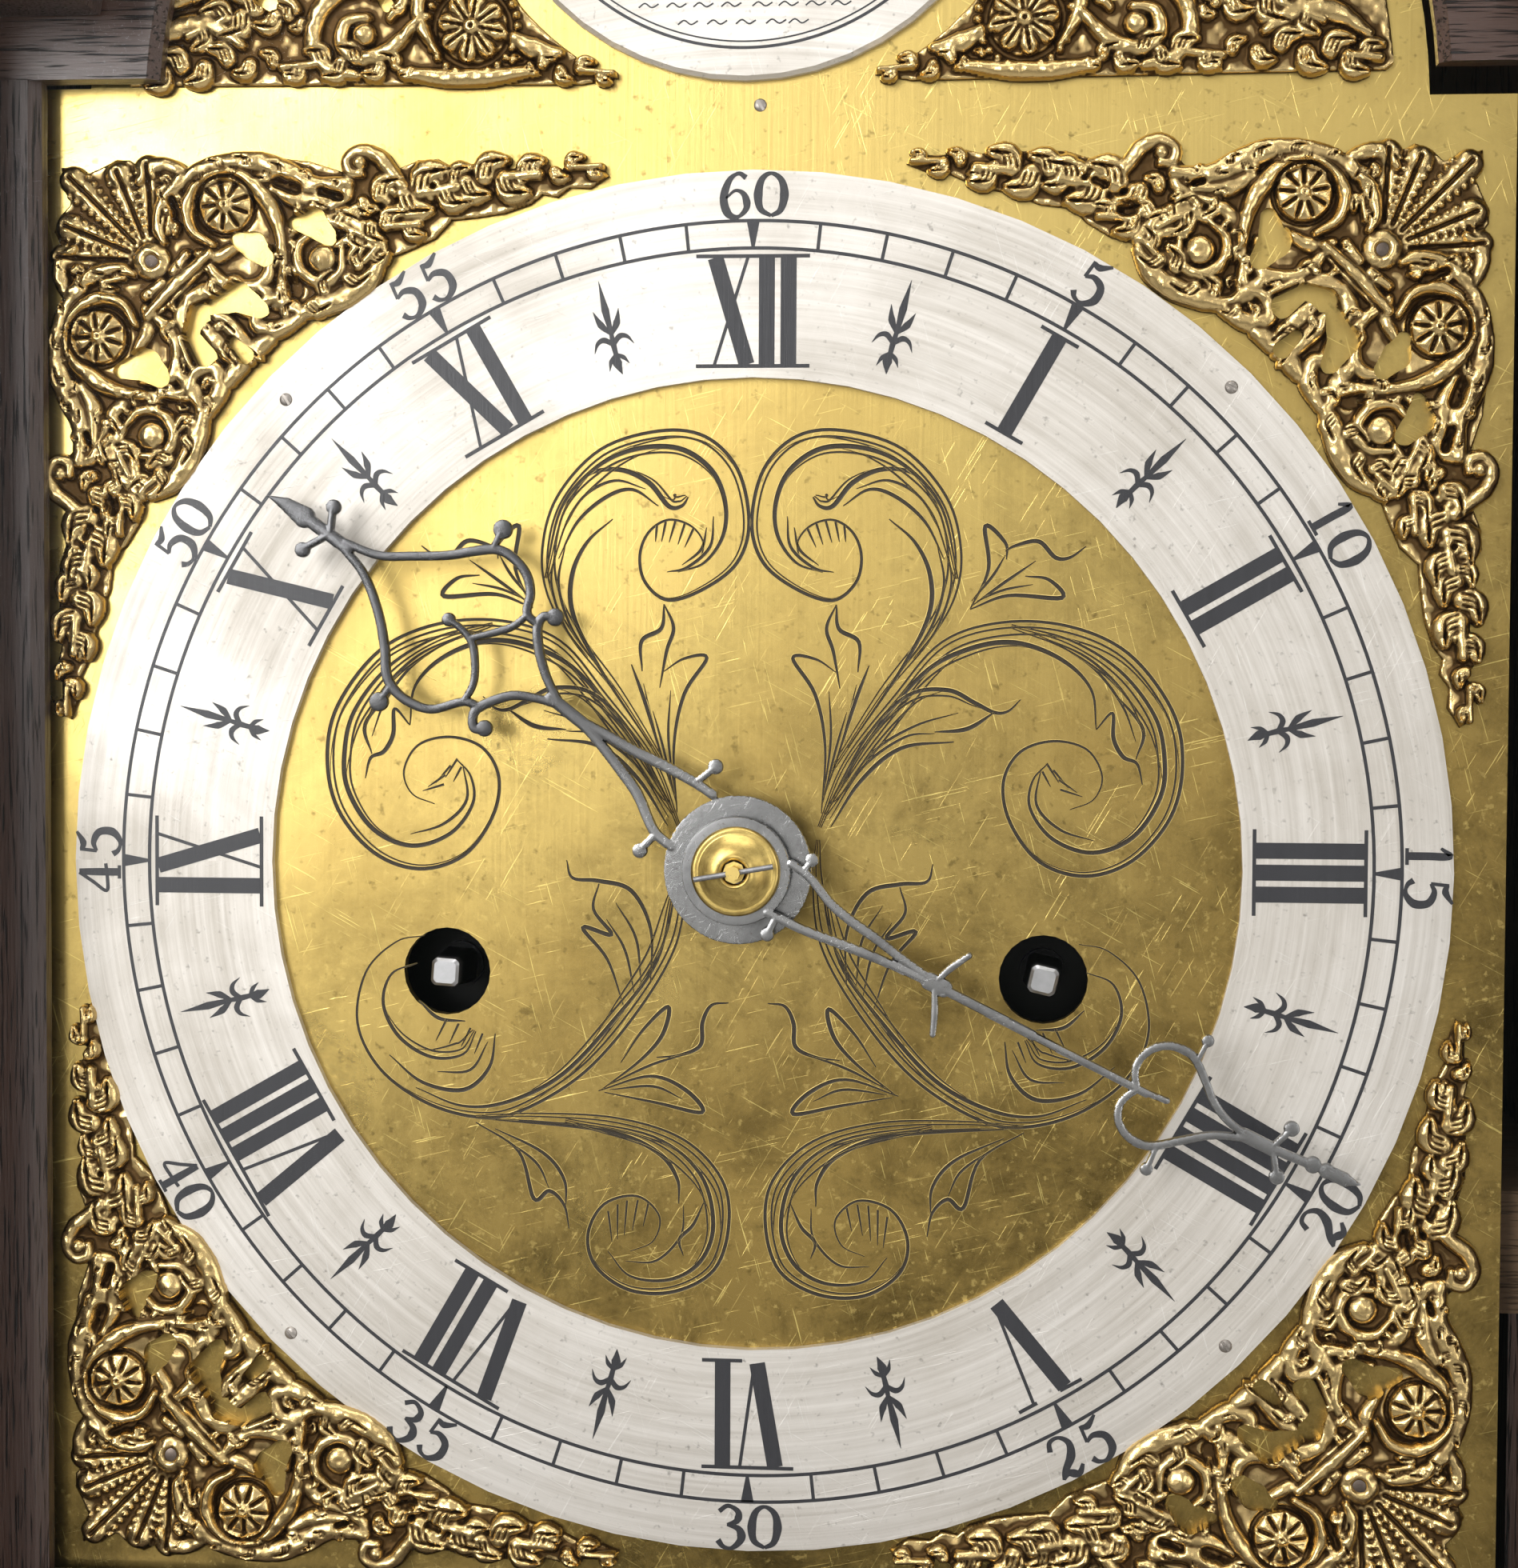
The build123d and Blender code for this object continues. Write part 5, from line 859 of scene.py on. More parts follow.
def glass_material():
    """Thin clear glass with a few smears."""
    constants = {"Roughness": 0.02, "Alpha": 0.03, "IOR": 1.5, "Specular_IOR_Level": 0.12}
    tree, shader, place = new_material("clear glass", **constants)
    smear = noise(tree, place, 14.0, 3.0)
    tree.links.new(remap(tree, smear, 0.3, 0.8, 0.02, 0.09), shader.inputs["Roughness"])
    tint = mix_colour(tree, smear, (0.03, 0.035, 0.032), (0.02, 0.024, 0.022))
    tree.links.new(tint, shader.inputs["Base Color"])


ALONG_Z = (0, 0, 0)
ALONG_X = (0, math.pi / 2, 0)
STAINED = {"roughness": 0.46, "coat": 0.75, "open_grain": 0.95}
BARE = {"roughness": 0.62, "coat": 0.0, "open_grain": 0.45}
TARNISHED_SILVER = (0.44, 0.40, 0.34)
SLOT_FINISHES = {
    "oak": "oak upright",
    "oak_inner": "bare oak upright",
    "dial_brass": "dial brass",
    "cast_brass": "cast brass",
    "silvered": "silvered ring",
    "roundel_silver": "silvered ring",
    "hand_steel": "hand steel",
    "steel": "grey steel",
    "movement_brass": "movement brass",
    "fitting_brass": "turned brass",
    "gong_steel": "grey steel",
    "clear_glass": "clear glass",
}
CROSS_GRAINED = {
    **dict.fromkeys(("hood_base", "hood_roof", "skirting", "cornice"), "oak across"),
    **dict.fromkeys(("mask_head", "trunk_mouldings"), "oak across"),
    "seat_board": "bare oak across",
}


class CLOCK_OT_finishes(bpy.types.Operator):
    """Build the finishes and paint the clock's solids with them"""

    bl_idname = "clock.finishes"
    bl_label = "Finishes"

    def execute(self, context):
        colours = context.scene.clock_colours
        for build in (
            oak_grain_group, tarnish_group, brushed_lines_group, turned_grain_group, scratches_group
        ):
            build()
        stained = (tuple(colours.oak_light), tuple(colours.oak_dark))
        bare = (tuple(colours.oak_inner), tuple(c * 0.6 for c in colours.oak_inner))
        for grain, turn in (("upright", ALONG_Z), ("across", ALONG_X)):
            oak_material("oak " + grain, *stained, turn, **STAINED)
            oak_material("bare oak " + grain, *bare, turn, **BARE)
        brass, dull = tuple(colours.brass), tuple(colours.brass_dark)
        dial, hands = (RING_X, 0, RING_Z), (HAND_X, 0, RING_Z)
        # The last value, 0.85, is how strongly the painted shade darkens the dial plate towards its foot.
        brass_material("dial brass", brass, dull, "Brushed lines", 0.27, 24.0, 0.55, dial, 0.85)
        brass_material("movement brass", brass, dull, "Brushed lines", 0.32, 60.0, 0.4)
        brass_material("turned brass", brass, dull, "Turned grain", 0.28, 110.0, 0.95, hands, lined=0.5)
        silvering = tuple(colours.silvering)
        silver = brass_material(
            "silvered ring", silvering, TARNISHED_SILVER, "Turned grain", 0.40, 30.0, 0.45,
            dial, lined=0.5, worn=0.2,
        )
        silver.inputs["Metallic"].default_value = 0.55
        wax_material(tuple(colours.wax))
        cut_material(brass)
        steel_material("hand steel", tuple(colours.steel), 0.24)
        # The hour hand's steel takes a painted shade that darkens it away from the axis.
        steel_material("shaded hour steel", tuple(colours.steel), 0.20, painted_far_shade=(0.085, 0.085, 0.087))
        steel_material("grey steel", (0.38, 0.38, 0.39), 0.33)
        steel_material("dark steel", (0.15, 0.12, 0.10), 0.42)
        steel_material("ring pin steel", (0.34, 0.31, 0.28), 0.40)
        winding_steel_material()
        cast_brass_material(tuple(colours.cast_brass), tuple(colours.cast_dark))
        glass_material()
        slots = {entry["node"]: entry["material_slot"] for entry in frame["record"]["subparts"]}
        for node, solid in frame["nodes"].items():
            finish = CROSS_GRAINED.get(node, SLOT_FINISHES[slots[node]])
            solid.data.materials.clear()
            solid.data.materials.append(bpy.data.materials[finish])
        return {"FINISHED"}


# Repeats


def scatter_tree(name, inputs):
    """A Geometry Nodes tree with named inputs: the tree, its inputs and the keys that a modifier sets."""
    tree = bpy.data.node_groups.new(name + " tree", "GeometryNodeTree")
    keys = {}
    for label, kind in (("Geometry", "Geometry"), *inputs, ("Material", "Material")):
        socket = tree.interface.new_socket(label, in_out="INPUT", socket_type="NodeSocket" + kind)
        keys[label] = socket.identifier
    tree.interface.new_socket("Geometry", in_out="OUTPUT", socket_type="NodeSocketGeometry")
    return tree, tree.nodes.new("NodeGroupInput").outputs, keys


def scatter(tree, given, points, shape, rotation):
    """Put a painted copy of a shape on each point."""
    links = {"Points": points, "Instance": shape, "Rotation": rotation}
    placed = add_node(tree, "GeometryNodeInstanceOnPoints", links).outputs[0]
    real = add_node(tree, "GeometryNodeRealizeInstances", {0: placed}).outputs[0]
    painted = add_node(tree, "GeometryNodeSetMaterial", {"Geometry": real, "Material": given["Material"]})
    tree.links.new(painted.outputs[0], tree.nodes.new("NodeGroupOutput").inputs[0])


def settle(name, spots, tree, keys, values, place=Matrix()):
    """What a tree makes of a carrier's points, as a plain mesh put in its place."""
    carrier = make_object(name + "_carrier", spots, [])
    modifier = carrier.modifiers.new("repeat", "NODES")
    modifier.node_group = tree
    for label, value in values.items():
        modifier[keys[label]] = value
    depsgraph = bpy.context.evaluated_depsgraph_get()
    mesh = bpy.data.meshes.new_from_object(carrier.evaluated_get(depsgraph))
    bpy.data.objects.remove(carrier)
    mesh.transform(place)
    mesh.name = name
    made = bpy.data.objects.new(name, mesh)
    bpy.context.scene.collection.objects.link(made)
    recalculate(made)
    return made


# Chapter ring

THIN = 0.24
THICK = 1.15
HALF_SERIF = 0.27
SERIF_REACH = 1.5
DRAWN_HEIGHT = 15.8
LETTER_WIDTHS = {"I": 3.15, "V": 7.4, "X": 7.2}


def numeral_strokes(letters):
    """The strokes of an hour numeral at its drawn height, as (line, half width) in millimetres."""
    total = sum(LETTER_WIDTHS[letter] for letter in letters)
    pen = -total / 2
    top, high, low = DRAWN_HEIGHT, DRAWN_HEIGHT - 0.2, 0.2
    strokes = []
    for letter in letters:
        middle = pen + LETTER_WIDTHS[letter] / 2
        if letter == "I":
            strokes.append((((middle, low), (middle, high)), THICK))
        elif letter == "V":
            strokes.append((((middle - 2.5, high), (middle + 0.2, 0.3)), THICK))
            strokes.append((((middle + 2.7, high), (middle + 0.6, 0.4)), THIN))
        else:
            strokes.append((((middle - 2.3, high), (middle + 2.3, low)), THICK))
            strokes.append((((middle + 2.4, high), (middle - 2.4, low)), THIN))
        pen += LETTER_WIDTHS[letter]
    left, right = -total / 2 - SERIF_REACH, total / 2 + SERIF_REACH
    serifs = [(top, left, right)] if letters != "V" else [(top, left, left + 3.6), (top, right - 3.0, right)]
    if letters.startswith("V") and letters != "V":
        serifs.append((0.0, left + 7.6, right))
    elif not letters.startswith("V"):
        serifs.append((0.0, left, right))
    for level, start, end in serifs:
        strokes.append((((start, level), (end, level)), HALF_SERIF))
    return strokes


# Each stroke of a figure one unit wide and high: its line and half widths
DIGITS = {
    "0": [
        (((0.5, 0.0), (0.16, 0.16), (0.08, 0.5), (0.2, 0.86), (0.5, 1.0), (0.82, 0.84), (0.92, 0.5),
            (0.8, 0.14), (0.5, 0.0)), (0.05, 0.13, 0.05, 0.13, 0.05)),
    ],
    "1": [
        (((0.25, 0.78), (0.5, 1.0), (0.5, 0.5), (0.5, 0.0)), (0.04, 0.11, 0.11)),
        (((0.25, 0.0), (0.78, 0.0)), (0.05,)),
    ],
    "2": [
        (((0.16, 0.76), (0.3, 0.97), (0.62, 0.98), (0.84, 0.76), (0.7, 0.46), (0.3, 0.2), (0.12, 0.02)),
            (0.08, 0.05, 0.13, 0.05)),
        (((0.12, 0.04), (0.36, 0.12), (0.66, 0.0), (0.92, 0.16)), (0.05, 0.12, 0.05)),
    ],
    "3": [
        (((0.16, 0.86), (0.45, 1.0), (0.78, 0.86), (0.74, 0.64), (0.42, 0.54)), (0.07, 0.06, 0.11, 0.04)),
        (((0.42, 0.54), (0.8, 0.44), (0.88, 0.2), (0.6, -0.02), (0.3, 0.0), (0.12, 0.16)),
            (0.04, 0.13, 0.05, 0.09)),
    ],
    "4": [
        (((0.66, 1.0), (0.36, 0.66), (0.06, 0.32), (0.5, 0.30), (0.96, 0.34)), (0.05, 0.05, 0.05)),
        (((0.68, 1.0), (0.68, 0.5), (0.68, 0.0)), (0.09, 0.11, 0.11)),
        (((0.46, 0.0), (0.9, 0.0)), (0.05,)),
    ],
    "5": [
        (((0.28, 0.98), (0.22, 0.56)), (0.05,)),
        (((0.26, 0.94), (0.5, 0.9), (0.86, 1.06)), (0.06, 0.10, 0.04)),
        (((0.22, 0.56), (0.5, 0.64), (0.84, 0.5), (0.86, 0.18), (0.56, -0.02), (0.26, 0.02),
            (0.12, 0.16)), (0.04, 0.10, 0.12, 0.05, 0.09)),
    ],
    "6": [
        (((0.84, 0.9), (0.6, 1.0), (0.3, 0.84), (0.12, 0.42), (0.26, 0.06), (0.58, -0.02), (0.86, 0.2),
            (0.78, 0.5), (0.5, 0.6), (0.2, 0.42)), (0.08, 0.05, 0.11, 0.12, 0.05, 0.11, 0.05, 0.03)),
    ],
}


FIGURE_RADIUS = 97.2
FIGURE_WIDTH = 0.74
FIGURE_PITCH = 1.15
FIGURE_WEIGHT = 0.84


def write_figure(strips, figure, height, at, turn):
    """Write a one or two digit figure, centred on a spot of the ring."""
    width = height * FIGURE_WIDTH
    pitch = width * FIGURE_PITCH
    start = -pitch * (len(figure) - 1) / 2
    for number, digit in enumerate(figure):
        for line, widths in DIGITS[digit]:
            smooth, half = along(line, widths)
            x = (smooth[:, 0] - 0.5) * width + start + number * pitch
            z = (smooth[:, 1] - 0.5) * height
            strips.add(np.stack([x, z], 1), half * height * FIGURE_WEIGHT, turn, at)


NUMERALS = ("XII", "I", "II", "III", "IIII", "V", "VI", "VII", "VIII", "IX", "X", "XI")
HOUR_TURN = 30.0
MINUTE_TURN = 6.0
READ_FROM_BELOW = range(20, 41)


# Each stroke: its line and half widths
HALF_HOUR = (
    (((0.1, 80.0), (0.1, 83.4), (0.2, 87.4)), (0.3, 0.6, 0.03)),
    (((0.1, 80.0), (-1.0, 81.6), (-1.6, 83.6)), (0.25, 0.55, 0.03)),
    (((0.1, 80.0), (1.2, 81.4), (1.9, 83.2)), (0.25, 0.55, 0.03)),
    (((0.1, 80.4), (0.0, 78.6), (0.0, 76.8)), (0.3, 0.45, 0.35)),
    (((0.0, 78.6), (-1.1, 79.5), (-2.1, 79.2), (-2.8, 78.0)), (0.35, 0.45, 0.3, 0.03)),
    (((0.0, 78.6), (1.1, 79.5), (2.1, 79.2), (2.8, 78.0)), (0.35, 0.45, 0.3, 0.03)),
    (((0.0, 77.4), (-0.1, 76.0), (0.2, 74.4)), (0.35, 0.75, 0.05)),
    (((0.0, 77.2), (-0.9, 76.4), (-1.4, 75.2)), (0.3, 0.35, 0.03)),
    (((0.0, 77.2), (0.9, 76.6), (1.5, 75.6)), (0.3, 0.35, 0.03)),
)


HALF_HOUR_MIDDLE = (0, 80.9)
HALF_HOUR_SCALE = 1.07
HALF_HOUR_WEIGHT = 0.95
FIVE_MINUTE_WEDGE = (0.2, 0.95)
TRACK_CIRCLE_POINTS = 240
BAR_DEPTH = 0.02 * MM
BAR_SINK = 0.015 * MM


def ring_strips():
    """Flat strips that lie on the chapter ring."""
    return Strips(FLAT, (RING_X, RING_Z), RING_FACE)


def fill_with_wax(piece):
    """Finish marks that are cut into the chapter ring and filled."""
    finish_piece(piece, dial_body(), "black wax", "silvered")


def hour_numerals(base, height):
    """The numerals, with their feet towards the middle."""
    strips = ring_strips()
    for hour, letters in enumerate(NUMERALS):
        for line, half in numeral_strokes(letters):
            spots = np.asarray(line, float) * (1, height / DRAWN_HEIGHT) + (0, base)
            strips.add(spots, half, -HOUR_TURN * hour)
    fill_with_wax(strips.piece("hour_numerals"))


def minute_figures(height):
    """The figures 5 to 60; the lower ones stand the other way up."""
    strips = ring_strips()
    for minute in range(5, 65, 5):
        turn = -MINUTE_TURN * minute
        spot = FIGURE_RADIUS * towards(90 + turn)
        write_figure(strips, str(minute), height, spot, turn + 180 * (minute in READ_FROM_BELOW))
    fill_with_wax(strips.piece("minute_figures"))


def half_hour_marks():
    """The mark between each two hours."""
    strips = ring_strips()
    for half_hour in range(12):
        for line, widths in HALF_HOUR:
            smooth, half = along(line, widths, 5)
            spots = (smooth - HALF_HOUR_MIDDLE) * HALF_HOUR_SCALE + HALF_HOUR_MIDDLE
            strips.add(spots, half * HALF_HOUR_WEIGHT, -HOUR_TURN * (half_hour + 0.5))
    fill_with_wax(strips.piece("half_hour_marks"))


def minute_track(outer, inner, width):
    """Two circles with a bar for each minute and a wedge for each five."""
    track = repeat_round("minute_track", (outer + inner) / 2, 60, outer - inner, width)
    lines = ring_strips()
    for radius in (outer, inner):
        lines.add(unit_circle(TRACK_CIRCLE_POINTS) * radius / MM, width / MM / 2)
    for five in range(12):
        lines.add([(0, inner / MM), (0, outer / MM)], FIVE_MINUTE_WEDGE, -HOUR_TURN * five)
    fill_with_wax(track)
    fill_with_wax(lines.piece("minute_lines"))


def repeat_round(name, radius, count, length, width):
    """Short radial bars repeated round the chapter ring."""
    inputs = (("Radius", "Float"), ("Count", "Int"), ("Length", "Float"), ("Width", "Float"))
    tree, given, keys = scatter_tree(name, inputs)
    circle = add_node(tree, "GeometryNodeMeshCircle", {"Vertices": given["Count"], "Radius": given["Radius"]})
    size = add_node(tree, "ShaderNodeCombineXYZ", {0: given["Length"], 1: given["Width"], 2: BAR_DEPTH})
    bar = add_node(tree, "GeometryNodeMeshCube", {"Size": size.outputs[0]})
    outwards = {"Vector": add_node(tree, "GeometryNodeInputPosition").outputs[0]}
    aim = add_node(tree, "FunctionNodeAlignRotationToVector", outwards, axis="X")
    scatter(tree, given, circle.outputs[0], bar.outputs[0], aim.outputs[0])
    values = {"Radius": radius, "Count": count, "Length": length, "Width": width}
    values["Material"] = bpy.data.materials["black wax"]
    move = Matrix.Translation((RING_X, RING_FACE - BAR_SINK, RING_Z))
    return settle(name, [(0, 0, 0)], tree, keys, values, move @ Matrix.Rotation(math.pi / 2, 4, "X"))


class CLOCK_OT_chapter_marks(bpy.types.Operator):
    """Fill the chapter ring with its numerals, minute track, figures and half-hour marks"""

    bl_idname = "clock.chapter_marks"
    bl_label = "Chapter ring marks"

    def execute(self, context):
        sizes = context.scene.clock_sizes
        hour_numerals(sizes.numeral_base / MM, sizes.numeral_height / MM)
        minute_figures(sizes.digit_height / MM)
        half_hour_marks()
        minute_track(sizes.track_outer, sizes.track_inner, sizes.line_width)
        return {"FINISHED"}


# Dial centre

CENTRE_AXIS = -0.35
# Each cut: its share of the widest width and its line
CENTRE_CUTS = (
    (0.55, ((12.0, 13.6), (19.7, 25.1), (26.0, 32.8), (29.8, 39.5), (30.6, 46.3), (28.4, 53.9),
        (22.1, 60.7), (13.5, 63.4), (6.7, 62.6), (1.9, 57.8), (0.2, 50.1), (1.9, 44.3), (6.7, 40.5),
        (12.0, 38.8), (15.4, 41.4), (16.2, 45.3), (14.9, 48.7), (12.0, 50.5), (8.7, 49.6), (6.9, 47.2),
        (7.6, 44.6), (10.0, 43.2))),
    (0.75, ((14.4, 17.4), (22.1, 28.9), (26.0, 36.6), (26.2, 42.4), (24.0, 47.2), (20.2, 50.6))),
    (0.8, ((30.2, 42.0), (27.9, 52.0), (23.1, 57.8), (17.3, 60.7), (10.6, 60.9), (5.8, 57.8), (3.7, 53.0),
        (4.0, 48.2), (6.7, 44.3), (10.6, 42.9))),
    (0.5, ((5.4, 51.0), (5.9, 46.6), (9.2, 43.6), (12.2, 42.9))),
    (0.45, ((6.4, 49.4), (7.2, 46.2), (10.0, 43.9))),
    (0.8, ((9.1, 53.8), (10.1, 52.5), (12.0, 52.5), (14.9, 55.9), (19.2, 57.8), (24.0, 57.0),
        (27.4, 52.6))),
    (0.6, ((13.5, 52.5), (17.3, 54.9), (21.2, 53.8), (25.4, 50.2), (28.2, 44.8))),
    (0.45, ((15.4, 55.0), (20.0, 56.2), (24.6, 53.8), (27.6, 48.8))),
    (0.45, ((27.2, 46.8), (28.2, 41.2), (26.4, 35.0), (22.4, 29.0))),
    (0.4, ((28.8, 45.6), (29.2, 40.8), (27.2, 34.8), (23.8, 30.4))),
    (0.7, ((32.0, 37.6), (34.6, 43.4), (34.1, 49.6), (37.0, 47.2), (37.2, 44.8))),
    (0.7, ((37.0, 46.0), (38.5, 46.8), (41.8, 47.4), (44.2, 45.1), (46.3, 45.1), (48.6, 46.7))),
    (0.7, ((32.0, 37.6), (37.5, 39.6), (45.2, 39.3), (43.3, 41.9), (39.9, 42.4))),
    (0.5, ((32.4, 38.2), (36.8, 41.4), (41.4, 44.6))),
    (0.45, ((32.2, 38.8), (35.2, 42.4), (37.0, 45.4))),
    (0.4, ((33.0, 38.8), (36.8, 40.4), (41.0, 41.2))),
    (0.6, ((10.1, 5.9), (13.9, 15.5), (21.2, 25.1), (27.9, 32.8), (36.5, 35.7), (46.2, 35.2),
        (54.8, 31.3), (61.1, 23.2), (62.7, 15.5), (61.1, 7.8), (55.8, 1.5), (49.0, -0.9), (42.3, 1.1),
        (38.0, 6.8), (37.0, 12.6), (39.4, 17.0), (44.2, 18.6), (49.0, 17.4), (51.2, 13.6), (50.0, 10.2),
        (46.6, 8.7))),
    (0.8, ((12.0, 9.7), (17.3, 18.4), (25.0, 28.0), (31.7, 31.8), (38.5, 32.8), (45.2, 30.4),
        (49.5, 26.1), (50.3, 20.3))),
    (0.75, ((38.0, 35.4), (46.4, 33.2), (53.6, 28.8), (58.6, 22.4), (60.1, 16.4), (59.6, 10.7),
        (55.8, 4.9), (50.0, 2.5), (44.2, 4.4), (40.9, 8.8), (41.2, 12.8), (43.4, 15.4))),
    (0.45, ((42.0, 33.8), (49.0, 30.6), (54.4, 25.4), (57.4, 19.4))),
    (0.45, ((44.4, 32.8), (50.0, 29.0), (54.0, 23.8), (56.0, 18.6))),
    (0.7, ((50.3, 20.3), (52.6, 22.7), (52.8, 19.0), (54.2, 16.4), (56.2, 15.4), (57.0, 12.4))),
    (0.6, ((53.0, 25.4), (57.0, 20.4), (56.0, 16.0))),
    (0.5, ((42.4, 14.6), (41.8, 9.4), (45.2, 5.8), (50.2, 4.2))),
    (0.7, ((11.0, 7.8), (17.3, 19.3), (23.1, 25.1), (28.8, 25.9), (32.7, 24.1), (35.6, 22.7),
        (37.6, 22.9), (39.4, 24.6))),
    (0.7, ((35.6, 22.7), (31.7, 20.3), (27.0, 19.8))),
    (0.7, ((29.8, 18.4), (22.1, 17.4), (16.3, 12.6), (12.0, 5.9))),
    (0.45, ((12.0, 8.4), (17.6, 16.4), (24.0, 20.6), (30.4, 22.6))),
    (0.45, ((11.8, 7.0), (16.6, 14.6), (22.6, 19.0), (27.0, 19.6))),
    (0.6, ((10.6, 7.8), (11.1, 17.4), (9.6, 25.1), (6.3, 30.4), (9.6, 30.3), (12.6, 28.4))),
    (0.7, ((12.6, 38.2), (13.0, 34.7), (15.9, 32.8), (15.8, 28.4))),
    (0.6, ((12.6, 38.2), (11.2, 34.8), (12.2, 31.4), (13.2, 26.0))),
    (0.6, ((17.4, 29.4), (15.4, 24.0), (12.6, 15.0))),
    (0.4, ((10.8, 9.4), (12.6, 17.0), (14.2, 22.6))),
    (0.4, ((10.9, 10.4), (11.9, 18.6), (11.6, 25.6))),
    (0.4, ((11.2, 10.8), (13.8, 19.0), (15.6, 26.6))),
    (0.55, ((9.9, 4.0), (9.4, -2.0), (10.6, -11.4), (16.0, -21.1), (24.2, -30.7), (33.7, -36.6),
        (40.4, -37.6), (48.1, -35.5), (54.8, -30.7), (58.2, -23.9), (56.9, -16.3), (52.4, -11.8),
        (48.1, -10.8))),
    (0.7, ((11.2, -4.0), (13.4, -14.0), (19.6, -22.6), (27.4, -31.0), (35.4, -35.2), (42.4, -36.0),
        (49.4, -33.4))),
    (0.7, ((37.5, -25.2), (38.4, -30.2), (42.2, -33.6), (48.4, -32.6), (53.4, -28.6))),
    (0.6, ((40.4, -24.9), (42.3, -28.3), (47.1, -28.8), (51.9, -25.9), (54.3, -21.1), (53.1, -16.6),
        (49.2, -14.9))),
    (0.6, ((42.0, -23.4), (46.0, -23.0), (49.0, -20.4))),
    (0.45, ((38.6, -26.4), (41.2, -30.6), (46.2, -31.0))),
    (0.6, ((40.4, -37.4), (30.8, -36.9), (19.2, -37.4), (9.6, -40.3), (3.8, -46.1), (2.7, -52.8),
        (4.8, -59.5), (10.6, -62.9), (17.3, -62.9), (22.4, -59.5), (23.6, -54.7), (21.2, -50.2),
        (16.3, -48.9), (13.0, -51.8), (13.9, -55.5), (17.3, -57.1))),
    (0.75, ((38.5, -37.9), (21.2, -39.3), (13.5, -42.2), (10.4, -46.1), (10.1, -49.9))),
    (0.7, ((27.0, -37.6), (14.0, -40.0), (7.0, -45.4), (5.0, -52.8), (6.9, -58.4), (11.5, -61.2),
        (17.3, -60.8), (20.6, -57.2))),
    (0.45, ((9.4, -50.2), (9.8, -54.6), (13.4, -58.4), (18.0, -58.6))),
    (0.6, ((6.4, -49.6), (8.0, -53.0), (10.0, -55.2), (9.4, -57.6))),
    (0.7, ((14.4, -17.2), (14.4, -9.5), (17.3, -3.8), (22.1, -2.4), (26.0, -2.0), (26.9, 0.6))),
    (0.7, ((22.1, -2.8), (22.9, -6.6), (20.2, -10.3), (24.5, -9.3), (20.8, -14.0), (18.3, -21.1))),
    (0.45, ((15.8, -17.6), (16.6, -10.8), (19.6, -5.6))),
    (0.45, ((16.8, -19.0), (18.2, -12.6), (21.0, -8.0))),
    (0.7, ((2.9, -20.1), (5.4, -20.5), (6.7, -23.0), (7.0, -26.4), (10.0, -27.9), (13.5, -28.3))),
    (0.7, ((21.6, -33.2), (15.9, -28.8), (12.6, -24.9), (11.8, -20.8), (15.6, -24.4), (18.8, -29.2))),
    (0.7, ((22.1, -33.4), (14.4, -31.1), (9.1, -33.1), (6.7, -36.3), (13.5, -35.0), (21.2, -33.6))),
    (0.45, ((20.8, -32.6), (14.2, -29.4), (8.6, -27.6))),
    (0.45, ((20.4, -33.2), (14.0, -32.6), (9.6, -34.4))),
    (0.7, ((40.4, -38.4), (34.0, -42.6), (31.7, -49.6), (29.4, -48.4), (27.2, -50.4), (26.4, -54.0))),
    (0.6, ((37.5, -39.3), (30.4, -42.7), (27.2, -46.6), (26.9, -50.9))),
    (0.45, ((36.4, -40.6), (31.4, -44.2), (29.4, -48.0))),
)
SPIRAL_TEETH = (
    ((8.3, 49.3), (9.6, 46.5)), ((9.6, 50.0), (10.6, 46.9)), ((11.0, 50.3), (11.9, 47.2)),
    ((12.4, 50.2), (13.0, 47.3)), ((13.7, 49.6), (13.9, 47.3)), ((43.2, 15.4), (45.0, 12.6)),
    ((44.2, 14.4), (46.4, 11.8)), ((45.0, 13.0), (47.6, 11.2)), ((45.2, 11.6), (48.4, 10.6)),
    ((42.6, 14.2), (43.8, 12.0)), ((14.6, -49.8), (15.4, -53.4)), ((16.2, -49.5), (17.0, -54.0)),
    ((17.8, -49.6), (18.2, -54.8)), ((19.2, -50.2), (19.2, -55.4)), ((20.6, -51.2), (20.0, -55.8)),
    ((39.4, -25.2), (40.6, -28.2)), ((41.2, -24.4), (42.6, -27.2)), ((43.0, -23.8), (44.4, -26.8)),
    ((44.8, -23.2), (46.4, -26.4)),
)


SCROLL_WIDTHS = (0.35, 1.25, 0.3)
COMPANION_GAP = 0.95
COMPANION_REACHES = (0.7, 0.45)
COMPANION_WIDTH = 0.42
COMPANION_WIDTHS = (0.5, 1.0, 0.1)
SHORTEST_ACCOMPANIED = 7
TOOTH_WIDTH = 0.5
TOOTH_WIDTHS = (0.9, 0.8, 0.3)


def companion(line, offset, reach):
    """A finer line that runs inside a curved one, parts from it and joins it again."""
    ahead = np.gradient(line, axis=0)
    ahead /= np.linalg.norm(ahead, axis=1, keepdims=True)
    bend = np.gradient(ahead, axis=0)
    side = np.stack([-ahead[:, 1], ahead[:, 0]], 1)
    inward = np.sign((bend * side).sum())
    count = int(len(line) * reach)
    away = offset * np.sin(np.linspace(0.25, math.pi, count))
    return line[:count] + inward * side[:count] * away[:, None]


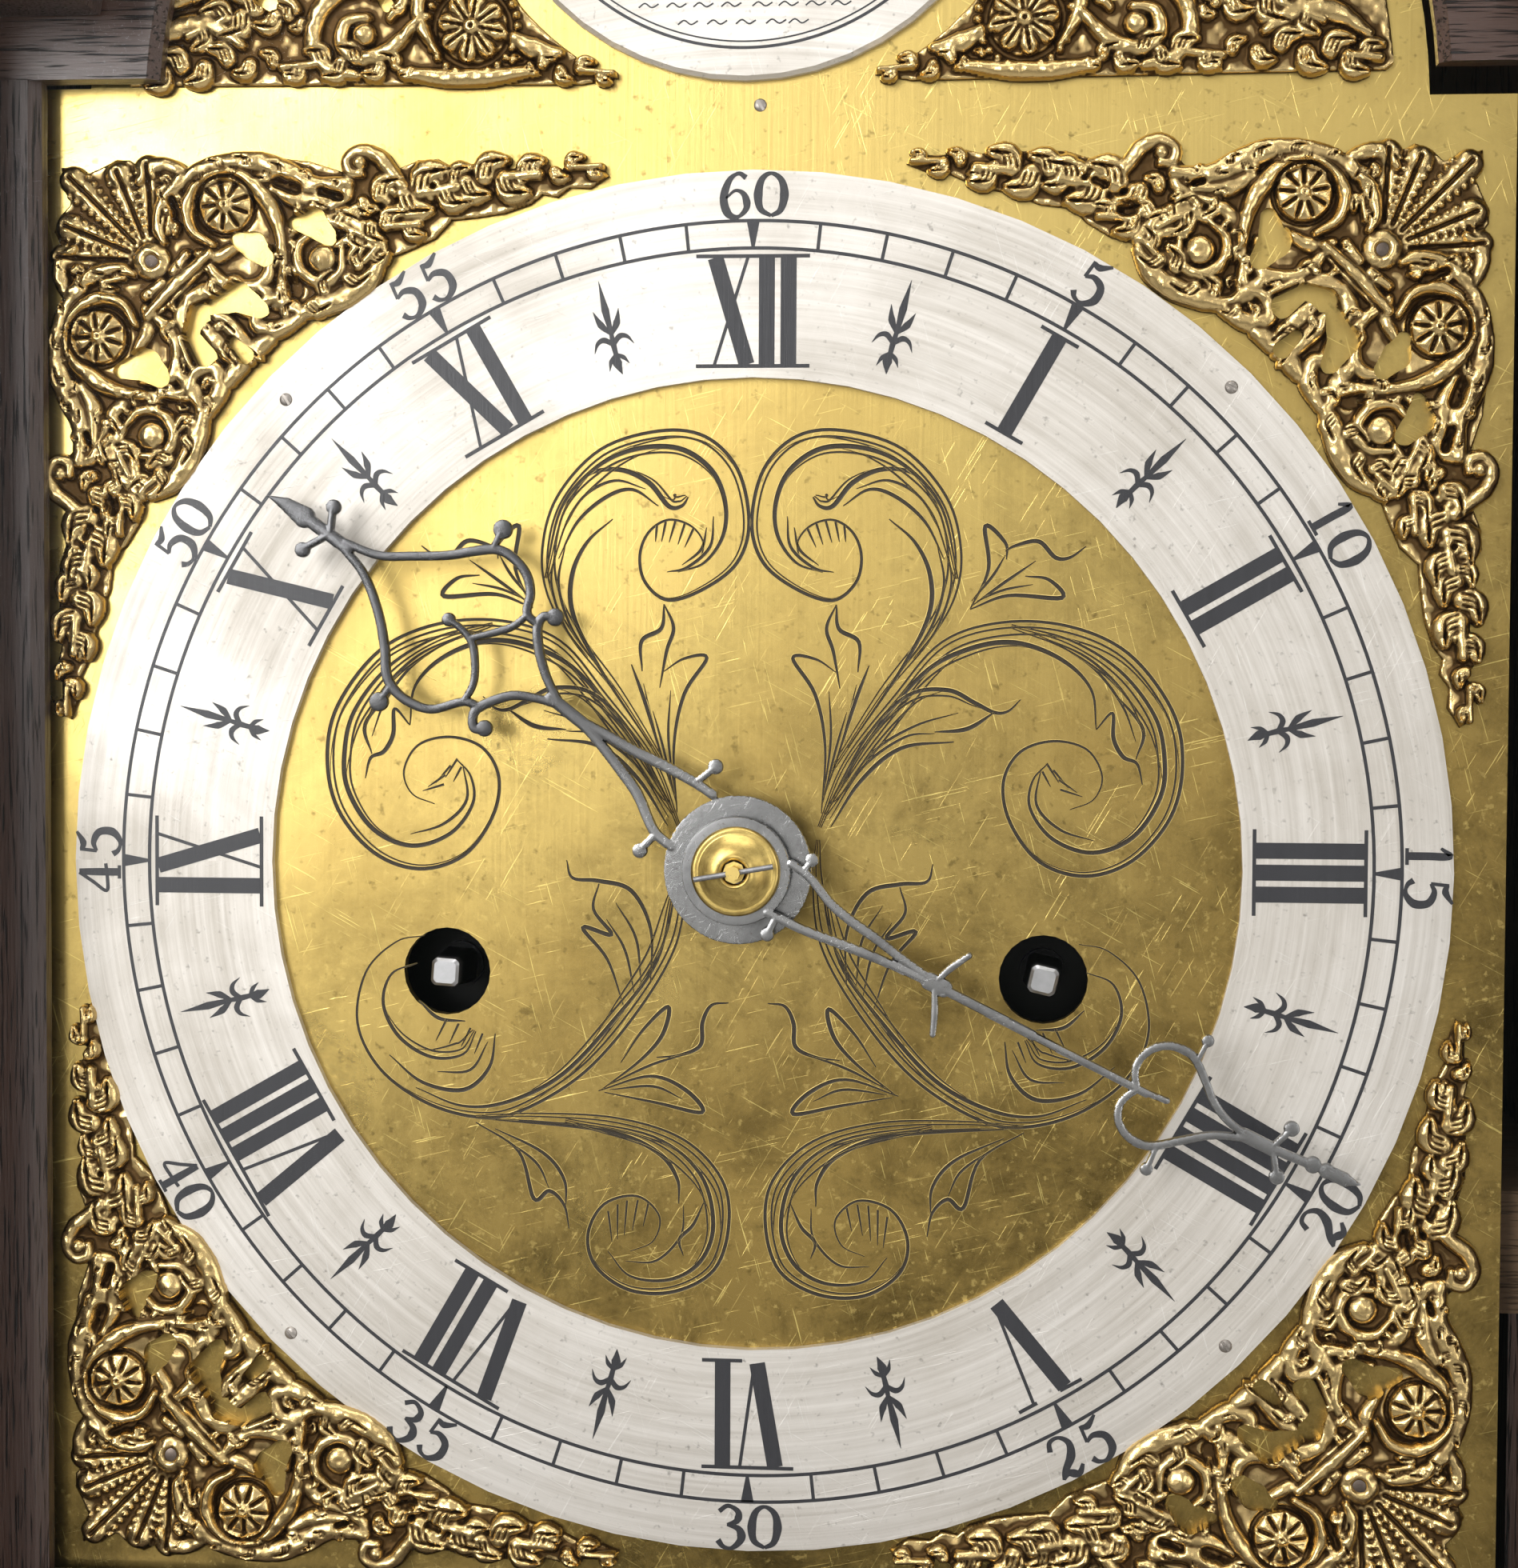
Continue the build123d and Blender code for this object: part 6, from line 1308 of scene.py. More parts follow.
class CLOCK_OT_dial_engraving(bpy.types.Operator):
    """Cut the leaf scrolls into the dial centre"""

    bl_idname = "clock.dial_engraving"
    bl_label = "Dial centre engraving"

    def execute(self, context):
        widest = context.scene.clock_sizes.cut_width / MM / 2
        for number, side in ((1, 1), (2, -1)):
            cuts = Strips(CUT, (RING_X, RING_Z), PLATE_FACE)
            for width, line in CENTRE_CUTS:
                smooth = through(line, 7) * (side, 1) + (CENTRE_AXIS, 0)
                cuts.add(smooth, widest * width * swell(len(smooth), *SCROLL_WIDTHS))
                if len(line) < SHORTEST_ACCOMPANIED:
                    continue
                for place, reach in enumerate(COMPANION_REACHES):
                    beside = companion(smooth, COMPANION_GAP * (place + 1), reach)
                    cuts.add(beside, widest * COMPANION_WIDTH * swell(len(beside), *COMPANION_WIDTHS))
            for line in SPIRAL_TEETH:
                smooth = through(line, 3) * (side, 1) + (CENTRE_AXIS, 0)
                cuts.add(smooth, widest * TOOTH_WIDTH * swell(len(smooth), *TOOTH_WIDTHS))
            finish_piece(cuts.piece(f"engraved_scrolls_{number}"), dial_body(), "engraved cut", "dial_brass")
        return {"FINISHED"}


# Roundel

ROUNDEL_HILLS = (
    ((-33, 2), (-24, 6), (-15, 3), (-6, 8), (4, 5), (14, 9), (24, 4), (33, 3)),
    ((-31, -8), (-20, -5), (-9, -9), (2, -6), (13, -8), (25, -5), (31, -8)),
    ((-27, -17), (-14, -14), (0, -17), (12, -14), (26, -18)),
)


ROUNDEL_BORDERS = ((4.6, 0.22), (5.5, 0.12))
WATER_TOP = -21.5
WATER_STEP = 2.5
WATER_INSET = 6.5
WAVE = ((0.0, 0.0), (0.9, 0.6), (1.9, 0.0), (2.9, 0.5))
WAVE_PITCH = 3.9
TREES = ((-22, 13), (19, 16), (25, 10))
TREE_FOOT = 4
TREE_LEAVES = 34
TREE_LEAF = ((0.0, 0.0), (0.7, 0.5), (1.3, 0.0))


def engrave_hills(lines, chance):
    """Lines of hills, shaded below with short strokes."""
    for hill in ROUNDEL_HILLS:
        smooth = through(hill, 6)
        lines.add(smooth, 0.16)
        for spot in smooth[::3]:
            lean = chance.uniform(0.4, 1.4)
            lines.add([spot + (0, -0.4), spot + (lean, -chance.uniform(1.4, 3.2))], (0.10, 0.04))


def engrave_water(lines, chance, rim):
    """Rows of ripples at the foot of the roundel."""
    for row in range(5):
        level = WATER_TOP - row * WATER_STEP
        reach = math.sqrt(max((rim - WATER_INSET) ** 2 - level**2, 1.0))
        for start in np.arange(-reach, reach - 3, WAVE_PITCH):
            begin = start + chance.uniform(0, 1.2)
            lines.add(through(np.add(WAVE, (begin, level)), 4), 0.11)


def engrave_trees(lines, chance):
    """Trunks with leaves scattered round their tops."""
    for trunk, tall in TREES:
        top = TREE_FOOT + tall
        stem = [(trunk, TREE_FOOT), (trunk + 0.5, TREE_FOOT + tall / 2), (trunk, top)]
        lines.add(stem, (0.5, 0.35, 0.15))
        for _ in range(TREE_LEAVES):
            turn = chance.uniform(0, 2 * math.pi)
            reach = chance.uniform(0.5, tall * 0.34)
            spot = (trunk + reach * math.cos(turn), top + reach * math.sin(turn) * 0.8)
            lines.add(through(np.add(TREE_LEAF, spot), 4), 0.12)


class CLOCK_OT_roundel_engraving(bpy.types.Operator):
    """Cut the border and a plain landscape into the arch roundel"""

    bl_idname = "clock.roundel_engraving"
    bl_label = "Roundel engraving"

    def execute(self, context):
        low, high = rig.box("roundel")
        rim = (high.x - low.x) / 2 / MM
        lines = Strips(FLAT, ((low.x + high.x) / 2, (low.z + high.z) / 2), low.y)
        for inset, half in ROUNDEL_BORDERS:
            lines.add(unit_circle(180) * (rim - inset), half)
        chance = np.random.default_rng(4)
        engrave_hills(lines, chance)
        engrave_water(lines, chance, rim)
        engrave_trees(lines, chance)
        finish_piece(lines.piece("roundel_engraving"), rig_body("roundel"), "black wax", "roundel_silver")
        return {"FINISHED"}


# Dial plate

SHOULDER_RISE = 3.3 * MM
SHOULDER_END = RING_X - 80.0 * MM
EDGE_BAND = 1.0 * MM
TOP_BAND = 0.4 * MM


class CLOCK_OT_dial_plate(bpy.types.Operator):
    """Raise the dial plate's top left shoulder, which stands a little higher than the right one"""

    bl_idname = "clock.dial_plate"
    bl_label = "Dial plate"

    def execute(self, context):
        solid = frame["nodes"]["dial_plate"]
        mesh = solid.data.copy()
        mesh.transform(solid.matrix_world)
        left = min(v.co.x for v in mesh.vertices) + EDGE_BAND
        top = max(v.co.z for v in mesh.vertices if v.co.x < left)
        for v in mesh.vertices:
            if v.co.x < SHOULDER_END and abs(v.co.z - top) < TOP_BAND:
                v.co.z += SHOULDER_RISE
        piece = bpy.data.objects.new("dial_plate_raised", mesh)
        context.scene.collection.objects.link(piece)
        finish_piece(piece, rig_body("dial_plate"), "dial brass", "dial_brass", "dial_plate", smooth=20)
        return {"FINISHED"}


# Castings

GRID_STEP = 0.2
STROKE_SPREAD = 1.3
FOOT_RISE = 0.5
CROWN_RISE = 0.2
LEAF_RISE = (1.3, 1.5)
CHASING = {"size": 0.9, "amount": 0.16, "seed": 5}
CASTING_HEIGHT = 3.6
CASTING_RIM = 0.5


def draw_ornament(relief, strokes, leaves, both_ways):
    """Draw a casting's strokes and leaves, and both ways also mirrored about a corner's diagonal."""
    for line, widths, foot, crown in strokes:
        smooth, half = along(line, [w * STROKE_SPREAD for w in widths])
        for drawn in (smooth, smooth[:, ::-1])[: 1 + both_ways]:
            relief.stroke(drawn, half, foot + FOOT_RISE, crown + CROWN_RISE)
    for line, reach, pairs in leaves:
        spine = np.asarray(line)
        for drawn in (spine, spine[:, ::-1])[: 1 + both_ways]:
            relief.leaf(drawn, reach, pairs, *LEAF_RISE)


def cast(relief, openings):
    """Saw a casting's openings, chase its surface, level its highest points and soften it."""
    for line, half in openings:
        relief.opening(line, half)
    relief.chase(**CHASING)
    relief.height = np.minimum(relief.height, CASTING_HEIGHT)
    relief.soften(1)
    return relief


# Corner castings, drawn for the top right corner in millimetres from the ring's middle

# Each stroke: its line, half widths, foot and crown
ARM = (
    (((51.0, 99.0), (53.0, 101.4), (54.6, 103.4), (57.2, 104.2), (59.2, 103.0), (58.8, 101.2),
        (57.2, 101.0)), (0.9, 1.0, 1.0, 1.0, 0.9, 0.8, 0.6), 0.8, 1.3),
    (((57.4, 102.5),), (0.9,), 1.2, 1.2),
    (((59.0, 100.8), (59.6, 98.0), (61.6, 96.2)), (0.7, 1.0, 0.7), 0.7, 1.1),
    (((54.0, 90.2), (57.2, 93.2), (61.4, 94.2), (64.2, 92.8)), (0.7, 1.2, 1.2, 0.6), 0.7, 1.2),
    (((54.4, 89.8), (58.4, 91.4), (60.8, 90.6)), (0.5, 0.9, 0.5), 0.7, 1.1),
    (((54.2, 88.8), (56.0, 85.6), (59.4, 83.2), (63.4, 81.8), (66.2, 80.8)), (0.8, 1.2, 1.4, 1.4, 0.9),
        0.8, 1.3),
    (((57.0, 88.0), (60.0, 86.6), (62.0, 84.6)), (0.6, 1.0, 0.7), 0.6, 1.0),
    (((60.0, 90.0), (60.2, 86.8), (63.0, 85.2), (66.2, 87.0), (66.6, 90.4), (64.4, 92.4)),
        (0.5, 0.7, 0.8, 0.8, 0.7, 0.4), 0.8, 1.3),
    (((62.9, 88.6),), (1.7,), 1.2, 1.3),
    (((62.0, 96.4), (66.0, 94.6), (68.4, 91.6), (68.6, 87.8), (69.2, 84.0)), (0.5, 0.9, 1.0, 0.9, 0.7),
        0.7, 1.1),
    (((59.2, 99.6), (64.0, 99.2), (68.0, 100.8), (72.0, 102.6), (77.0, 102.8), (81.6, 101.6),
        (84.6, 99.0)), (0.9, 1.3, 1.6, 1.4, 1.2, 1.1, 0.8), 0.8, 1.4),
    (((62.0, 97.4), (66.4, 97.4), (70.2, 99.0)), (0.7, 1.3, 0.8), 0.7, 1.2),
    (((68.8, 89.6), (69.4, 93.4), (71.2, 97.2), (74.2, 100.2), (77.8, 101.2), (81.4, 99.6), (83.2, 96.4),
        (82.2, 92.8), (79.2, 90.8)), (0.7, 0.9, 1.1, 1.0, 0.9, 0.8, 0.8, 0.7, 0.5), 1.0, 1.5),
    (((71.0, 90.0), (71.0, 86.6), (73.0, 84.8), (77.6, 85.2), (80.4, 88.2)), (0.6, 0.9, 1.0, 0.9, 0.7),
        0.7, 1.2),
    (((75.0, 91.0), (78.6, 89.2), (81.6, 89.6)), (0.6, 1.0, 0.6), 0.7, 1.1),
    (((66.0, 81.0), (69.6, 82.6), (72.0, 84.4)), (0.9, 1.3, 0.9), 0.7, 1.2),
    (((66.4, 80.2), (69.8, 78.4), (72.8, 79.2), (72.0, 82.0), (69.6, 83.0)), (0.9, 1.2, 1.0, 0.9, 0.6),
        0.8, 1.2),
    (((72.6, 80.2), (76.4, 82.2), (80.2, 84.0), (83.0, 83.0)), (0.7, 1.1, 1.2, 0.9), 0.7, 1.2),
    (((71.0, 77.0), (74.0, 75.2), (75.6, 75.6)), (1.0, 1.5, 1.2), 0.7, 1.2),
    (((74.0, 76.0), (77.0, 79.0), (80.0, 81.6)), (0.9, 1.2, 0.8), 0.7, 1.2),
    (((84.0, 100.6), (86.6, 97.2), (87.4, 93.4), (86.6, 91.2)), (0.8, 1.0, 0.9, 0.5), 0.9, 1.4),
    (((82.0, 100.0), (85.0, 102.0), (88.2, 102.4), (90.4, 100.2)), (0.6, 1.0, 1.1, 0.6), 0.7, 1.2),
    (((83.4, 89.4), (85.0, 87.0)), (0.7, 0.9), 0.8, 1.2),
)
# Each leaf: its line, reach and pairs of lobes
CORNER_LEAVES = (
    (((34.0, 100.2), (28.0, 101.4), (21.8, 101.7)), 1.9, 4),
    (((46.0, 99.4), (39.0, 100.0), (31.0, 100.6)), 3.2, 5),
    (((57.0, 97.2), (50.0, 98.0), (43.0, 98.8)), 3.6, 4),
    (((60.5, 95.6), (55.0, 93.4), (48.6, 93.6)), 2.5, 4),
    (((70.8, 79.2), (64.0, 82.6), (58.0, 87.0), (54.6, 90.2)), 2.5, 6),
    (((60.6, 99.0), (68.0, 100.8), (76.0, 102.2), (84.0, 100.6)), 1.7, 9),
    (((66.4, 96.4), (62.0, 94.4), (57.0, 92.0)), 2.4, 4),
    (((84.4, 88.4), (78.6, 85.0), (73.0, 82.6)), 2.0, 4),
    (((80.4, 80.4), (77.0, 77.0), (73.6, 73.6)), 2.2, 3),
    (((88.0, 102.0), (85.6, 97.6), (86.0, 92.6)), 1.7, 5),
    (((66.8, 92.6), (68.6, 88.4), (68.2, 83.4)), 1.7, 4),
)
SHELL_TURNS = (3.0, 22.0, 45.0, 68.0, 87.0)
SHELL_REACH = 15.2
MIDDLE_SHELL_REACH = 18.6
SCREW_MIDDLE = np.array([88.5, 88.5])
WHORLS = ((77.5, 96.6), (96.6, 77.5))
ROSETTES = ((97.0, 52.0), (99.0, 46.5), (52.0, 97.0), (46.5, 99.0))
BAR_ENDS = ((80.4, 89.0), (89.4, 79.8))
PIT_DEPTH = 1.6


CORNER_EDGE = (
    (21.0, 101.4), (22.0, 102.7), (26.0, 102.6), (29.5, 103.4), (33.5, 102.4), (36.5, 103.0), (44.0, 103.0),
    (48.5, 101.6), (52.0, 101.2), (54.0, 103.0), (56.8, 104.3), (59.0, 102.8), (61.0, 100.6), (64.0, 101.0),
    (68.0, 102.6), (73.0, 103.4), (78.0, 103.0), (83.0, 101.2), (85.5, 102.4), (88.0, 102.9), (90.5, 102.2),
    (93.0, 103.6), (95.5, 102.6), (97.0, 101.0), (100.5, 102.0), (102.5, 102.6), (102.6, 101.2),
    (101.2, 99.4), (102.4, 96.4), (103.6, 94.0), (103.4, 92.0), (102.0, 90.2), (103.4, 88.0), (102.8, 85.6),
    (102.0, 83.6), (102.6, 81.4), (101.6, 79.6), (102.8, 75.0), (103.6, 70.0), (103.0, 65.0), (101.4, 60.0),
    (100.4, 57.4), (102.6, 56.4), (103.0, 54.6), (101.4, 53.0), (103.0, 49.0), (103.2, 46.0), (101.8, 43.6),
    (102.4, 40.5), (102.8, 37.5), (101.6, 35.4), (102.0, 32.6), (102.6, 30.6), (101.4, 27.6), (102.4, 24.6),
    (101.6, 21.6), (100.4, 20.8), (98.6, 23.6), (98.8, 26.5), (97.4, 28.4), (97.8, 30.6), (96.4, 32.4),
    (95.2, 36.0), (94.6, 40.0), (94.2, 44.0), (91.6, 46.4), (90.0, 50.0), (88.6, 53.6), (86.0, 55.4),
    (83.6, 59.5), (82.2, 62.6), (82.4, 65.0), (79.6, 66.4), (78.6, 69.0), (75.2, 70.8), (72.2, 74.8),
    (71.0, 77.4), (68.0, 79.0), (65.2, 81.0), (61.2, 82.4), (57.8, 84.9), (55.2, 87.2), (54.2, 89.8),
    (50.4, 90.6), (46.8, 92.8), (44.8, 94.8), (40.2, 95.4), (36.2, 97.0), (31.2, 98.0), (27.4, 99.8),
    (24.0, 100.2),
)
CORNER_OPENINGS = (
    (((71.4, 87.2), (73.4, 89.8), (72.6, 93.4)), (1.5, 2.5, 1.2)),
    (((74.6, 80.6), (77.8, 82.8), (80.6, 81.4)), (1.7, 1.1, 1.8)),
    (((81.4, 72.4), (83.2, 75.6), (81.8, 79.4)), (1.4, 2.3, 1.3)),
    (((88.8, 71.4), (90.8, 73.6), (91.8, 76.0)), (1.3, 2.1, 1.1)),
    (((92.0, 62.2), (94.0, 64.4), (94.0, 67.4)), (1.4, 2.2, 1.0)),
    (((74.6, 74.4), (76.8, 76.6)), (1.3, 0.8)),
)
CORNER_PITS = (
    (((52.4, 94.4), (53.2, 94.8)), 1.5), (((67.0, 83.0), (67.6, 86.4)), 1.5),
    (((84.0, 67.0), (85.4, 67.4)), 1.4), (((99.0, 67.0), (99.8, 69.4)), 1.4),
    (((48.0, 98.6), (49.4, 98.0)), 0.8), (((97.6, 60.4), (98.4, 63.0)), 0.9),
    (((94.6, 84.2), (97.4, 85.4)), 0.8), (((62.0, 98.0), (63.2, 98.4)), 0.6),
)


def shell(relief, turn):
    """One lobe of the shell round the screw, with a row of beads on each side."""
    out = towards(turn)
    reach = MIDDLE_SHELL_REACH if turn == 45.0 else SHELL_REACH
    relief.stroke([SCREW_MIDDLE + out * 3.0, SCREW_MIDDLE + out * (reach - 2.4)], (0.9, 2.3), 0.8, 1.0)
    relief.stroke([SCREW_MIDDLE + out * (reach - 1.6)], (2.2,), 0.9, 1.5)
    relief.groove([SCREW_MIDDLE + out * 4.0, SCREW_MIDDLE + out * (reach - 1.0)], 0.5, 0.9)
    for bead in np.arange(5.0, reach - 2.0, 1.35):
        for lean in (-7.5, 7.5):
            relief.stroke([SCREW_MIDDLE + bead * towards(turn + lean)], (0.5,), 0.9, 1.2)


def whorl(relief, place):
    """A round boss with a ring of slots and a pierced button."""
    relief.stroke([place], (4.3,), 1.2, 1.3)
    for slot in range(9):
        out = towards(40 * slot + 12)
        relief.groove([place + out * 1.5, place + out * 3.4], 0.42, 0.9)
    relief.groove(spiral(place, 4.3, 4.3, 0, 360), 0.45, 1.2)
    relief.stroke([place], (0.9,), 2.2, 0.9)
    relief.groove([place], 0.45, 0.7)


def rosette(relief, place):
    """A small flower of five petals."""
    for petal in range(5):
        relief.stroke([place + 1.5 * towards(72 * petal + 18)], (1.0,), 1.2, 1.1)
    relief.groove([place], 0.6, 1.3)


def corner_relief():
    """The relief of one corner casting."""
    relief = Relief((20.0, 20.0), (105.5, 105.5), GRID_STEP)
    relief.sheet(CORNER_EDGE, 1.15)
    draw_ornament(relief, ARM, CORNER_LEAVES, True)
    for turn in SHELL_TURNS:
        shell(relief, turn)
    start, end = BAR_ENDS
    relief.stroke([start, (84.8, 84.8), end], (1.0, 1.7, 1.0), 1.4, 1.7)
    for place in BAR_ENDS:
        relief.stroke([place], (1.4,), 1.2, 1.4)
    relief.groove([(81.0, 87.6), (88.6, 79.6)], 0.3, 0.7)
    for place in WHORLS:
        whorl(relief, np.array(place))
    relief.stroke([SCREW_MIDDLE], (2.9,), 1.6, 1.2)
    relief.groove([SCREW_MIDDLE], 1.5, 1.4)
    for place in ROSETTES:
        rosette(relief, np.array(place))
    for line, half in CORNER_PITS:
        relief.groove(line, half, PIT_DEPTH)
    return cast(relief, CORNER_OPENINGS)


SCREW_FLATNESS = 0.42
SLOT_SIZE = (6.0 * MM, 1.2 * MM, 0.45 * MM)
SLOT_FORWARD = 0.75 * MM
SLOT_TURN = 1.2


def rounded_screws(name, spots, radius, face, seed):
    """Domed heads with slots that lie at random, one at each spot of the dial."""
    tree, given, keys = scatter_tree(name, (("Radius", "Float"),))
    round_size = {"Segments": 28, "Rings": 12, "Radius": given["Radius"]}
    ball = add_node(tree, "GeometryNodeMeshUVSphere", round_size)
    flattened = {"Geometry": ball.outputs[0], "Scale": (1.0, SCREW_FLATNESS, 1.0)}
    dome = add_node(tree, "GeometryNodeTransform", flattened)
    blade = add_node(tree, "GeometryNodeMeshCube", {"Size": SLOT_SIZE})
    forward = {"Geometry": blade.outputs[0], "Translation": (0.0, -SLOT_FORWARD, 0.0)}
    slot = add_node(tree, "GeometryNodeTransform", forward)
    meshes = {"Mesh 1": dome.outputs[0], "Mesh 2": slot.outputs[0]}
    head = add_node(tree, "GeometryNodeMeshBoolean", meshes, operation="DIFFERENCE")
    limits = {2: -SLOT_TURN, 3: SLOT_TURN, "Seed": seed}
    angle = add_node(tree, "FunctionNodeRandomValue", limits, data_type="FLOAT")
    rotation = add_node(tree, "ShaderNodeCombineXYZ", {0: 0.0, 1: angle.outputs[1], 2: 0.0})
    scatter(tree, given, given["Geometry"], head.outputs[0], rotation.outputs[0])
    values = {"Radius": radius, "Material": bpy.data.materials["grey steel"]}
    return settle(name, [(x, face, z) for x, z in spots], tree, keys, values)


CORNER_SCREWS = ((89.5, 88.6), (-88.8, 88.3), (-86.5, -88.9), (88.6, -88.3))


RING_PINS = ((-68.8, 68.0), (68.6, 69.3), (-68.3, -70.2), (69.3, -68.6))
PIN_RADIUS = 0.95 * MM
ROUNDEL_PIN_RIGHT = 2.0 * MM
ROUNDEL_PIN_BELOW = 3.3 * MM
SCREW_FACE = PLATE_FACE - 1.6 * MM
CORNERS = ("top_right", "top_left", "bottom_left", "bottom_right")


def on_ring(spots):
    """Places in millimetres from the ring's middle, in metres."""
    return [(RING_X + x * MM, RING_Z + z * MM) for x, z in spots]


class CLOCK_OT_corner_castings(bpy.types.Operator):
    """Cast the four corner spandrels, set their screws and rivet the ring's and the roundel's pins"""

    bl_idname = "clock.corner_castings"
    bl_label = "Corner castings"

    def execute(self, context):
        relief = corner_relief()
        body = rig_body("corner_spandrels")
        for quarter, (name, screw) in enumerate(zip(CORNERS, CORNER_SCREWS)):
            cosine, sine = towards(90 * quarter)
            drawn = SCREW_MIDDLE * (cosine - sine, sine + cosine)
            place = on_dial(on_ring([screw - drawn])[0], PLATE_FACE, 90 * quarter)
            piece = relief.piece("spandrel_" + name, place, CASTING_RIM, back=False)
            nodes = ("corner_spandrels",) if quarter == 0 else ()
            finish_piece(piece, body, "cast brass", "cast_brass", *nodes, smooth=60)
        radius = context.scene.clock_sizes.screw_head
        heads = rounded_screws("spandrel_screws", on_ring(CORNER_SCREWS), radius, SCREW_FACE, 7)
        finish_piece(heads, body, "dark steel", "steel", smooth=35)
        pins = rounded_screws("ring_pins", on_ring(RING_PINS), PIN_RADIUS, RING_FACE, 3)
        finish_piece(pins, dial_body(), "ring pin steel", "steel", smooth=35)
        low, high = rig.box("roundel")
        below = [((low.x + high.x) / 2 + ROUNDEL_PIN_RIGHT, low.z - ROUNDEL_PIN_BELOW)]
        pin = rounded_screws("roundel_pin", below, PIN_RADIUS, PLATE_FACE, 3)
        finish_piece(pin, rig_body("roundel"), "ring pin steel", "steel", smooth=35)
        return {"FINISHED"}


# Arch castings, drawn for the right side in millimetres from the middle of the plate's top edge

# Each stroke: its line, half widths, foot and crown
ARCH = (
    (((27.0, 7.2), (31.0, 8.0), (34.4, 9.8)), (0.6, 1.3, 0.8), 0.7, 1.2),
    (((32.0, 4.6), (38.0, 3.9), (44.0, 3.9), (50.0, 4.6)), (0.8, 1.1, 1.1, 0.8), 0.8, 1.2),
    (((48.0, 12.0), (52.0, 8.0), (56.0, 6.8), (59.0, 8.8), (58.4, 12.0), (55.4, 12.6)),
        (0.7, 1.1, 1.1, 1.0, 0.9, 0.7), 0.9, 1.5),
    (((55.8, 10.2),), (1.4,), 1.2, 1.5),
    (((50.0, 16.0), (54.0, 18.0), (59.0, 17.0), (62.6, 13.4), (63.4, 9.0), (61.2, 5.4), (57.0, 4.4)),
        (0.8, 1.2, 1.3, 1.2, 1.1, 1.0, 0.7), 0.8, 1.4),
    (((74.0, 9.0), (79.0, 12.0), (84.0, 11.4), (88.4, 8.4)), (0.7, 1.4, 1.3, 0.7), 0.8, 1.4),
    (((66.0, 14.0), (70.0, 18.0), (76.0, 18.8), (81.0, 16.0)), (0.8, 1.4, 1.4, 0.9), 0.8, 1.4),
    (((81.0, 16.0), (85.0, 15.4), (88.4, 17.8), (87.4, 21.4), (84.0, 21.8)), (0.7, 1.1, 1.1, 1.0, 0.7),
        0.8, 1.4),
    (((60.0, 18.0), (63.4, 23.0), (68.0, 25.6), (74.0, 25.0), (79.0, 22.0)), (0.8, 1.3, 1.3, 1.3, 0.8),
        0.8, 1.4),
    (((47.0, 17.0), (50.0, 22.0), (55.0, 25.4), (60.4, 26.0)), (0.7, 1.3, 1.3, 0.8), 0.8, 1.4),
    (((51.0, 20.0), (54.6, 27.0), (55.4, 34.0), (53.0, 41.0), (48.4, 48.0), (42.0, 54.4)),
        (0.8, 1.3, 1.3, 1.3, 1.1, 0.6), 0.8, 1.4),
    (((57.0, 27.0), (61.4, 33.0), (66.4, 35.0), (71.6, 33.0), (73.6, 28.6)), (0.7, 1.2, 1.3, 1.1, 0.7),
        0.8, 1.4),
    (((66.0, 30.0),), (2.6,), 1.1, 1.5),
    (((75.0, 24.0), (80.0, 26.6), (81.0, 32.0), (77.0, 38.0)), (0.8, 1.2, 1.2, 0.8), 0.8, 1.4),
    (((56.0, 34.0), (59.4, 41.0), (65.0, 44.0), (71.0, 42.4), (74.6, 38.6)), (0.8, 1.2, 1.4, 1.2, 0.8),
        0.8, 1.4),
    (((50.0, 46.0), (55.0, 50.6), (61.0, 51.4), (66.0, 47.4)), (0.7, 1.3, 1.3, 0.7), 0.8, 1.4),
    (((43.0, 53.6), (47.0, 58.0), (53.0, 59.4), (58.0, 55.4)), (0.6, 1.1, 1.2, 0.7), 0.8, 1.3),
    (((33.0, 62.4), (38.0, 60.4), (43.4, 57.4), (47.0, 53.4)), (0.6, 1.1, 1.2, 0.8), 0.8, 1.3),
    (((45.0, 7.6), (47.6, 11.8), (47.6, 16.0), (44.6, 19.4), (40.0, 20.4)), (0.6, 0.9, 1.0, 0.9, 0.6),
        0.9, 1.2),
    (((52.0, 12.6), (50.0, 15.4), (50.8, 19.0)), (0.6, 1.0, 0.7), 0.8, 1.2),
)
# Each leaf: its line, reach and pairs of lobes
ARCH_LEAVES = (
    (((34.0, 6.0), (27.0, 5.0), (19.2, 4.2)), 1.9, 5),
    (((49.0, 5.2), (58.0, 6.4), (68.0, 5.6)), 2.6, 6),
    (((66.0, 5.6), (75.0, 6.6), (84.0, 5.6), (90.0, 5.0)), 2.8, 7),
    (((65.0, 12.4), (73.0, 13.6), (82.0, 10.4)), 3.0, 6),
    (((50.0, 14.0), (55.0, 18.6), (62.0, 17.6)), 2.4, 5),
    (((60.0, 18.0), (68.0, 24.6), (79.0, 22.6)), 2.8, 7),
    (((51.0, 22.0), (55.4, 32.0), (52.0, 43.0), (44.0, 53.0)), 2.8, 9),
    (((57.0, 27.0), (65.0, 35.0), (73.6, 29.0)), 2.6, 6),
    (((56.0, 36.0), (63.0, 43.6), (73.0, 40.0)), 2.6, 6),
    (((36.0, 61.4), (44.0, 57.0), (54.0, 56.0)), 2.2, 6),
)


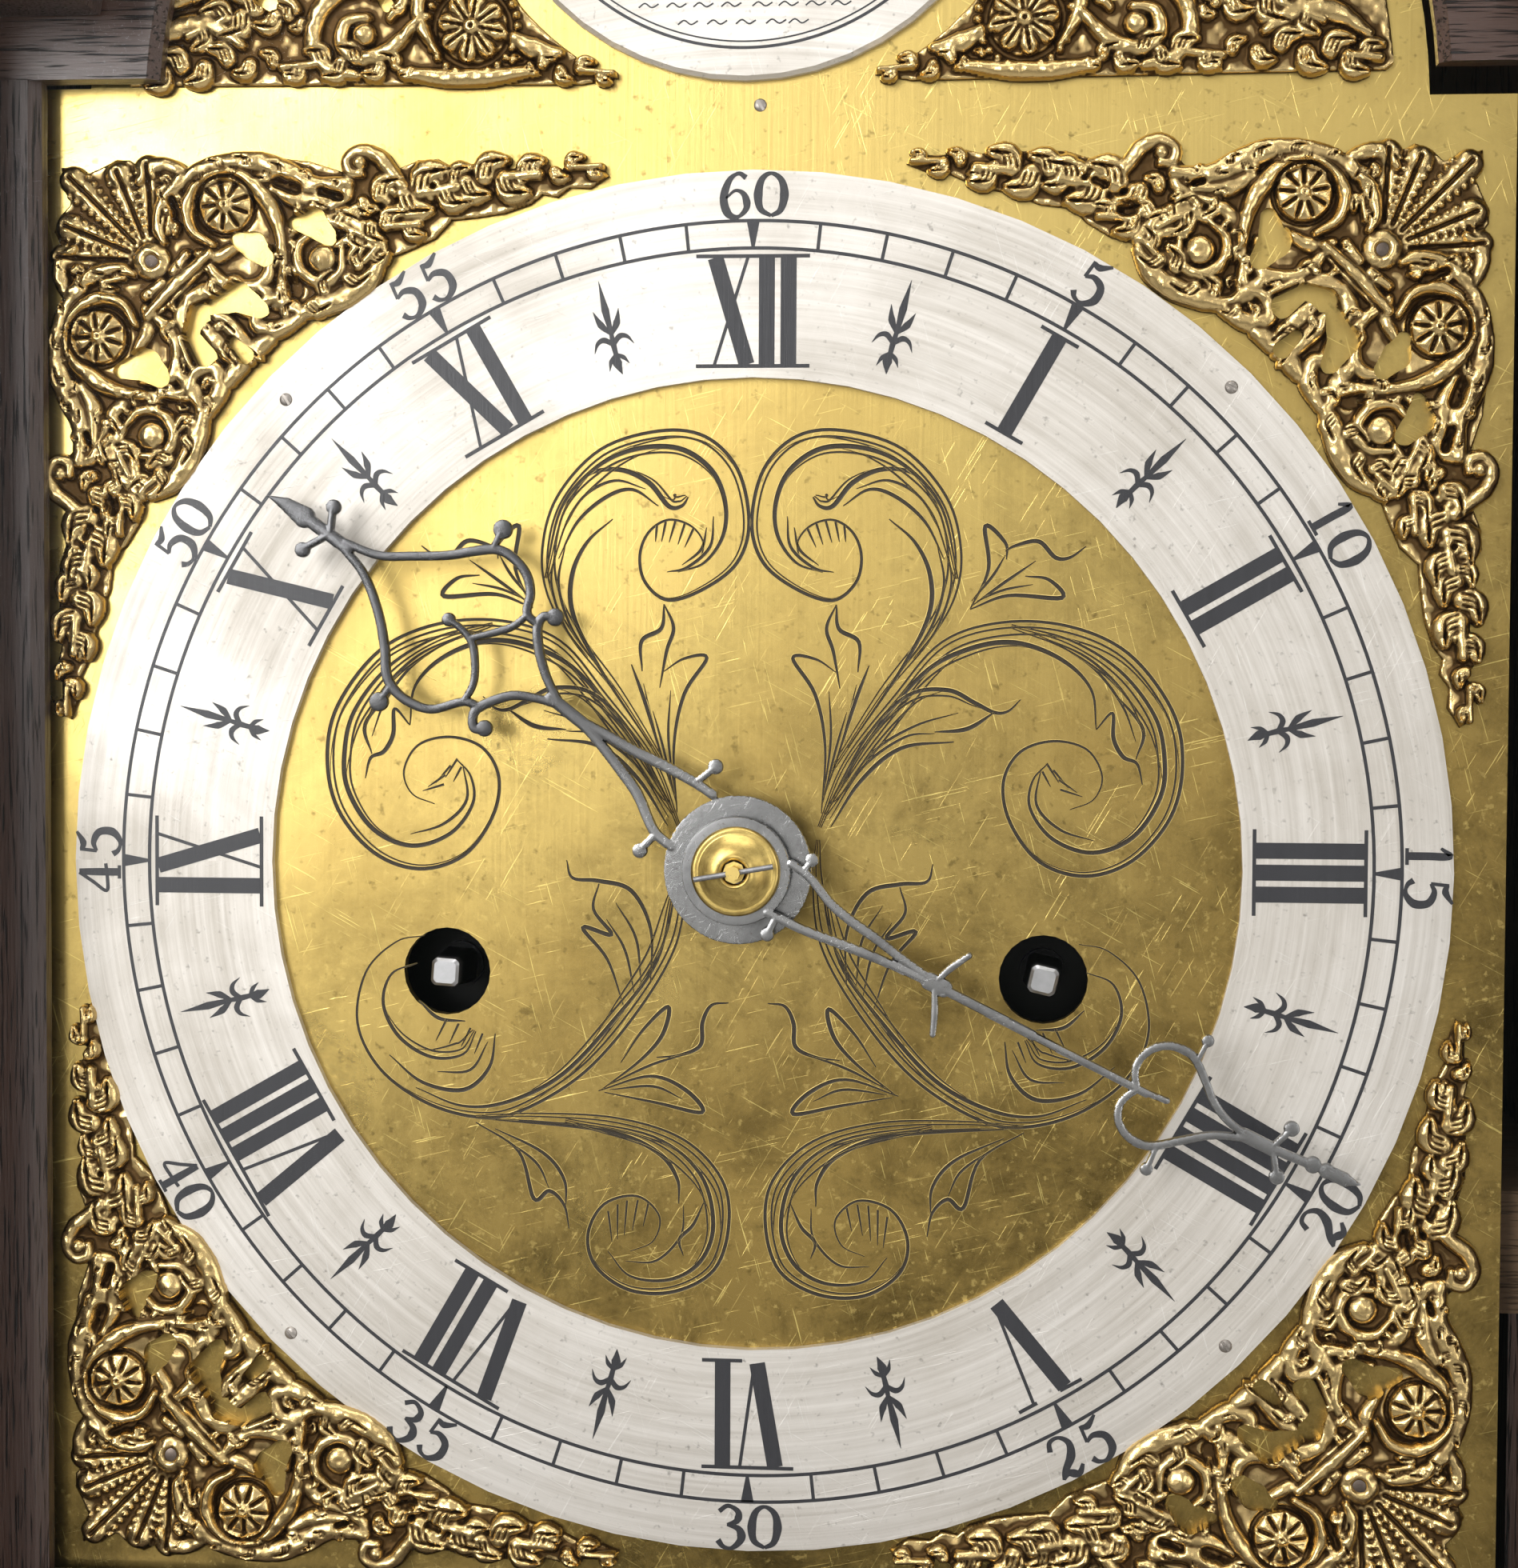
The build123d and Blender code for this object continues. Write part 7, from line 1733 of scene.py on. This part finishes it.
ARCH_OPENINGS = (
    (((69.6, 15.0), (71.0, 15.6)), 1.1), (((52.6, 14.6), (53.0, 15.2)), 1.0),
    (((66.0, 21.6), (70.0, 22.0)), 1.4), (((57.6, 22.4), (59.4, 23.2)), 1.2),
    (((60.4, 29.0), (62.0, 30.4)), 1.2), (((76.6, 29.0), (77.0, 31.4)), 1.4),
    (((62.8, 39.4), (66.8, 39.6)), 1.4), (((54.0, 46.0), (55.0, 46.6)), 1.2),
    (((49.8, 53.8), (51.4, 54.6)), 1.1), (((82.6, 19.2), (83.4, 19.4)), 0.8),
)


ARCH_FOOT = RING_Z + 110.6 * MM
FLOWER = np.array([40.0, 11.2])
FLOWER_BEADS = 26


def arc(radius, height, start, end, count):
    """Points along an arc whose middle stands at a height above the origin."""
    turns = np.radians(np.linspace(start, end, count))
    return [(radius * math.cos(turn), radius * math.sin(turn) + height) for turn in turns]


def arch_relief():
    """The relief of one arch casting."""
    relief = Relief((17.0, 1.5), (92.0, 68.0), GRID_STEP)
    outside, inside = arc(92.4, -2.8, 4.4, 47.5, 24), arc(43.4, 42.5, 31, -62, 30)
    relief.sheet([(91.0, 3.4), *outside, *inside, (18.2, 3.8), (24.0, 2.8)], 1.1)
    draw_ornament(relief, ARCH, ARCH_LEAVES, False)
    relief.stroke([FLOWER], (7.6,), 0.8, 0.5)
    for bead in range(FLOWER_BEADS):
        relief.stroke([FLOWER + 6.7 * towards(360 * bead / FLOWER_BEADS)], (0.62,), 1.4, 1.1)
    relief.groove(spiral(FLOWER, 5.6, 5.6, 0, 360), 0.6, 1.0)
    for petal in range(8):
        out = towards(45 * petal + 10)
        relief.stroke([FLOWER + out * 1.4, FLOWER + out * 3.7], (0.8, 1.5), 1.3, 1.3)
        relief.groove([FLOWER + out * 1.2, FLOWER + out * 4.6], 0.35, 0.8)
    relief.stroke([FLOWER], (1.3,), 1.9, 1.2)
    relief.groove([FLOWER], 0.5, 1.0)
    return cast(relief, ARCH_OPENINGS)


class CLOCK_OT_arch_castings(bpy.types.Operator):
    """Cast the two spandrels beside the roundel"""

    bl_idname = "clock.arch_castings"
    bl_label = "Arch castings"

    def execute(self, context):
        relief = arch_relief()
        for name, flip in (("right", False), ("left", True)):
            place = on_dial((HAND_X, ARCH_FOOT), PLATE_FACE, flip=flip)
            piece = relief.piece("arch_spandrel_" + name, place, CASTING_RIM, back=False)
            recalculate(piece)
            nodes = () if flip else ("arch_spandrels",)
            finish_piece(piece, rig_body("arch_spandrels"), "cast brass", "cast_brass", *nodes, smooth=60)
        return {"FINISHED"}


# Hands

# Each stroke: its width and its line along the hand
HOUR_STROKES = (
    (1.7, ((9.5, 3.4), (13, 3.2), (18, 0.6), (22, -0.6), (27, -1.8), (31, -2.5))),
    (1.7, ((9.5, -6.2), (13, -5.9), (18, -5.0), (22, -4.1), (27, -3.3), (31, -2.6))),
    (2.2, ((30, -2.5), (36.5, -2.5))),
    (1.4, ((12.5, 3.6), (12.8, 6.4))),
    (1.3, ((12.5, -6.2), (11.7, -9.4))),
    (1.5, ((35.5, -2.2), (38, -1.2), (41.2, 0.8), (43.5, 4.2), (44.0, 6.2), (42.7, 7.9), (41.2, 7.2))),
    (1.5, ((43.7, 5.0), (46.2, 5.9), (49, 9.5), (52, 10.8), (55, 10.9), (57.5, 9.8), (60, 7), (64, 3.5),
        (69, 0.5), (74, -0.7))),
    (1.2, ((56, 10.6), (55.9, 13.2))),
    (1.2, ((46.2, 5.9), (46.5, 3.5), (47.5, 1.5), (49.5, -0.8), (51, -1.8), (53, -2.2), (55.3, -2.1))),
    (1.2, ((51, -2.0), (49, -4.5), (47.3, -7), (46.6, -9.6))),
    (1.5, ((35.5, -2.8), (39, -4.5), (42, -6.7), (44.3, -9.2), (44.6, -11), (43.2, -12))),
    (1.5, ((44.4, -9.6), (46.8, -9.9), (48.2, -12.5), (50.5, -14.3), (53.5, -14.9), (56, -14.3),
        (58.5, -12), (61, -9.3), (65, -6), (69, -3), (74, -1.4))),
    (1.2, ((56.4, -14.2), (57, -16.8))),
    (2.4, ((73.2, -1.0), (82.0, -0.6))),
    (1.3, ((76.5, -1.0), (78.3, 3.0))),
    (1.3, ((76.5, -1.0), (78.5, -4.2))),
)
HOUR_BALLS = (
    (1.1, (12.8, 6.7)), (1.1, (11.7, -9.6)), (1.2, (41.4, 7.0)), (1.4, (55.9, 13.6)), (1.3, (43.2, -12.0)),
    (1.4, (57.0, -17.2)), (1.1, (78.3, 3.3)), (1.1, (78.5, -4.4)), (1.0, (55.2, -2.1)),
)
# Each stroke: its width and its line along the hand
MINUTE_STROKES = (
    (1.5, ((6.6, 4.5), (10, 3.9), (14, 2), (18, 1), (22, 0.4), (27, -0.6), (32, -1.3))),
    (1.5, ((6.6, -3.3), (12, -3.2), (17, -2.7), (22, -2.2), (27, -1.9), (32, -1.7))),
    (1.2, ((8.6, 4.2), (9.0, 6.0))),
    (1.2, ((8.0, -3.4), (8.0, -5.8))),
    (3.2, ((31.6, -1.6), (33.8, -1.6))),
    (1.1, ((32.6, -0.8), (33.5, 1.5), (35.0, 4.2))),
    (1.1, ((32.8, -2.4), (34.3, -5.4), (35.4, -8.2))),
    (1.7, ((33, -1.7), (48, -1.9))),
    (1.4, ((47, -1.9), (66, -2.0))),
    (1.1, ((65.0, -2.0), (69.0, -1.6))),
    (1.3, ((64.5, -2.0), (63.2, 0), (63, 2), (64, 4.2), (66, 5.6), (68.5, 5.9), (70.3, 5.2), (72.5, 3.4),
        (75, 1.2), (78, -0.3), (82, -1.0))),
    (1.0, ((70.2, 5.3), (70.3, 8.2))),
    (1.3, ((64.5, -2.0), (63.4, -4.5), (63.9, -6.8), (65.8, -8.4), (68.3, -8.8), (70.5, -8), (73.5, -5.6),
        (77, -3), (82, -1.0))),
    (1.0, ((70.6, -8.2), (70.8, -11.2))),
    (2.4, ((80.8, -1.0), (85.4, -1.0))),
    (1.1, ((85.0, -0.8), (86.3, 2.6))),
    (1.1, ((85.4, -1.2), (87.4, -4.0))),
    (1.6, ((85, -1.0), (91, -0.5))),
)
MINUTE_BALLS = (
    (1.0, (9.0, 6.3)), (1.0, (8.0, -6.1)), (0.9, (70.3, 8.6)), (0.9, (70.8, -11.6)), (1.1, (86.3, 2.8)),
    (1.1, (87.5, -4.2)), (1.2, (91.2, -0.4)), (1.1, (93.3, -0.3)),
)
HOUR_POINT = ((81.0, -2.2), (83.2, -2.0), (86.9, 0.0), (86.9, 0.5), (83.2, 1.2), (81.0, 1.0))
MINUTE_POINT = ((93.0, -1.2), (95.0, -0.9), (98.2, -0.1), (98.2, 0.3), (95.0, 0.4), (93.0, 0.6))
HOUR_HAND = (HOUR_STROKES, HOUR_BALLS, HOUR_POINT, 10.7, 4.25)
MINUTE_HAND = (MINUTE_STROKES, MINUTE_BALLS, MINUTE_POINT, 7.8, 3.2)


HAND_LOW = -19.0
HAND_HIGH = 16.0
HAND_REACH = 99.0
STROKE_WIDTHS = (0.82, 0.96, 0.82)
SIDE_AND_CROWN = (0.86, 0.14)
DISC_SIDE_AND_CROWN = (0.9, 0.1)


def halfway(a, b):
    """The point halfway between two."""
    return ((a[0] + b[0]) / 2, (a[1] + b[1]) / 2)


def hand_relief(strokes, balls, point, disc, bore, thickness):
    """The relief of a pierced steel hand with softly rounded edges."""
    relief = Relief((-disc - 1.0, HAND_LOW), (HAND_REACH + 1.0, HAND_HIGH), 0.15)
    side, crown = (share * thickness for share in SIDE_AND_CROWN)
    for width, line in strokes:
        smooth, share = along(line, STROKE_WIDTHS)
        relief.stroke(smooth, width / 2 * share, side, crown)
    for radius, place in balls:
        relief.stroke([place], (radius,), side, crown)
    relief.stroke([(0.0, 0.0)], (disc,), *(share * thickness for share in DISC_SIDE_AND_CROWN))
    shoulder = halfway(point[1], point[-2])
    middle = [halfway(point[0], point[-1]), (point[1][0] + 1.0, shoulder[1]), halfway(point[2], point[3])]
    relief.stroke(middle, (abs(point[0][1] - point[-1][1]) / 2, 1.0, 0.15), side, crown)
    relief.opening([(0.0, 0.0)], bore)
    return relief


HANDS = (
    # The hour hand's finish holds a painted shade away from its axis.
    ("hour_hand_polished", "hour_hand", HOUR_HAND, 141.87, "shaded hour steel"),
    ("minute_hand_polished", "minute_hand", MINUTE_HAND, -26.1, "hand steel"),
)


class CLOCK_OT_hands(bpy.types.Operator):
    """Saw and polish the hour and minute hands"""

    bl_idname = "clock.hands"
    bl_label = "Hands"

    def execute(self, context):
        for name, node, table, turn, finish in HANDS:
            low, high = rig.box(node)
            thickness = (high.y - low.y) / MM
            relief = hand_relief(*table, thickness)
            piece = relief.piece(name, on_dial((HAND_X, RING_Z), high.y, turn), thickness * 0.6)
            finish_piece(piece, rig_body(node), finish, "hand_steel", node, smooth=40)
        return {"FINISHED"}


# Collet and winding squares


def rings_piece(name, rings, closed=False):
    """A skin over rings of points, capped at both ends or joined end to end."""
    count = len(rings[0])
    faces = []
    for ring in range(len(rings) if closed else len(rings) - 1):
        row, after = ring * count, (ring + 1) % len(rings) * count
        for spot in range(count):
            following = (spot + 1) % count
            faces.append((row + spot, row + following, after + following, after + spot))
    if not closed:
        faces.append(tuple(reversed(range(count))))
        faces.append(tuple((len(rings) - 1) * count + spot for spot in range(count)))
    made = make_object(name, np.vstack(rings), faces)
    recalculate(made)
    return made


def ring_at(centre, y, radii, angles):
    """A ring of points round a place on the dial, at one depth."""
    x = centre[0] + radii * MM * np.cos(angles)
    z = centre[1] + radii * MM * np.sin(angles)
    return np.stack([x, np.full(len(angles), y), z], 1)


COLLET_PROFILE = (
    (1.75, 0.0), (6.4, 0.0), (6.4, 0.35), (6.15, 0.72), (5.8, 0.88), (5.5, 0.74), (5.25, 0.84), (4.6, 1.46),
    (3.7, 2.0), (2.8, 2.32), (2.35, 2.40), (2.2, 2.6), (1.9, 2.6), (1.75, 2.45),
)
WINDING_TURNS = (("strike_winding_arbor", -4.0), ("going_winding_arbor", -13.0))
WINDING_BELOW = 16.0 * MM
SHAFT_RADIUS = 3.5
RATCHET_TEETH = 18
RATCHET_RADII = (10.0, 9.5, 9.1, 8.7)
RATCHET_ANGLES = (0, 5, 10, 16)
RATCHET_FROM, RATCHET_TO = 15.0 * MM, 13.2 * MM
SQUARE_FROM = 12.0 * MM
SQUARE_HALVES = (2.6, 2.02, 1.6)
SQUARE_TIP = 0.4 * MM
CORNER_CUT = 1.22


def turned_collet():
    """The collet, turned about the hands' axis."""
    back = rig.box("hand_collet")[1].y
    angles = np.radians(np.arange(0, 360, 5))
    rings = []
    for radius, lift in COLLET_PROFILE:
        rings.append(ring_at((HAND_X, RING_Z), back - lift * MM, np.full(len(angles), radius), angles))
    piece = rings_piece("hand_collet_turned", rings, closed=True)
    finish_piece(piece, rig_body("hand_collet"), "turned brass", "fitting_brass", "hand_collet", smooth=50)


def filed_arbor(node, turn):
    """A winding arbor with its ratchet and a tapered square that has rounded corners."""
    low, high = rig.box(node)
    tip = low.y
    centre = ((low.x + high.x) / 2, RING_Z - WINDING_BELOW)
    pitch = 360 // RATCHET_TEETH
    angles = np.radians([pitch * tooth + part for tooth in range(RATCHET_TEETH) for part in RATCHET_ANGLES])
    saw = np.tile(RATCHET_RADII, RATCHET_TEETH)
    shaft = np.full(len(angles), SHAFT_RADIUS)
    lean = angles - math.radians(turn)
    flat = 1 / np.maximum(np.abs(np.cos(lean)), np.abs(np.sin(lean)))
    square = np.minimum(flat, CORNER_CUT)
    foot, shoulder, end = (square * half for half in SQUARE_HALVES)
    steps = (
        (high.y, shaft),
        (tip + RATCHET_FROM, shaft),
        (tip + RATCHET_FROM, saw),
        (tip + RATCHET_TO, saw),
        (tip + RATCHET_TO, shaft),
        (tip + SQUARE_FROM, shaft),
        (tip + SQUARE_FROM, foot),
        (tip + SQUARE_TIP, shoulder),
        (tip, end),
    )
    piece = rings_piece(node + "_filed", [ring_at(centre, y, radii, angles) for y, radii in steps])
    finish_piece(piece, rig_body(node), "winding steel", "steel", node, smooth=35)


class CLOCK_OT_collet_and_squares(bpy.types.Operator):
    """Turn the collet that holds the hands and file the winding squares"""

    bl_idname = "clock.collet_and_squares"
    bl_label = "Collet and winding squares"

    def execute(self, context):
        turned_collet()
        for node, turn in WINDING_TURNS:
            filed_arbor(node, turn)
        return {"FINISHED"}


# Stage


LAMPS = (
    ("window", (-0.86, -1.75, 1.92), (0.0, 0.0, 1.4), (0.85, 1.15), 29.0),
    ("fill", (1.8, -1.9, 1.3), (0.0, 0.0, 1.0), (1.2, 1.8), 16.0),
    ("top", (0.0, -0.6, 3.4), (0.0, 0.0, 0.8), (2.0, 1.4), 26.0),
    ("back", (0.9, 2.2, 2.2), (0.0, 0.0, 0.9), (1.4, 1.4), 22.0),
)


FLOOR_HALF = 6
SKY_LIGHT = 0.30
SKY_SEEN = 0.95
CAMERA_LENS = 66.12
CAMERA_PLACE = (RING_X + 38.607 * MM, RING_FACE - 416.862 * MM, RING_Z + 29.012 * MM)
CAMERA_TURNS = (87.6863, -0.2790, 5.1344)


def lay_floor(colour):
    """A plain pale floor under the clock."""
    reach = FLOOR_HALF
    corners = [(-reach, -reach, 0), (reach, -reach, 0), (reach, reach, 0), (-reach, reach, 0)]
    floor = make_object("floor", corners, [(0, 1, 2, 3)])
    tree, shader, place = new_material("pale floor", Roughness=0.7)
    shade = mix_colour(tree, noise(tree, place, 3.0, 3.0), colour, scaled(colour, 0.97))
    tree.links.new(shade, shader.inputs["Base Color"])
    floor.data.materials.append(bpy.data.materials["pale floor"])
    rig.stage(floor)


def light_sky():
    """A pale sky that lights little but shows bright in brass and glass."""
    world = bpy.data.worlds.new("studio")
    bpy.context.scene.world = world
    world.use_nodes = True
    tree = world.node_tree
    background = tree.nodes["Background"]
    background.inputs["Color"].default_value = (0.85, 0.84, 0.82, 1)
    path = tree.nodes.new("ShaderNodeLightPath").outputs
    seen = math_node(tree, "MAXIMUM", path["Is Camera Ray"], path["Is Glossy Ray"])
    seen = math_node(tree, "MAXIMUM", seen, path["Is Transmission Ray"])
    tree.links.new(remap(tree, seen, 0, 1, SKY_LIGHT, SKY_SEEN), background.inputs["Strength"])


def add_to_scene(name, data):
    """An object that holds a lamp or a camera."""
    holder = bpy.data.objects.new(name, data)
    bpy.context.scene.collection.objects.link(holder)
    return holder


def hang_lamp(name, spot, aim, size, power):
    """A rectangular lamp aimed at a point."""
    lamp = bpy.data.lights.new(name, "AREA")
    lamp.shape = "RECTANGLE"
    lamp.size, lamp.size_y = size
    lamp.energy = power
    holder = add_to_scene(name, lamp)
    holder.location = spot
    holder.rotation_euler = (Vector(aim) - Vector(spot)).to_track_quat("-Z", "Y").to_euler()


def set_camera():
    """The camera at the photograph's place and angle."""
    camera = bpy.data.cameras.new("camera")
    camera.lens = CAMERA_LENS
    camera.sensor_width = 36.0
    camera.clip_start = 0.01
    holder = add_to_scene("camera", camera)
    turns = Euler([math.radians(turn) for turn in CAMERA_TURNS])
    holder.matrix_world = Matrix.LocRotScale(Vector(CAMERA_PLACE), turns, None)
    bpy.context.scene.camera = holder


class CLOCK_OT_stage(bpy.types.Operator):
    """Lay the floor, hang the lights and set the camera at the photograph's angle"""

    bl_idname = "clock.stage"
    bl_label = "Stage"

    def execute(self, context):
        lay_floor(tuple(context.scene.clock_colours.floor))
        light_sky()
        for lamp in LAMPS:
            hang_lamp(*lamp)
        set_camera()
        context.scene.view_settings.view_transform = "Standard"
        return {"FINISHED"}


CLASSES = [
    ClockSizes,
    ClockColours,
    CLOCK_OT_finishes,
    CLOCK_OT_dial_plate,
    CLOCK_OT_chapter_marks,
    CLOCK_OT_dial_engraving,
    CLOCK_OT_roundel_engraving,
    CLOCK_OT_corner_castings,
    CLOCK_OT_arch_castings,
    CLOCK_OT_hands,
    CLOCK_OT_collet_and_squares,
    CLOCK_OT_stage,
]


class CLOCK_PT_panel(bpy.types.Panel):
    """The clock's pieces in the sidebar"""

    bl_label = "Grandmother clock"
    bl_idname = "CLOCK_PT_panel"
    bl_space_type = "VIEW_3D"
    bl_region_type = "UI"
    bl_category = "Clock"

    def draw(self, context):
        for group in (context.scene.clock_sizes, context.scene.clock_colours):
            for name in group.__annotations__:
                self.layout.prop(group, name)
        for step in CLASSES:
            if issubclass(step, bpy.types.Operator):
                self.layout.operator(step.bl_idname)


def register():
    """Register the classes and the settings."""
    for one in (*CLASSES, CLOCK_PT_panel):
        bpy.utils.register_class(one)
    bpy.types.Scene.clock_sizes = bpy.props.PointerProperty(type=ClockSizes)
    bpy.types.Scene.clock_colours = bpy.props.PointerProperty(type=ClockColours)


def unregister():
    """Take the classes and the settings out."""
    del bpy.types.Scene.clock_colours
    del bpy.types.Scene.clock_sizes
    for one in reversed((*CLASSES, CLOCK_PT_panel)):
        bpy.utils.unregister_class(one)


def main():
    """Dress the clock piece by piece and write its sizes."""
    register()
    for step in CLASSES:
        if issubclass(step, bpy.types.Operator):
            group, name = step.bl_idname.split(".")
            getattr(getattr(bpy.ops, group), name)()
    low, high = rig.bounds()
    with open("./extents.json", "w") as out:
        json.dump({"cad": [list(cad_low), list(cad_high)], "visual": [list(low), list(high)]}, out)


if __name__ == "__main__":
    main()
